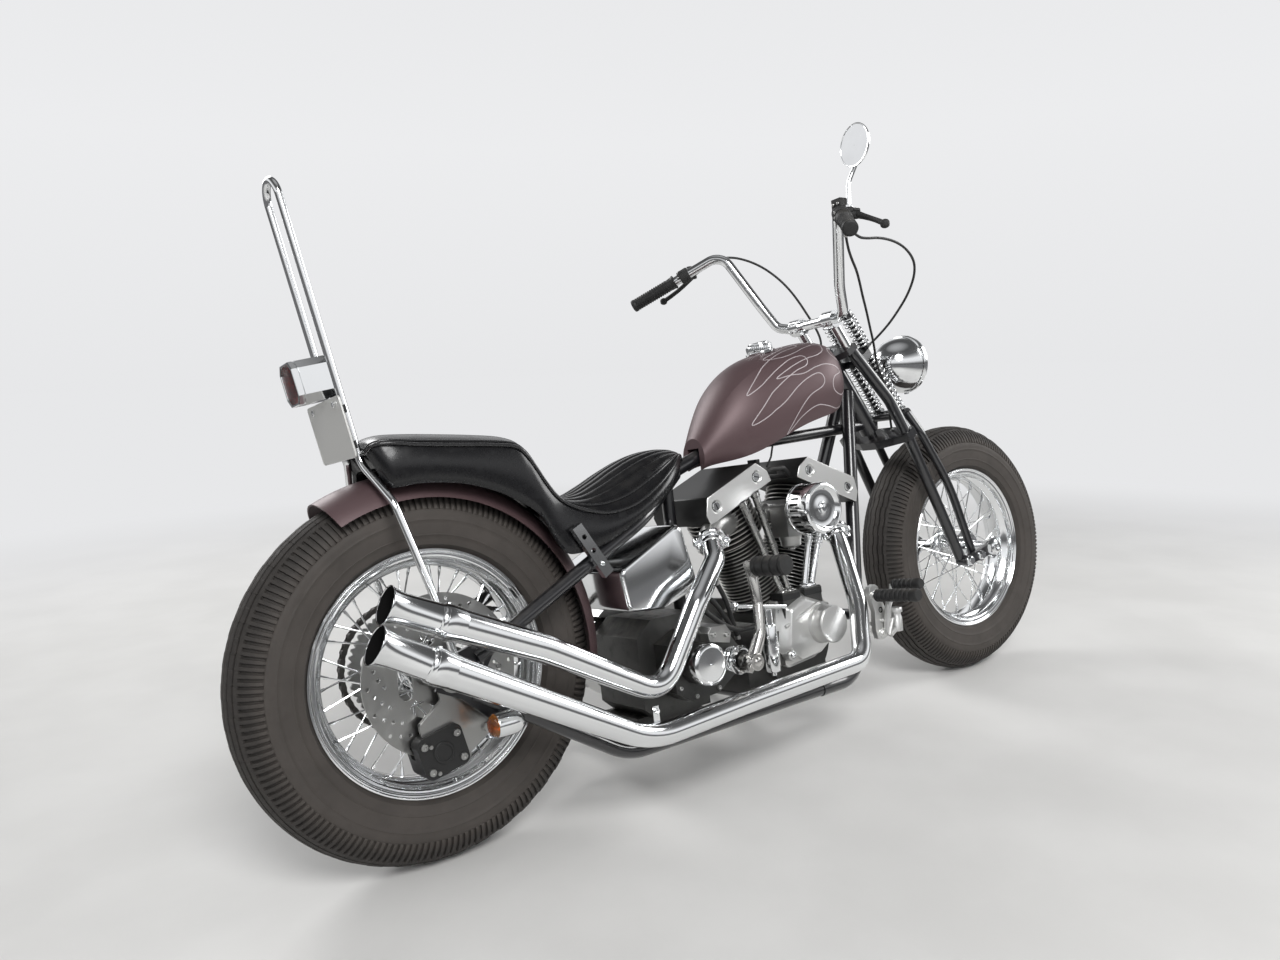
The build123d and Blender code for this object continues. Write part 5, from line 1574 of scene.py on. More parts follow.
@dataclass
class RockerBoxes(SubAssembly):
    """Rocker boxes with polished faces, their tops and sides black as painted shade, and slotted shaft bolts
    sunk in both faces.

    Attributes:
        half: Half their length along the head.
        height: Height over the head.
        crown: How far the top is shorter at each end.
        face: Distance of the faces from the middle.
        bolts: Distance of the bolts from the middle of a face.
        pocket: Radius and depth of a bolt's pocket.
    """

    half: float = 104.0
    height: float = 58.0
    crown: float = 22.0
    face: float = 96.0
    bolts: float = 68.0
    pocket: tuple[float, float] = (13.0, 5.0)

    def build(self, shop: Shop) -> None:
        """Make both boxes in place of their CAD node."""
        screws = Form()
        shoulder, top = HEAD_TOP + self.height * 0.45, HEAD_TOP + self.height
        outline = [(-self.half, HEAD_TOP + 0.3), (self.half, HEAD_TOP + 0.3), (self.half, shoulder),
                   (self.half - self.crown, top), (self.crown - self.half, top), (-self.half, shoulder)]
        for name, angle in (("rear", -VEE_HALF), ("front", VEE_HALF)):
            axis = up_cylinder(angle)
            rows = [[(x, y, z) for x, z in outline] for y in (self.face, -self.face)]
            # The tops and sides take the black finish as painted shade behind the polished faces.
            box = Form().skin(rows, axis, mark=1, capped=True)
            box.marks[-2:] = [0, 0]
            cut = Form()
            for side in SIDES:
                for x in (-self.bolts, self.bolts):
                    radius, depth = self.pocket
                    mouth = axis @ facing((x, side * self.face, HEAD_TOP + self.height * 0.5), (0, side, 0))
                    cut.lathe([(radius, -depth), (radius, depth)], mouth, 32, capped=True)
                    screws.lathe([(9.6, -depth), (9.6, -1.4), (8.6, -0.2)], mouth, 28, mark=0, capped=True)
                    # The near-black ring on the pocket's floor and the near-black strip for the bolt's slot
                    # are painted shade.
                    screws.lathe([(radius - 0.1, 0.15 - depth), (9, 0.2 - depth)], mouth, 32, mark=1)
                    screws.block((15, 2.0, 0.5), mouth @ Matrix.Rotation(0.5 + x, 4, "Z"), mark=1)
            shop.piece(name + "_rocker_box", box, POLISHED, ENGINE_BLACK,
                       replaces="rocker_boxes" if name == "rear" else "", bevel=2.6, cut=cut)
        shop.piece("rocker_shaft_bolts", screws, CHROME, SOOT_AND_SHADE)


@dataclass
class PushrodTubes(SubAssembly):
    """Telescoping pushrod tubes with their collars and clips, on black lifter blocks.

    Attributes:
        rods: Foot ahead of the crank, distance up past the head's top across its axis, cylinder angle and
            whether the tube is bright.
        side: How far right they stand.
        foot: Height of their feet over the crank.
    """

    rods: tuple[tuple[float, float, float, bool], ...] = (
        (-46, 2, -VEE_HALF, False), (-24, 46, -VEE_HALF, False), (24, -46, VEE_HALF, True),
        (46, -2, VEE_HALF, True))
    side: float = -92.0
    foot: float = 113.0

    def build(self, shop: Shop) -> None:
        """Stand the tubes in place of their CAD node."""
        form = Form()
        for ahead, across, angle, bright in self.rods:
            low = vec(CRANK[0] + ahead, self.side, CRANK[2] + self.foot)
            high = up_cylinder(angle) @ vec(across, self.side, HEAD_TOP + 2)
            run = (high - low).length
            collar = run * 0.47
            profile = [(11.5, 0), (12.4, 2), (12.4, 7), (10.4, 10), (7.4, 12), (7.4, collar - 8),
                       (10.6, collar - 6), (10.6, collar - 3), (9.6, collar - 2), (9.6, collar + 1),
                       (10.6, collar + 2), (10.6, collar + 6), (8.8, collar + 8), (8.8, run - 12),
                       (10.8, run - 10), (10.8, run)]
            form.lathe(profile, facing(low, high - low), 28, 0 if bright else 1)
        shop.piece("pushrod_covers", form, CHROME, DULL_CHROME, replaces="pushrod_tubes", sharp=30)
        caps = Form()
        for ahead in (-35.0, 35.0):
            top = CRANK[2] + self.foot + 3
            caps.block((56, 34, 14), shift(CRANK[0] + ahead, self.side, top - 10))
            for x in (-23.0, 23.0):
                caps.cap_screw(shift(CRANK[0] + ahead + x, self.side - 12, top - 3), 4, 4)
        shop.piece("lifter_caps", caps, ENGINE_BLACK, bevel=1.6)


@dataclass
class AirCleaner(SubAssembly):
    """Chromed round air cleaner with a dished face.

    Attributes:
        middle: Its axis in the side view.
        profile: Radius and distance to the right of each ring, from its back to the middle of the dish.
        vents: Number of vents round its back.
    """

    middle: tuple[float, float] = (866.0, 526.0)
    profile: Pairs = (
        (0.5, 132), (30, 132), (52, 142.5), (56, 145), (57, 148), (57, 153), (55.6, 155), (55.6, 189),
        (57, 191), (57, 205), (56, 209.5), (53, 212.5), (50, 213.5), (47.6, 212.6), (45, 208), (41, 204.5),
        (34, 203), (22, 203.6), (14, 205), (13.2, 206.4), (11, 206.8), (10.4, 209), (8, 211), (0.5, 211.8))
    vents: int = 26

    def build(self, shop: Shop) -> None:
        """Spin the drum in place of its CAD node, with a row of vents round its back."""
        x, z = self.middle
        place = facing((x, 0, z), RIGHT)
        form = Form().lathe(self.profile, place, 80)
        for px, py in ring(55.9, self.vents):
            slot = place @ shift(px, py, 172) @ Matrix.Rotation(math.atan2(py, px), 4, "Z")
            # Each vent is a thin near-black block on the drum, painted shade for its opening.
            form.block((1.0, 4.6, 22), slot, mark=1)
        shop.piece("air_cleaner_drum", form, CHROME, SOOT_AND_SHADE, replaces="air_cleaner", sharp=24)
        bowl = facing((x + 4, -92, z - 66), (0, 0, -1))
        body = Form().lathe([(26, -8), (26, 0), (24, 3), (23, 16), (18, 20), (8, 21), (8, 26), (0.5, 26)],
                            bowl, 32)
        for px, py in ring(21, 4, 45):
            body.cap_screw(bowl @ shift(px, py, -8) @ rotation(180, "X"), 3, 4)
        body.tube([(x + 20, -126, z - 22), (x + 40, -128, z - 20), (x + 44, -110, z + 8)], 4)
        shop.piece("carburettor_bowl", body, CAST)


@dataclass
class CamCover(SubAssembly):
    """Cone-shaped timing cover with wide bevelled flanks, a ridge, and the round points cover on its nose.

    Attributes:
        outline: Corners of its foot in the side view.
        peak: Point that the flanks lean to.
        levels: Distance to the right, and share of the foot's size, of each step up the cover.
        points: Middle of the points cover.
        screws: Places of its screws.
    """

    outline: Pairs = (
        (800, 322), (778, 214), (818, 170), (905, 178), (952, 206), (982, 268), (950, 312), (862, 346))
    peak: tuple[float, float] = (880.0, 246.0)
    levels: Pairs = (
        (-66, 1.0), (-88, 1.0), (-90.5, 0.985), (-91, 0.955), (-94, 0.93), (-112, 0.80), (-117, 0.775),
        (-120, 0.74), (-121, 0.68))
    points: tuple[float, float] = (910.0, 258.0)
    screws: Pairs = (
        (805, 302), (790, 216), (822, 182), (900, 188), (944, 214), (966, 268), (940, 302), (862, 332))

    def build(self, shop: Shop) -> None:
        """Make the cover in place of its CAD node."""
        peak = Vector((*self.peak, 0.0))
        corners = [vec(x, z, 0.0) for x, z in self.outline]
        middle = (corners[0] + corners[-1]) / 2
        route = rounded([middle, *corners, middle], 16.0, 5)[:-1]
        rows = []
        for y, share in self.levels:
            shrunk = [peak + (p - peak) * share for p in route]
            rows.append([(p.x, y, p.y) for p in shrunk])
        form = Form().skin(rows, capped=True)
        x, z = self.points
        nose = facing((x, 0, z), RIGHT)
        form.lathe([(50, 112), (46, 122), (42.5, 128), (42.5, 150), (41.6, 153), (42, 153.6), (42, 157),
                    (40.6, 158.6), (38, 159), (0.5, 159)], nose, 64)
        for px, py in ring(37, 2, 35):
            form.cap_screw(nose @ shift(px, py, 158.6), 3.2, 2.4, mark=1)
        for sx, sz in self.screws:
            form.cap_screw(facing((sx, -90, sz), RIGHT), 4.4, 5, mark=1)
        boss = facing((812, -96, 204), RIGHT)
        form.lathe([(15, 0), (14, 14), (12.4, 18), (0.5, 18)], boss, 28)
        form.dome(boss @ shift(z=18), 8.4, 9, mark=1)
        ridge = [(802, -112, 268), (842, -120.5, 286), (900, -120.5, 306), (944, -110, 296)]
        form.tube(rounded(ridge, 20), 4.0, 10)
        shop.piece("timing_cover", form, POLISHED, CHROME, replaces="cam_cover", sharp=28)


@dataclass
class Kicker(SubAssembly):
    """Kick starter with its return spring, folding pedal and the clutch release cover beside it.

    Attributes:
        shaft: Its shaft in the side view.
        cover: Middle of the clutch release cover.
        arm: Points of the arm from the hub to the fold.
        arm_radii: Radius of the arm at each point of its rounded route.
        pedal: Middle of the pedal's inner end and its length.
        grooves: Number of grooves round the pedal's rubber.
    """

    shaft: tuple[float, float] = (596.0, 246.0)
    cover: tuple[float, float] = (508.0, 256.0)
    arm: tuple[Point, ...] = ((596, -224, 252), (622, -226, 300), (632, -218, 356), (636, -207, 412))
    arm_radii: Numbers = (13.5, 12.5, 12, 11.6, 11.3, 11, 11, 11, 10.8, *[10.6] * 5, 11, 11.5)
    pedal: tuple[Point, float] = ((636, -222, 432), 86.5)
    grooves: int = 4

    def build(self, shop: Shop) -> None:
        """Make the kicker in place of its CAD node."""
        x, z = self.shaft
        place = facing((x, 0, z), RIGHT)
        form = Form().lathe([(11, 196), (11, 208), (17, 209), (18, 211), (18, 236), (16.4, 238), (9, 238),
                             (8.4, 240), (7, 241), (0.5, 241)], place, 36, capped=True)
        form.block((12, 30, 16), shift(x - 17, -222, z - 9) @ Matrix.Rotation(0.6, 4, "Y"))
        form.bolt(facing((x - 20, -210, z - 16), (-0.6, 0.2, -0.7)), 5, 5)
        form.tube(rounded(self.arm, 60, 6), self.arm_radii, 20)
        top = Vector(self.arm[-1])
        form.block((20, 26, 30), Matrix.Translation(top + vec(0, -4, 14)))
        form.lathe([(13, -15), (14, -14), (14, 14), (13, 15)], facing(top + vec(0, -6, 22), (1, 0, 0.1)), 24,
                   capped=True)
        form.bolt(facing(top + vec(15, -6, 23), (1, 0, 0.1)), 6, 5)
        shop.piece("kick_arm", form, KICK_STEEL, replaces="kick_starter", bevel=1.6, sharp=40)
        at, length = self.pedal
        profile = [(12, 0), (19, 0.6), (20.5, 3)]
        for i in range(self.grooves):
            g = 14 + i * (length - 22) / (self.grooves - 1)
            profile += [(20.5, g - 2.4), (17, g - 1.4), (17, g + 1.4), (20.5, g + 2.4)]
        profile += [(20.5, length - 3), (18.6, length), (0.5, length + 0.6)]
        shop.piece("kick_pedal_rubber", Form().lathe(profile, facing(at, (0.02, -1, 0.04)), 36), RUBBER,
                   sharp=50)
        spring = Form().coil(place, 23.0, 2.8, 153, 199, 6)
        cx, cz = self.cover
        dish = facing((cx, 0, cz), RIGHT)
        spring.lathe([(41.4, 182), (41.8, 194), (41, 198), (38.6, 200), (34, 201), (33.4, 200), (0.5, 201.4)],
                     dish, 72)
        spring.lathe([(3.2, 201), (3, 203.4), (0.5, 203.8)], dish, 16)
        spring.lathe([(30, 186), (27, 192), (26, 200)], place, 40)
        for px, py in ring(37.4, 3, 20):
            spring.cap_screw(dish @ shift(px, py, 199.6), 2.8, 2)
        shop.piece("kick_spring_and_release_cover", spring, CHROME)
        clamp = Form().prism([(528, 296), (580, 284), (586, 304), (574, 322), (536, 324), (526, 312)], 96,
                             178, SIDE_VIEW)
        for sx, sz in ((538, 308), (572, 302)):
            clamp.cap_screw(facing((sx, -178, sz), RIGHT), 5.4, 6)
        for sx, sz in ((462, 214), (470, 298), (510, 314), (590, 292), (610, 236), (560, 194), (500, 190)):
            clamp.cap_screw(facing((sx, -150, sz), RIGHT), 4.6, 5)
        shop.piece("gearbox_screws", clamp, CAST, bevel=1.2)


@dataclass
class OilFittings(SubAssembly):
    """Oil filter can beside the timing cover, its pipe, and the hoses from the tank.

    Attributes:
        can: Middle of the can, and the heights of its foot and top.
        hoses: Points of each hose.
    """

    can: Numbers = (738.0, -126.0, 184.0, 318.0)
    hoses: tuple[tuple[Point, ...], ...] = (
        ((560, -100, 404), (590, -98, 380), (622, -96, 352), (648, -92, 318), (668, -88, 286)),
        ((556, -96, 372), (590, -106, 338), (626, -110, 308), (664, -108, 290), (700, -96, 284),
         (736, -88, 282)),
        ((652, -70, 396), (668, -76, 352), (676, -80, 306), (684, -84, 262)),
    )

    def build(self, shop: Shop) -> None:
        """Hang the can and lay its pipes."""
        x, y, low, high = self.can
        can = shift(x, y, 0)
        form = Form().lathe([(6, low - 8), (6, low), (15, low + 1), (17, low + 4), (17, low + 42),
                             (18.4, low + 43), (18.4, low + 62), (17, low + 63), (17, high - 34),
                             (15, high - 30), (11, high - 28), (11, high), (9, high + 2)], can, 36,
                            capped=True)
        form.block((12, 30, 16), shift(x, y + 28, low + 52))
        form.cap_screw(facing((x, y - 18, low + 52), RIGHT), 4.2, 4)
        form.tube([(674, -104, 338), (740, -112, 326), (808, -112, 314)], 5.5, 16)
        form.bolt(facing((668, -104, 339), (-1, 0, 0.18)), 9, 8)
        shop.piece("oil_filter_can", form, CHROME)
        pipes = Form()
        for route in self.hoses:
            pipes.tube([row[:3] for row in smooth(route, 6)], 5.4, 14)
            for end, nearby in ((route[0], route[1]), (route[-1], route[-2])):
                pipes.lathe([(6.6, 2), (6.6, 9)], facing(end, Vector(nearby) - Vector(end)), 20, mark=1,
                            capped=True)
        shop.piece("oil_hoses", pipes, RUBBER, STEEL, sharp=40)


# Trim, lights and controls


@dataclass
class Exhausts(SubAssembly):
    """Both exhausts, each a header that widens into a long muffler with a clamp ring and a flared mouth.

    Attributes:
        routes: For each exhaust: the corners of its middle, the length over which it widens, and the radii of
            the corners.
        start: Length at the head that its port hides.
        radii: Radius of the header, of the muffler's wide end, of its sleeve and of the flared mouth.
        sleeve: Length of the straight sleeve.
        bore: Radius of the sleeve inside.
        depth: Depth of the open mouth.
        step: Distance between the rings of the skin.
    """

    routes: tuple[tuple[tuple[Point, ...], float, Numbers], ...] = (
        (((1048, -50, 486), (1026, -96, 424), (988, -164, 290), (932, -208, 176), (590, -212, 168),
          (331, -215, 158), (-72, -215, 386)), 420.0, (60, 150, 60, 300, 200)),
        (((640, -84, 500), (600, -140, 452), (512, -176, 383), (388, -190, 226), (150, -190, 362),
          (-36, -190, 448)), 420.0, (50, 60, 70, 200)))
    start: float = 20.0
    radii: Numbers = (22.0, 29.2, 27.0, 33.0)
    sleeve: float = 95.0
    bore: float = 23.8
    depth: float = 150.0
    step: float = 8.0

    def pipe(self, form: Form, corners: Sequence[Point], taper: float, bends: Sequence[float]) -> Matrix:
        """Add one exhaust up to the end of its sleeve.

        Args:
            form: What it is added to.
            corners: Corners of its middle.
            taper: Length over which it widens.
            bends: Radii of the corners.

        Returns:
            The place of the muffler's wide end, its z axis backward.
        """
        header, wide, tip, flare = self.radii
        route = np.array(rounded(corners, bends, 10))
        lengths = np.concatenate([[0.0], np.cumsum(np.linalg.norm(np.diff(route, axis=0), axis=1))])
        total = lengths[-1]
        at = np.append(np.arange(self.start, total - 5, self.step), total - 5)
        points = np.stack([np.interp(at, lengths, route[:, k]) for k in range(3)], axis=1)
        share = np.clip((at - total + taper) / taper, 0.0, 1.0)
        form.tube([Vector(p) for p in points], list(header + (wide - header) * share), 48)
        end = facing(corners[-1], Vector(corners[-1]) - Vector(corners[-2]))
        mouth = self.sleeve
        form.lathe([(wide, -6), (wide + 0.5, -2), (tip + 1.2, 1), (tip, 4), (tip, mouth - 34),
                    (tip + 0.6, mouth - 24), (tip + 2.2, mouth - 13), (flare - 1.4, mouth - 4),
                    (flare, mouth - 0.4), (flare - 0.3, mouth + 0.5), (flare - 1.4, mouth + 0.3),
                    (flare - 2, mouth - 0.7)], end, 64)
        # The inside of the mouth is near black, for soot and as painted shade in its depth.
        form.lathe([(flare - 2, mouth - 0.7), (tip + 0.4, mouth - 8), (self.bore + 1.4, mouth - 20),
                    (self.bore, mouth - 36), (self.bore, mouth - self.depth), (0.5, mouth - self.depth)], end,
                   64, mark=1)
        return end

    def build(self, shop: Shop) -> None:
        """Bend the pipes in place of their CAD node and add the clamp rings and the hanger."""
        pipes, trim = Form(), Form()
        wide = self.radii[1]
        for corners, taper, bends in self.routes:
            end = self.pipe(pipes, corners, taper, bends)
            trim.lathe([(wide - 0.6, -40), (wide + 0.4, -32), (wide + 1.2, -20), (wide + 1.4, -14),
                        (wide + 1, -8), (wide - 0.1, -3), (wide - 1.6, -0.4), (wide - 2, 1.6),
                        (wide - 1.4, 2.4), (wide - 1.4, 5), (wide - 2.4, 6)], end, 64)
            trim.cap_screw(end @ shift(z=-8) @ facing((0, 27, 0), (0, 1, 0)), 4.4, 5)
        trim.block((14, 5, 34), shift(356, -206, 196))
        trim.cap_screw(facing((356, -208, 204), RIGHT), 6, 6)
        shop.piece("exhaust_pipes", pipes, CHROME, SOOT_AND_SHADE, replaces="exhausts", sharp=40)
        shop.piece("exhaust_trim", trim, CHROME)


@dataclass
class ForwardControls(SubAssembly):
    """Polished foot controls on the downtubes, with ribbed rubber pegs and pads.

    Attributes:
        tube: Place of the downtube that carries them, on the left.
        plate: Corners of the bracket's plate in the side view.
        rib: Distance between a rubber's ribs.
    """

    tube: Point = (1036.0, 113.2, 253.0)
    plate: Pairs = (
        (1046, 196), (1060, 191.5), (1078, 196), (1088, 216), (1084, 258), (1070, 292), (1064, 318),
        (1052, 324), (1036, 320), (1032, 304), (1044, 262), (1040, 216))
    rib: float = 13.0

    def ribbed(self, radius: float, length: float) -> list[tuple[float, float]]:
        """Return the profile of a ribbed rubber.

        Args:
            radius: Its outer radius.
            length: Its length.

        Returns:
            Radius and height of each ring.
        """
        profile = [(8, 0), (radius - 2, 0.5), (radius, 3)]
        z = 9.0
        while z < length - 9:
            profile += [(radius, z - 2.6), (radius - 2.6, z - 1.2), (radius - 2.6, z + 1.2),
                        (radius, z + 2.6)]
            z += self.rib
        return [*profile, (radius, length - 4), (radius - 2.5, length), (0.5, length)]

    def build(self, shop: Shop) -> None:
        """Make both sides in place of their CAD node."""
        form, x, z = Form(), self.tube[0], self.tube[2]
        for side in SIDES:
            low, high = sorted((-side * 150.0, -side * 163.0))
            form.prism(self.plate, low, high, SIDE_VIEW)
            form.tube([(x, side * self.tube[1], z - 30), (x + 26, side * 152, z - 36)], 14, 24)
            form.tube([(x + 1, side * 116, z + 44), (x + 8, side * 152, z + 50)], 12, 20)
            out = (0, side, 0)
            for bx, bz, radius in ((1062, 208, 11.0), (1068, 236, 5.0), (1046, 300, 10.0)):
                form.lathe([(radius, 0), (radius, 2), (radius - 2, 3.4), (0.5, 3.4)],
                           facing((bx, side * 163, bz), out), 28)
                form.bolt(facing((bx, side * 166, bz), out), radius * 0.62, 5)
            # The small hole is lined near black as painted shade.
            form.lathe([(7, 0), (4.6, 0.4), (4.6, -3), (0.5, -3)], facing((1064, side * 163.4, 262), out), 20,
                       mark=2)
            form.lathe([(9, 0), (9, 14)], facing((x + 10, side * 160, z + 46), (0, side, 0.04)), 24)
            form.lathe(self.ribbed(15, 120), facing((x + 10, side * 172, z + 46.6), (0, side, 0.04)), 32,
                       mark=1)
            arm = rounded([(x + 34, side * 172, z - 44), (x + 40, side * 176, z + 14),
                           (x + 58, side * 180, z + 50), (x + 62, side * 180, z + 64)], 22, 5)
            form.tube(arm, [9.5, *[7.5] * (len(arm) - 2), 8.5], 18)
            form.lathe(self.ribbed(13, 80), facing((x + 62, side * 182, z + 64), (0, side, 0.05)), 30, mark=1)
            form.tube([(x + 42, side * 184, z - 12), (x + 24, side * 184, z - 48)], 3.6, 12)
        form.lathe([(11, 0), (14, 1), (14, 34), (12, 37), (12, 44), (15.6, 45), (15.6, 54), (14, 56),
                    (0.5, 56.6)], facing((1098, -176, 206), (0.06, 0, 1)), 32)
        form.tube([(1098, -176, 218), (1070, -176, 204)], 9, 20)
        shop.piece("foot_controls", form, POLISHED, RUBBER, SOOT_AND_SHADE, replaces="forward_controls", bevel=1.4,
                   sharp=40)


@dataclass
class RearBrake(SubAssembly):
    """Caliper carrier, its screws and pins, and the axle's nuts.

    Attributes:
        carrier: Corners of the carrier about the axle.
        box: Middle of the caliper and its turn, in degrees.
        face: Distance of its face to the right.
    """

    carrier: Pairs = (
        (-60, -72), (-16, -40), (-24, 0), (0, 26), (26, 0), (40, -40), (84, -94), (60, -118), (10, -150),
        (-50, -150))
    box: Numbers = (-26.0, 217.0, -12.0)
    face: float = 116.0

    def build(self, shop: Shop) -> None:
        """Add the pieces."""
        x, z, turn = self.box
        corners = [vec(cx, Space.TYRE_RADIUS + cz, 0) for cx, cz in self.carrier]
        start = (corners[0] + corners[-1]) / 2
        outline = [(p.x, p.y) for p in rounded([start, *corners, start], 8, 4)[:-1]]
        middle = Vector((0, 270))
        outline = [tuple(middle + (Vector(p) - middle) * 1.006) for p in outline]
        plate = Form().prism(outline, 97.7, 106.5, SIDE_VIEW)
        shop.piece("caliper_carrier", plate, STEEL, bevel=0.8)
        box = shift(x, 0, z) @ rotation(turn, "Y")
        form = Form()
        for dx, dz in ((-30, 22), (31, 20), (-30, -24), (30, -24)):
            form.cap_screw(box @ facing((dx, -self.face, dz), RIGHT), 6.4, 5)
        form.lathe([(19, -1), (19, 1.4), (17.6, 2.6), (14, 2.8), (13.4, 1.6), (0.5, 1.8)],
                   box @ facing((0, -self.face, -2), RIGHT), 40, mark=1)
        for dz in (-26, 22):
            form.tube([box @ vec(-20, -64, dz - 4), box @ vec(-20, -122, dz - 4)], 3.4, 14)
        form.bolt(facing((62, -106.4, 236), RIGHT), 9, 7)
        form.bolt(facing((16, -106.4, 200), RIGHT), 9, 7)
        for side in SIDES:
            nut = facing((0, side * 132.2, Space.TYRE_RADIUS), (0, side, 0))
            form.lathe([(23, -2.2), (24, -1), (24, 0.8), (21, 1.4)], nut, 40)
            form.bolt(nut, 21, 14)
        for side in SIDES:
            for bx, bz in ((52, 352), (86, 342)):
                form.cap_screw(facing((bx, side * 132, bz), (0, side, 0)), 5.4, 5)
        shop.piece("brake_bolts_and_axle_nuts", form, STEEL, ENGINE_BLACK)


@dataclass
class RearLights(SubAssembly):
    """Tail lamp, blank plate and amber signals.

    Attributes:
        way: Where lamp and plate face.
        lamp: Middle of the lamp's back.
        size: Half its width, half its height, its cut corners and its depth.
        plate: Middle of the plate's back, then half its width and height.
        signal: Middle of the signal on the left.
    """

    way: Point = (-0.985, 0.0, -0.174)
    lamp: Point = (-110.0, 0.0, 878.0)
    size: Numbers = (36.0, 37.0, 14.0, 66.0)
    plate: tuple[Point, float, float] = ((-112.0, 0.0, 783.0), 90.0, 54.0)
    signal: Point = (70.0, 172.0, 250.0)

    def frame(self, at: Point) -> Matrix:
        """Return a place that faces back from there, its x axis to the left."""
        back = Vector(self.way).normalized()
        left = vec(0.0, 1.0, 0.0)
        return Space.placed(Vector(at), left, back.cross(left), back, 1.0)

    def octagon(self, share: float, depth: float) -> list[Point]:
        """Return the lamp's outline at a share of its size.

        Args:
            share: The share.
            depth: Distance from the lamp's back.

        Returns:
            The corners, in order.
        """
        w, h, cut, _ = self.size
        corners = [(w - cut, -h), (w, cut - h), (w, h - cut), (w - cut, h), (cut - w, h), (-w, h - cut),
                   (-w, cut - h), (cut - w, -h)]
        return [(x * share, y * share, depth) for x, y in corners]

    def build(self, shop: Shop) -> None:
        """Make all of them in place of their CAD nodes."""
        deep, case = self.size[3], self.frame(self.lamp)
        shell = [(0.9, 0), (0.985, 1.2), (1, 3.4), (1, deep - 12), (0.965, deep - 11.4), (0.965, deep - 9.6),
                 (1, deep - 9), (1, deep - 1.6), (0.98, deep), (0.90, deep), (0.885, deep - 1.4),
                 (0.885, deep - 6)]
        form = Form().skin([self.octagon(*level) for level in shell], case)
        form.skin([self.octagon(*level) for level in ((0.01, 0.1), (0.9, 0))], case)
        lens = [(0.88, deep - 5), (0.87, deep - 2.2), (0.80, deep - 1), (0.4, deep - 0.5), (0.02, deep - 0.4)]
        form.skin([self.octagon(*level) for level in lens], case, mark=1, capped=True)
        form.block((8, 44, 18), shift(-108, 0, 875))
        shop.piece("tail_lamp_case", form, CHROME, RED, replaces="tail_lamp", sharp=25)
        at, w, h = self.plate
        outline = rounded([(0, -h, 0), (w, -h, 0), (w, h, 0), (-w, h, 0), (-w, -h, 0), (0, -h, 0)], 9, 5)[:-1]
        levels = ((1.0, 0.0), (1.0, 2.2), (0.994, 3.0), (0.985, 3.0), (0.98, 2.2), (0.0, 2.2))
        rows = [[(p.x * (1 - (1 - share) * h / w), p.y * share, d) if share else (0, 0, d) for p in outline]
                for share, d in levels]
        back = self.frame(at)
        form = Form().skin(rows, back, capped=True)
        for y in (-32.0, 32.0):
            form.block((88, 14, 21), back @ shift(0, y, -10.5), mark=1)
        for x in (-58.0, 58.0):
            form.cap_screw(back @ shift(x, -h + 12, 2.4), 6, 3, mark=2)
        shop.piece("blank_plate", form, PLATE, ENGINE_BLACK, CHROME, replaces="number_plate")
        form, (x, y, z) = Form(), self.signal
        for side in SIDES:
            body = facing((x, side * y, z), (1, 0, 0))
            form.lathe([(18.4, -22), (20.6, -23.4), (21.4, -21), (21.6, -16), (22, 4), (21.4, 12), (19.6, 19),
                        (15.6, 25), (9, 30), (0.5, 32)], body, 44)
            form.lathe([(0.5, -34), (9, -33.4), (14.4, -31), (18, -27), (19.2, -23), (18.4, -19), (0.5, -19)],
                       body, 40, mark=1)
            form.tube([(79, side * 132, z + 4), (79, side * 158, z + 4)], 5, 18)
            form.bolt(facing((79, side * 136, z + 4), (0, side, 0)), 9.5, 6)
        shop.piece("signal_lamps", form, CHROME, AMBER, replaces="turn_signals")


@dataclass
class Headlamp(SubAssembly):
    """Bullet headlamp with its rim, reflector and glass.

    Attributes:
        ahead: Its middle in the fork's frame: distance ahead of the steering axis.
        up: Distance up that axis.
    """

    ahead: float = 208.3
    up: float = 524.8

    def build(self, shop: Shop) -> None:
        """Make the lamp in place of its CAD node."""
        space = shop.space
        middle = space.steered.inverted() @ space.fork @ vec(self.ahead, 0, self.up)
        place = facing(middle, (1, 0, 0))
        form = Form().lathe([(0.5, -78), (10, -77.4), (20, -75), (32, -69.8), (45, -60), (56, -47), (65, -29),
                             (71, -9), (73.6, 10), (73.8, 14)], place, 72)
        form.lathe([(73.4, 13), (76.4, 14), (78, 16.4), (78, 19), (76.8, 20), (76.8, 21.4), (78, 22.4),
                    (77.6, 28), (74, 31), (70.4, 30.8), (69.6, 28)], place, 72)
        form.lathe([(69.4, 28), (62, 10), (46, -8), (24, -18), (0.5, -20)], place, 56)
        form.dome(place @ shift(z=-18), 11, 30)
        form.lathe([(70, 29), (62, 32.8), (42, 36.8), (20, 39), (0.5, 39.6)], place, 56, mark=1)
        form.lathe([(0.5, 37.4), (20, 36.8), (42, 34.6), (62, 30.4), (69.4, 27.4)], place, 56, mark=1)
        form.bolt(place @ facing((0, 0, -78), (0, 0, -1)), 7, 5)
        form.block((9, 9, 13), Matrix.Translation(middle + vec(24, 0, -75)))
        shop.piece("headlamp_shell", form, CHROME, CLEAR, body=Body.FORK, place=space.steered,
                   replaces="headlamp")


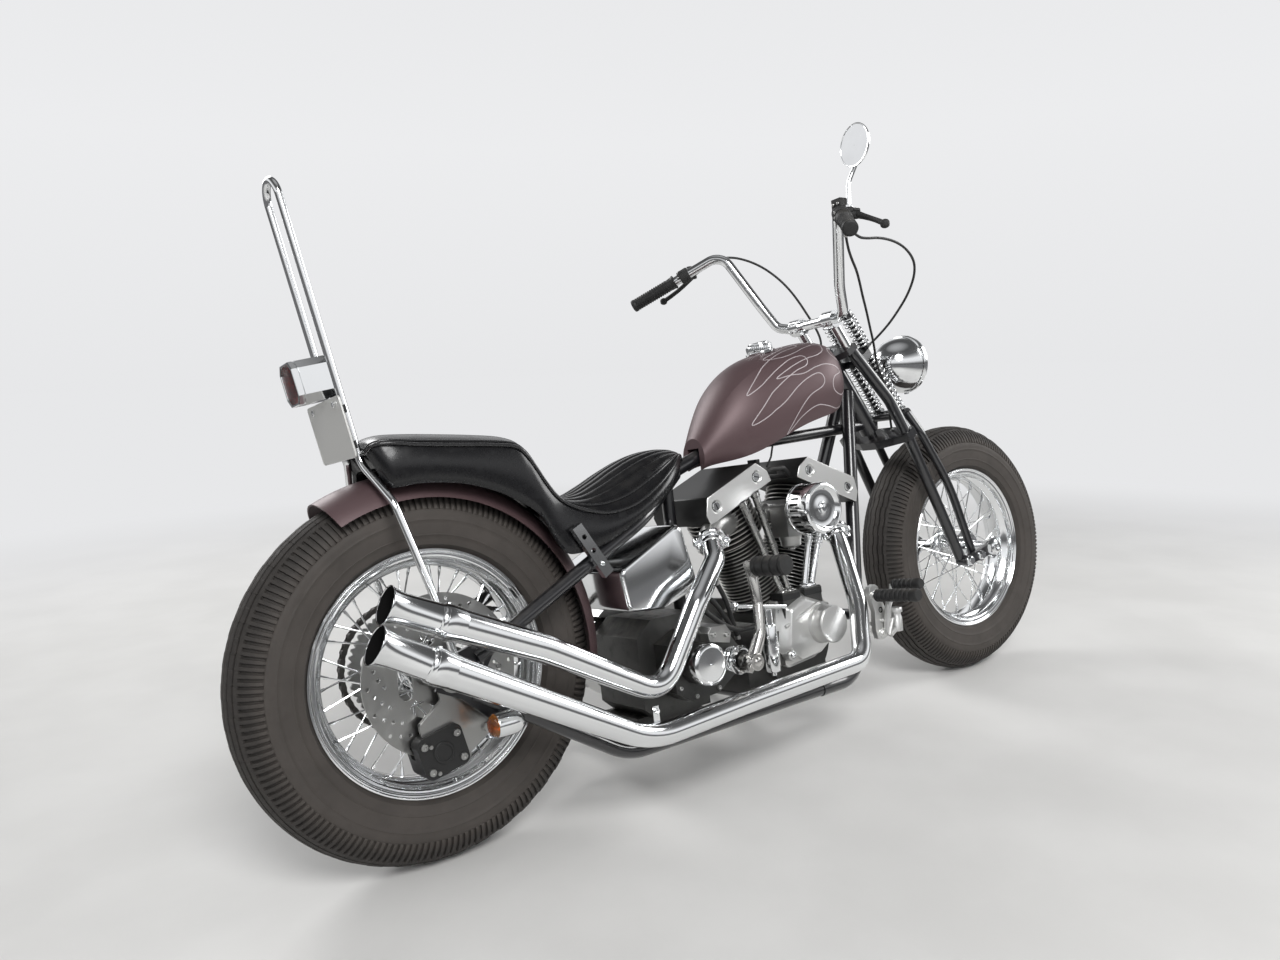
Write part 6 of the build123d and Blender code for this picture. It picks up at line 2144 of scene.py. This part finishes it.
@dataclass
class HandControls(SubAssembly):
    """Grips, perches with their levers, switch box and mirror on the high bar.

    Attributes:
        end: End of the bar on the left in the fork's frame.
        shoulder: The bend that the grip's line points to.
        perch: Distance of the perch from the bar's end.
        switch: Distance of the switch box on the right from the bar's end.
        ribs: Number of ribs on a grip.
    """

    end: Point = (-141.5, 399.0, 1034.6)
    shoulder: Point = (54.9, 214.0, 1028.6)
    perch: float = 158.0
    switch: float = 190.0
    ribs: int = 15

    def line(self, space: Space, side: int) -> tuple[Vector, Vector]:
        """Return a bar's end and the way inward from it, with the fork straight ahead.

        Args:
            space: Where the bike's frames lie.
            side: 1 on the left, -1 on the right.

        Returns:
            The end and the way.
        """
        ends = [space.steered.inverted() @ space.fork @ vec(n, side * y, s)
                for n, y, s in (self.end, self.shoulder)]
        return ends[0], (ends[1] - ends[0]).normalized()

    def grip(self) -> list[tuple[float, float]]:
        """Return a grip's profile."""
        profile = [(0.5, -6), (12, -6), (15.4, -5), (16.8, -2.6), (16.8, 4)]
        for i in range(self.ribs):
            z = 9 + i * 6.6
            profile += [(15.4, z - 2.4), (15.4, z - 1.2), (16.8, z - 0.2), (16.8, z + 1.8), (15.4, z + 2.8)]
        return [*profile, (16.6, 116), (16.8, 122), (18.6, 124), (18.6, 127.4), (17.4, 128), (12.8, 128)]

    def controls(self, form: Form, at: Vector, way: Vector, end: Vector, side: int) -> None:
        """Add one side's perch and lever.

        Args:
            form: Takes them.
            at: Middle of the perch.
            way: The bar's way inward.
            end: The bar's end.
            side: 1 on the left, -1 on the right.
        """
        ringed = facing(at, way)
        form.lathe([(12.8, -13), (17.6, -13), (19.4, -11.4), (19.4, 11.4), (17.6, 13), (12.8, 13)], ringed,
                   36)
        form.block((9, 15, 20), Matrix.Translation(at + vec(-17, 0, 0)))
        for dz in (-6.0, 6.0):
            form.cap_screw(facing(at + vec(-21, 0, dz), (-1, 0, 0)), 3.4, 3, mark=1)
        pivot = at + vec(34, side * 8, 4)
        form.tube([at + vec(14, 0, 2), pivot], [10, 9], 20)
        form.lathe([(9.6, -9), (10.4, -8), (10.4, -2), (8, -1.4), (8, 5), (10.4, 5.6), (10.4, 10), (9.6, 11)],
                   Matrix.Translation(pivot), 28, capped=True)
        form.bolt(Matrix.Translation(pivot + vec(0, 0, 11)), 5.4, 3, mark=1)
        tip = end + way * 14 + vec(92, side * 13, 8)
        run = tip - pivot
        route = [pivot + run * share + Vector((9 * math.sin(math.pi * share), 0, 0))
                 for share in (0.0, 0.08, 0.2, 0.4, 0.6, 0.8, 0.93, 1.0)]
        form.tube(route, [8.5, 8, 6.8, 5.8, 5.6, 5.8, 6, 5.4], 16)
        for sign in (1, -1):
            form.dome(facing(tip, (0, 0, sign)), 9.6, 9.6)

    def mirror(self, shop: Shop, at: Vector) -> None:
        """Hang the mirror on the right perch.

        Args:
            shop: Makes the piece.
            at: Middle of that perch.
        """
        base = at + vec(20, -2, 13)
        route = rounded([base, base + vec(6, 0, 60), base + vec(30, -18, 118)], 60, 8)
        form = Form().tube(route, 5, 18)
        form.lathe([(10, -4), (10, 5), (8, 6)], Matrix.Translation(base), 24, mark=2, capped=True)
        form.bolt(Matrix.Translation(base + vec(0, 0, 6)), 8, 6)
        middle = base + vec(2, -30, 132)
        head = facing(middle, (-1, 0.1, 0.06))
        form.lathe([(0.5, -12), (14, -11.8), (30, -10.4), (40, -7.8), (45, -4.4), (46, -2), (46, -0.4),
                    (45, 0.6), (43.4, 0.4), (42.8, -0.6)], head, 64)
        form.lathe([(42.8, -0.5), (0.5, -0.5)], head, 64, mark=1)
        form.tube([base + vec(30, -18, 112), base + vec(8, -28, 128)], [7, 5.6], 18, mark=2)
        for sign in (1, -1):
            form.dome(facing(base + vec(30, -18, 113), (0, 0, sign)), 9, 9, mark=2)
        shop.piece("round_mirror", form, CHROME, MIRROR_GLASS, PLASTIC, body=Body.FORK,
                   place=shop.space.steered, replaces="mirror", sharp=30)

    def build(self, shop: Shop) -> None:
        """Make all of them in place of their CAD nodes."""
        grips, levers = Form(), Form()
        for side in SIDES:
            end, way = self.line(shop.space, side)
            at = end + way * self.perch
            grips.lathe(self.grip(), facing(end, way), 36)
            self.controls(levers, at, way, end, side)
            if side > 0:
                boss = Matrix.Translation(at + vec(22, 2, 26))
                levers.lathe([(0.5, -16), (5, -16), (5, 0), (9, 0), (9.5, -0.6), (9.5, -24)], boss, 28)
            else:
                switch = end + way * self.switch
                box = facing(switch, way)
                levers.lathe([(12.8, -12), (18.4, -12), (19.6, -10.6), (19.6, 10.6), (18.4, 12), (12.8, 12)],
                             box, 32)
                levers.block((30, 26, 30), Matrix.Translation(switch + vec(2, 0, 17)))
                for dx in (-7.0, 7.0):
                    levers.dome(facing(switch + vec(-13, dx, 20), (-1, 0, 0)), 4, 4, mark=1)
                self.mirror(shop, at)
        shop.piece("bar_grips", grips, RUBBER, body=Body.FORK, place=shop.space.steered, replaces="grips",
                   sharp=50)
        shop.piece("levers_and_perches", levers, PLASTIC, STEEL, body=Body.FORK, place=shop.space.steered,
                   replaces="hand_levers", bevel=1.2, sharp=40)


@dataclass
class ControlCables(SubAssembly):
    """Throttle, idle and clutch cables in black sheaths with plated ferrules.

    Attributes:
        routes: The CAD cables' points in the fork's frame.
        radius: Radius of a sheath.
    """

    routes: dict[str, tuple[Point, ...]] = field(default_factory=lambda: {
        "throttle_cable": (
            (-38, -300, 1013), (-26, -298, 976), (6, -293, 955), (42, -287, 938), (80, -279, 914),
            (118, -268, 884), (150, -254, 850), (175, -236, 812), (187, -212, 778), (190, -184, 748),
            (182, -156, 721), (168, -128, 699), (151, -99, 678), (136, -66, 660), (124, -36, 646),
            (110, -14, 638)),
        "idle_cable": (
            (-46, -300, 1013), (-50, -286, 975), (-33, -262, 936), (-12, -239, 898), (2, -216, 861),
            (17, -190, 822), (34, -162, 776), (51, -130, 725), (64, -108, 690), (71, -88, 652),
            (68, -72, 612), (65, -69, 570), (58, -64, 528), (46, -56, 486), (30, -50, 450), (22, -48, 428)),
        "clutch_cable": (
            (6, 288, 1017), (32, 266, 1022), (62, 244, 1019), (92, 226, 1001), (116, 209, 972),
            (135, 194, 938), (146, 180, 902), (149, 165, 868), (142, 146, 836), (127, 124, 806),
            (109, 102, 780), (91, 80, 753), (73, 62, 724), (53, 52, 704), (34, 48, 692)),
    })
    radius: float = 3.0

    def build(self, shop: Shop) -> None:
        """Lay the cables in place of their CAD node."""
        place, ferrules = shop.space.fork, Form()
        for name, route in self.routes.items():
            curve = bpy.data.curves.new(name, "CURVE")
            curve.dimensions, curve.bevel_depth, curve.bevel_resolution = "3D", self.radius * MM, 3
            line = curve.splines.new("NURBS")
            line.points.add(len(route) - 1)
            for point, corner in zip(line.points, route):
                point.co = (*(place @ Vector(corner)), 1.0)
            line.order_u, line.use_endpoint_u, line.resolution_u = 3, True, 8
            curve.materials.append(RUBBER.material())
            made = in_scene(name, curve)
            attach(made, Body.FORK.value)
            if name.startswith("throttle"):
                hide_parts("control_cables")
            for end, nearby, length in ((route[0], route[1], 24), (route[-1], route[-2], 12)):
                at = facing(end, Vector(nearby) - Vector(end))
                ferrules.lathe([(4.4, -3), (4.8, -2), (4.8, length * 0.6), (4, length * 0.65),
                                (4, length - 2), (3.1, length)], at, 18, capped=True)
        shop.piece("cable_ferrules", ferrules, STEEL, body=Body.FORK, place=place)


@dataclass
class ForkFittings(SubAssembly):
    """Nuts, screws and collars on the fork, in its own frame.

    Attributes:
        rods: Distance of the spring rods ahead of the axis, and from the middle.
        rod_top: Where the rods end.
        legs: Half the distance between the rigid legs.
        clamp: Middle of the bar's clamp on the left.
    """

    rods: tuple[float, float] = (95.0, 36.0)
    rod_top: float = 762.0
    legs: float = 100.0
    clamp: Point = (20.5, 59.0, 782.7)

    def build(self, shop: Shop) -> None:
        """Add them all."""
        form, ahead = Form(), self.rods[0]
        form.bolt(shift(z=700), 22, 9)
        form.lathe([(15, 8), (15, 14), (12, 17), (0.5, 18)], shift(z=700), 32)
        for side in SIDES:
            rod = shift(ahead, side * self.rods[1], 0)
            form.bolt(rod @ shift(z=757), 13, 9)
            form.dome(rod @ shift(z=self.rod_top), 8.4, 8)
            for s in (451, 633.4, 650.4, 744):
                form.lathe([(17.6, -1.6), (18.4, -0.8), (18.4, 0.8), (17.6, 1.6)], rod @ shift(z=s),
                           36, capped=True)
            for n, s, radius in ((-37, 36, 12), (8, 16, 11)):
                pin = facing((n, side * 126, s), (0, side, 0))
                form.lathe([(radius + 3, 0), (radius + 3, 2)], pin, 28, capped=True)
                form.bolt(pin @ shift(z=2), radius, 7)
            axle = facing((Space.AXLE_LEAD, side * 126.6, 0), (0, side, 0))
            form.lathe([(23, 0), (23, 2)], axle, 36, capped=True)
            form.bolt(axle, 20.6, 11.6)
            x, y, s = self.clamp
            for dy in (-9, 9):
                form.cap_screw(facing((x + 21, side * y + dy, s), (1, 0, 0)), 4.6, 5)
                form.cap_screw(facing((x - 21, side * y + dy, s), (-1, 0, 0)), 4.6, 5)
            form.cap_screw(facing((31, side * (self.legs - 2), 425), (1, 0, 0)), 5.4, 6)
            form.cap_screw(facing((37, side * 62, 692), (1, 0, 0)), 5, 5)
        shop.piece("fork_nuts", form, CHROME, body=Body.FORK, place=shop.space.fork)


@dataclass
class FrameTrim(SubAssembly):
    """Engine's top bracket with its hoses, primary cover's screws, and the bevelled oil tank.

    Attributes:
        oil_tank: Corners of the oil tank in the side view.
        levels: Half width of the tank at shares of its outline.
        primary_screws: Places of the screws round the primary cover.
    """

    oil_tank: Pairs = ((372, 462), (536, 540), (566, 398), (470, 370), (384, 378))
    levels: Pairs = (
        (122.0, 0.90), (121.6, 0.93), (119, 0.965), (114, 0.99), (108, 1.0))
    primary_screws: Pairs = (
        (440, 190), (470, 346), (600, 352), (730, 338), (900, 318), (950, 226), (880, 148), (720, 166),
        (600, 176))

    def build(self, shop: Shop) -> None:
        """Add them all."""
        corners = [vec(x, z, 0) for x, z in self.oil_tank]
        middle = sum(corners, Vector()) / len(corners)
        start = (corners[0] + corners[-1]) / 2
        outline = rounded([start, *corners, start], 16, 6)[:-1]
        steps = [(y, share) for y, share in self.levels] + [(-y, share) for y, share in reversed(self.levels)]
        rows = []
        for y, share in steps:
            rows.append([(p.x, y, p.y) for p in (middle + (q - middle) * share for q in outline)])
        tank = Form().skin(rows, capped=True)
        for x, half, top in ((404, 110.4, 466), (500, 104.0, 511)):
            for side in SIDES:
                tank.block((18, 6, top - 436), Matrix.Translation((x, side * half, (top + 436) / 2)))
        tank.bolt(facing((470, -60, 371), (0, 0, -1)), 9, 7)
        shop.piece("oil_tank_shell", tank, CHROME, replaces="oil_tank", sharp=30)
        form = Form().block((78, 70, 8), shift(870, 0, 614))
        form.block((12, 30, 34), shift(870, 0, 632))
        for side in SIDES:
            form.tube(rounded([(820, side * 66, 600), (846, side * 72, 622), (894, side * 72, 622),
                               (920, side * 66, 600)], 18), 6, 16, mark=1)
            form.cap_screw(shift(870, side * 26, 618), 6, 6)
        form.tube(rounded([(900, -40, 678), (884, -46, 650), (872, -40, 628)], 14), 2.4, 10, mark=1)
        shop.piece("top_bracket", form, ENGINE_BLACK, RUBBER, bevel=1.2)
        screws = Form()
        for px, pz in ring(54, 5, 18):
            screws.cap_screw(facing((525 + px, 178, 262 + pz), (0, 1, 0)), 4, 3)
        for px, pz in ring(24, 3, 30):
            screws.cap_screw(facing((700 + px, 173, 246 + pz), (0, 1, 0)), 3.4, 3)
        for px, pz in self.primary_screws:
            screws.cap_screw(facing((px, 166, pz), (0, 1, 0)), 5, 6)
        shop.piece("primary_screws", screws, CHROME)


# Bodywork


@dataclass
class Saddle(SubAssembly):
    """Stepped two-person saddle in smooth black leather with a pleated rider pan and piped edges.

    Attributes:
        stations: From rear to nose: x and z of the crown, x, z and half width of the piped edge, then x, z
            and half width of the skirt's lower edge.
        pleats: How many channels run along the rider pan.
        pleat_rise: Height of a channel.
        pan: Crown x between which the channels fade in and out.
        fender: Radius of the fender under the passenger pad, about the rear axle.
        across: Points over the top of a section.
        skirt: Points down each skirt.
    """

    stations: tuple[Numbers, ...] = (
        (-76, 750, -80, 736, 62, -60, 684, 70),
        (-66, 763, -74, 746, 84, -52, 674, 90),
        (-42, 770, -48, 747, 96, -42, 673.5, 98),
        (10, 769, 5, 740, 102, 5, 676, 103),
        (76, 764, 72, 734, 105, 75, 667.5, 107),
        (140, 758, 135, 729, 107, 140, 645.5, 109),
        (190, 751, 184, 722, 108, 188, 618.5, 111),
        (222, 738, 205, 705, 108, 212, 600, 113),
        (241, 708, 220, 682, 109, 224, 584, 114),
        (257, 668, 238, 650, 110, 237, 556, 116),
        (277, 636, 258, 621, 112, 250, 530, 118),
        (306, 620, 285, 600, 116, 268, 513, 120),
        (350, 622, 324, 585, 121, 310, 514, 124),
        (396, 640, 366, 578, 125, 355, 524, 128),
        (442, 662, 423, 586, 124, 410, 547, 128),
        (500, 684, 484, 612, 116, 468, 572, 121),
        (556, 694, 541, 644, 99, 526, 600, 105),
        (604, 692, 582, 667, 74, 568, 623, 84),
        (636, 681, 612, 675, 46, 598, 640, 55),
        (654, 666, 632, 668, 20, 624, 648, 25),
    )
    pleats: int = 10
    pleat_rise: float = 6.5
    pan: Numbers = (290.0, 312.0, 600.0, 640.0)
    fender: float = 371.0
    across: int = 81
    skirt: int = 13

    def crown(self, station: Sequence[float], share: float) -> Vector:
        """Return a point of the top.

        Args:
            station: One row of the table.
            share: From -1 at one piped edge to 1 at the other.

        Returns:
            The point.
        """
        xt, zt, xp, zp, half, *_ = station
        drop = abs(share) ** 2.3
        low, full, fading, end = self.pan
        ease = min(max((xt - low) / (full - low), 0.0), max(min(1.0, (end - xt) / (end - fading)), 0.0), 1.0)
        local = abs((abs(share) * self.pleats / 2) % 1.0 * 2 - 1)
        rise = self.pleat_rise * (math.sqrt(max(0.0, 1 - local ** 3)) - 0.72) * ease * (1 - abs(share) ** 12)
        return Vector((xt + (xp - xt) * drop, half * share, zt + (zp - zt) * drop + rise))

    def row(self, station: Sequence[float]) -> list[Vector]:
        """Return one closed section: over the top, down a skirt, under the pad and up the other skirt.

        Args:
            station: One row of the table.

        Returns:
            The section's points.
        """
        xp, zp, half, xb, zb, low_half = station[2:]
        top = [self.crown(station, -1 + 2 * i / (self.across - 1)) for i in range(self.across)]
        side = []
        for i in range(1, self.skirt + 1):
            t = i / self.skirt
            bulge = 7.0 * math.sin(math.pi * t) ** 0.8
            side.append(Vector((xp + (xb - xp) * t, half + (low_half - half) * t + bulge,
                                zp + (zb - zp) * t)))
        inner = max(low_half - 9, 6.0)
        roof = zb + 8
        if xb < self.fender:
            roof = max(roof, Space.TYRE_RADIUS + math.sqrt(self.fender ** 2 - xb ** 2) + 4)
        roof = min(roof, zp - 12)
        under = [vec(xb, low_half - 3, zb - 1.5), vec(xb, inner, zb), vec(xb, inner - 3, roof - 6),
                 vec(xb, inner - 12, roof), vec(xb, 0, roof + 2)]
        flip = [vec(p.x, -p.y, p.z) for p in reversed(side[:-1] + under[:-1])]
        return top + side + under + flip

    def build(self, shop: Shop) -> None:
        """Make the saddle in place of its CAD solid, with its piping."""
        sections = smooth(self.stations, 9)
        body = Form().skin([self.row(station) for station in sections], capped=True)
        hide = shop.piece("saddle", body, LEATHER, replaces="seat", sharp=55)
        cords = Form()
        for share, size, lift in ((1.0, 3.4, 1.2), (0.86, 2.6, 0.6)):
            right = [self.crown(station, -share) + vec(0, -lift, lift) for station in sections]
            left = [vec(p.x, -p.y, p.z) for p in right]
            cords.tube([*right, *reversed(left)], size, 10, closed=True)
        shop.piece("saddle_piping", cords, PIPING, sharp=60)


@dataclass
class TankTrim(SubAssembly):
    """Pinstriped flames and the cap on the fuel tank.

    Attributes:
        spine: Points x, z of the line inside the tank that the stripes are aimed at.
        licks: Stripes as x and angle up from the side, in degrees, from the front of the tank backwards.
        width: Width of a stripe.
        lift: Height of the paint over the tank.
        cap: Middle of the cap's foot.
    """

    spine: Pairs = ((690, 676), (752, 718), (860, 778), (1000, 818), (1122, 832))
    licks: tuple[Pairs, ...] = (
        ((1118, -40), (1076, -39), (1030, -31), (985, -27), (940, -33), (902, -46), (931, -26), (966, -13),
         (1004, -9), (1018, -2), (1010, 7), (976, 8), (934, 3), (884, -9), (838, -14), (796, -10), (846, 6),
         (894, 16), (944, 22), (978, 23), (990, 30), (980, 38), (944, 40), (896, 35), (846, 28), (800, 32),
         (850, 44), (900, 53), (952, 59), (1002, 60), (1014, 67), (1004, 75), (966, 78), (916, 77),
         (868, 80)),
        ((1120, -22), (1086, -24), (1054, -17), (1046, -8), (1056, 0), (1082, 4), (1070, 12), (1034, 17),
         (1001, 16), (962, 15), (924, 20), (884, 24), (929, 29), (972, 31), (1020, 31), (1050, 36),
         (1060, 44), (1050, 52), (1016, 50), (978, 47), (930, 48), (886, 58), (936, 64), (986, 70),
         (1036, 68), (1076, 62), (1118, 58)),
        ((1121, 20), (1094, 22), (1072, 30), (1078, 40), (1104, 42), (1121, 38)),
    )
    width: float = 2.3
    lift: float = 0.3
    cap: Numbers = (934.0, 0.0, 910.0)

    def aim(self, x: float) -> float:
        """Return the height of the spine there."""
        xs, zs = zip(*self.spine)
        return float(np.interp(x, xs, zs))

    def stripe(self, tank: BVHTree, place: Matrix, side: int, line: Sequence[tuple[float, float]],
               form: Form) -> None:
        """Lay one stripe on the tank.

        Args:
            tank: The tank's surface in the row frame.
            place: The bike's frame.
            side: 1 on the left, -1 on the right.
            line: The stripe's points.
            form: Takes the stripe's ribbon.
        """
        hits = []
        for x, angle in smooth(line, 9):
            turn = math.radians(angle)
            centre = Vector((x, 0, self.aim(x)))
            out = Vector((0, side * math.cos(turn), math.sin(turn)))
            start, way = place @ (centre + out * 200), -(place.to_3x3() @ out).normalized()
            at, normal, *_ = tank.ray_cast(start, way)
            if at is not None:
                hits.append((place.inverted() @ at, (place.to_3x3().inverted() @ normal).normalized()))
        rows = []
        for i, (at, normal) in enumerate(hits):
            ahead = hits[min(i + 1, len(hits) - 1)][0] - hits[max(i - 1, 0)][0]
            across = normal.cross(ahead).normalized()
            end = min(i, len(hits) - 1 - i) / 6
            half = self.width / 2 * min(1.0, 0.35 + end)
            rows.append([at - across * half, at - across * half * 0.5 + normal * self.lift,
                         at + across * half * 0.5 + normal * self.lift, at + across * half])
        form.skin(rows, around=False)

    def build(self, shop: Shop) -> None:
        """Paint both sides and screw the cap on."""
        node, place = shop.nodes["fuel_tank"], shop.space.chassis
        mesh = node.data
        tank = BVHTree.FromPolygons([v.co.copy() for v in mesh.vertices], [p.vertices for p in mesh.polygons])
        form = Form()
        for side in SIDES:
            for line in self.licks:
                self.stripe(tank, place, side, line, form)
        shop.piece("tank_pinstripes", form, PINSTRIPE, sharp=80)
        at = Matrix.Translation(self.cap) @ rotation(-10, "Y")
        cap = Form().lathe([(35, -9), (36, -4), (31.2, -2), (31.2, 0)], at, 48, capped=True)
        profile = [(30.8, -2), (31.4, 0), (31.4, 11), (30, 13), (25.2, 14), (25.2, 17), (24, 19), (12, 20),
                   (0.5, 20.2)]
        cap.lathe(profile, at, 64)
        for x, y in ring(31.2, 40):
            cap.lathe([(1.1, 1.0), (1.1, 10.5)], at @ shift(x, y, 0), 6, capped=True)
        shop.piece("fuel_cap_cover", cap, CHROME, sharp=40)


def main() -> None:
    """Load the frame, dress it and build each sub-assembly in order."""
    logging.basicConfig(level=logging.INFO, format="%(message)s")
    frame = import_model()
    shop = Shop(frame)
    shop.dress()
    for part in (Studio(), Wheels(), ForkSprings(), DriveChain(), Saddle(), TankTrim(), Cylinders(),
                 RockerBoxes(), PushrodTubes(), AirCleaner(), CamCover(), Kicker(), OilFittings(), Exhausts(),
                 ForwardControls(), RearBrake(), RearLights(), Headlamp(), HandControls(), ControlCables(),
                 ForkFittings(), FrameTrim()):
        part.build(shop)
    bpy.context.view_layer.update()


if __name__ == "__main__":
    main()
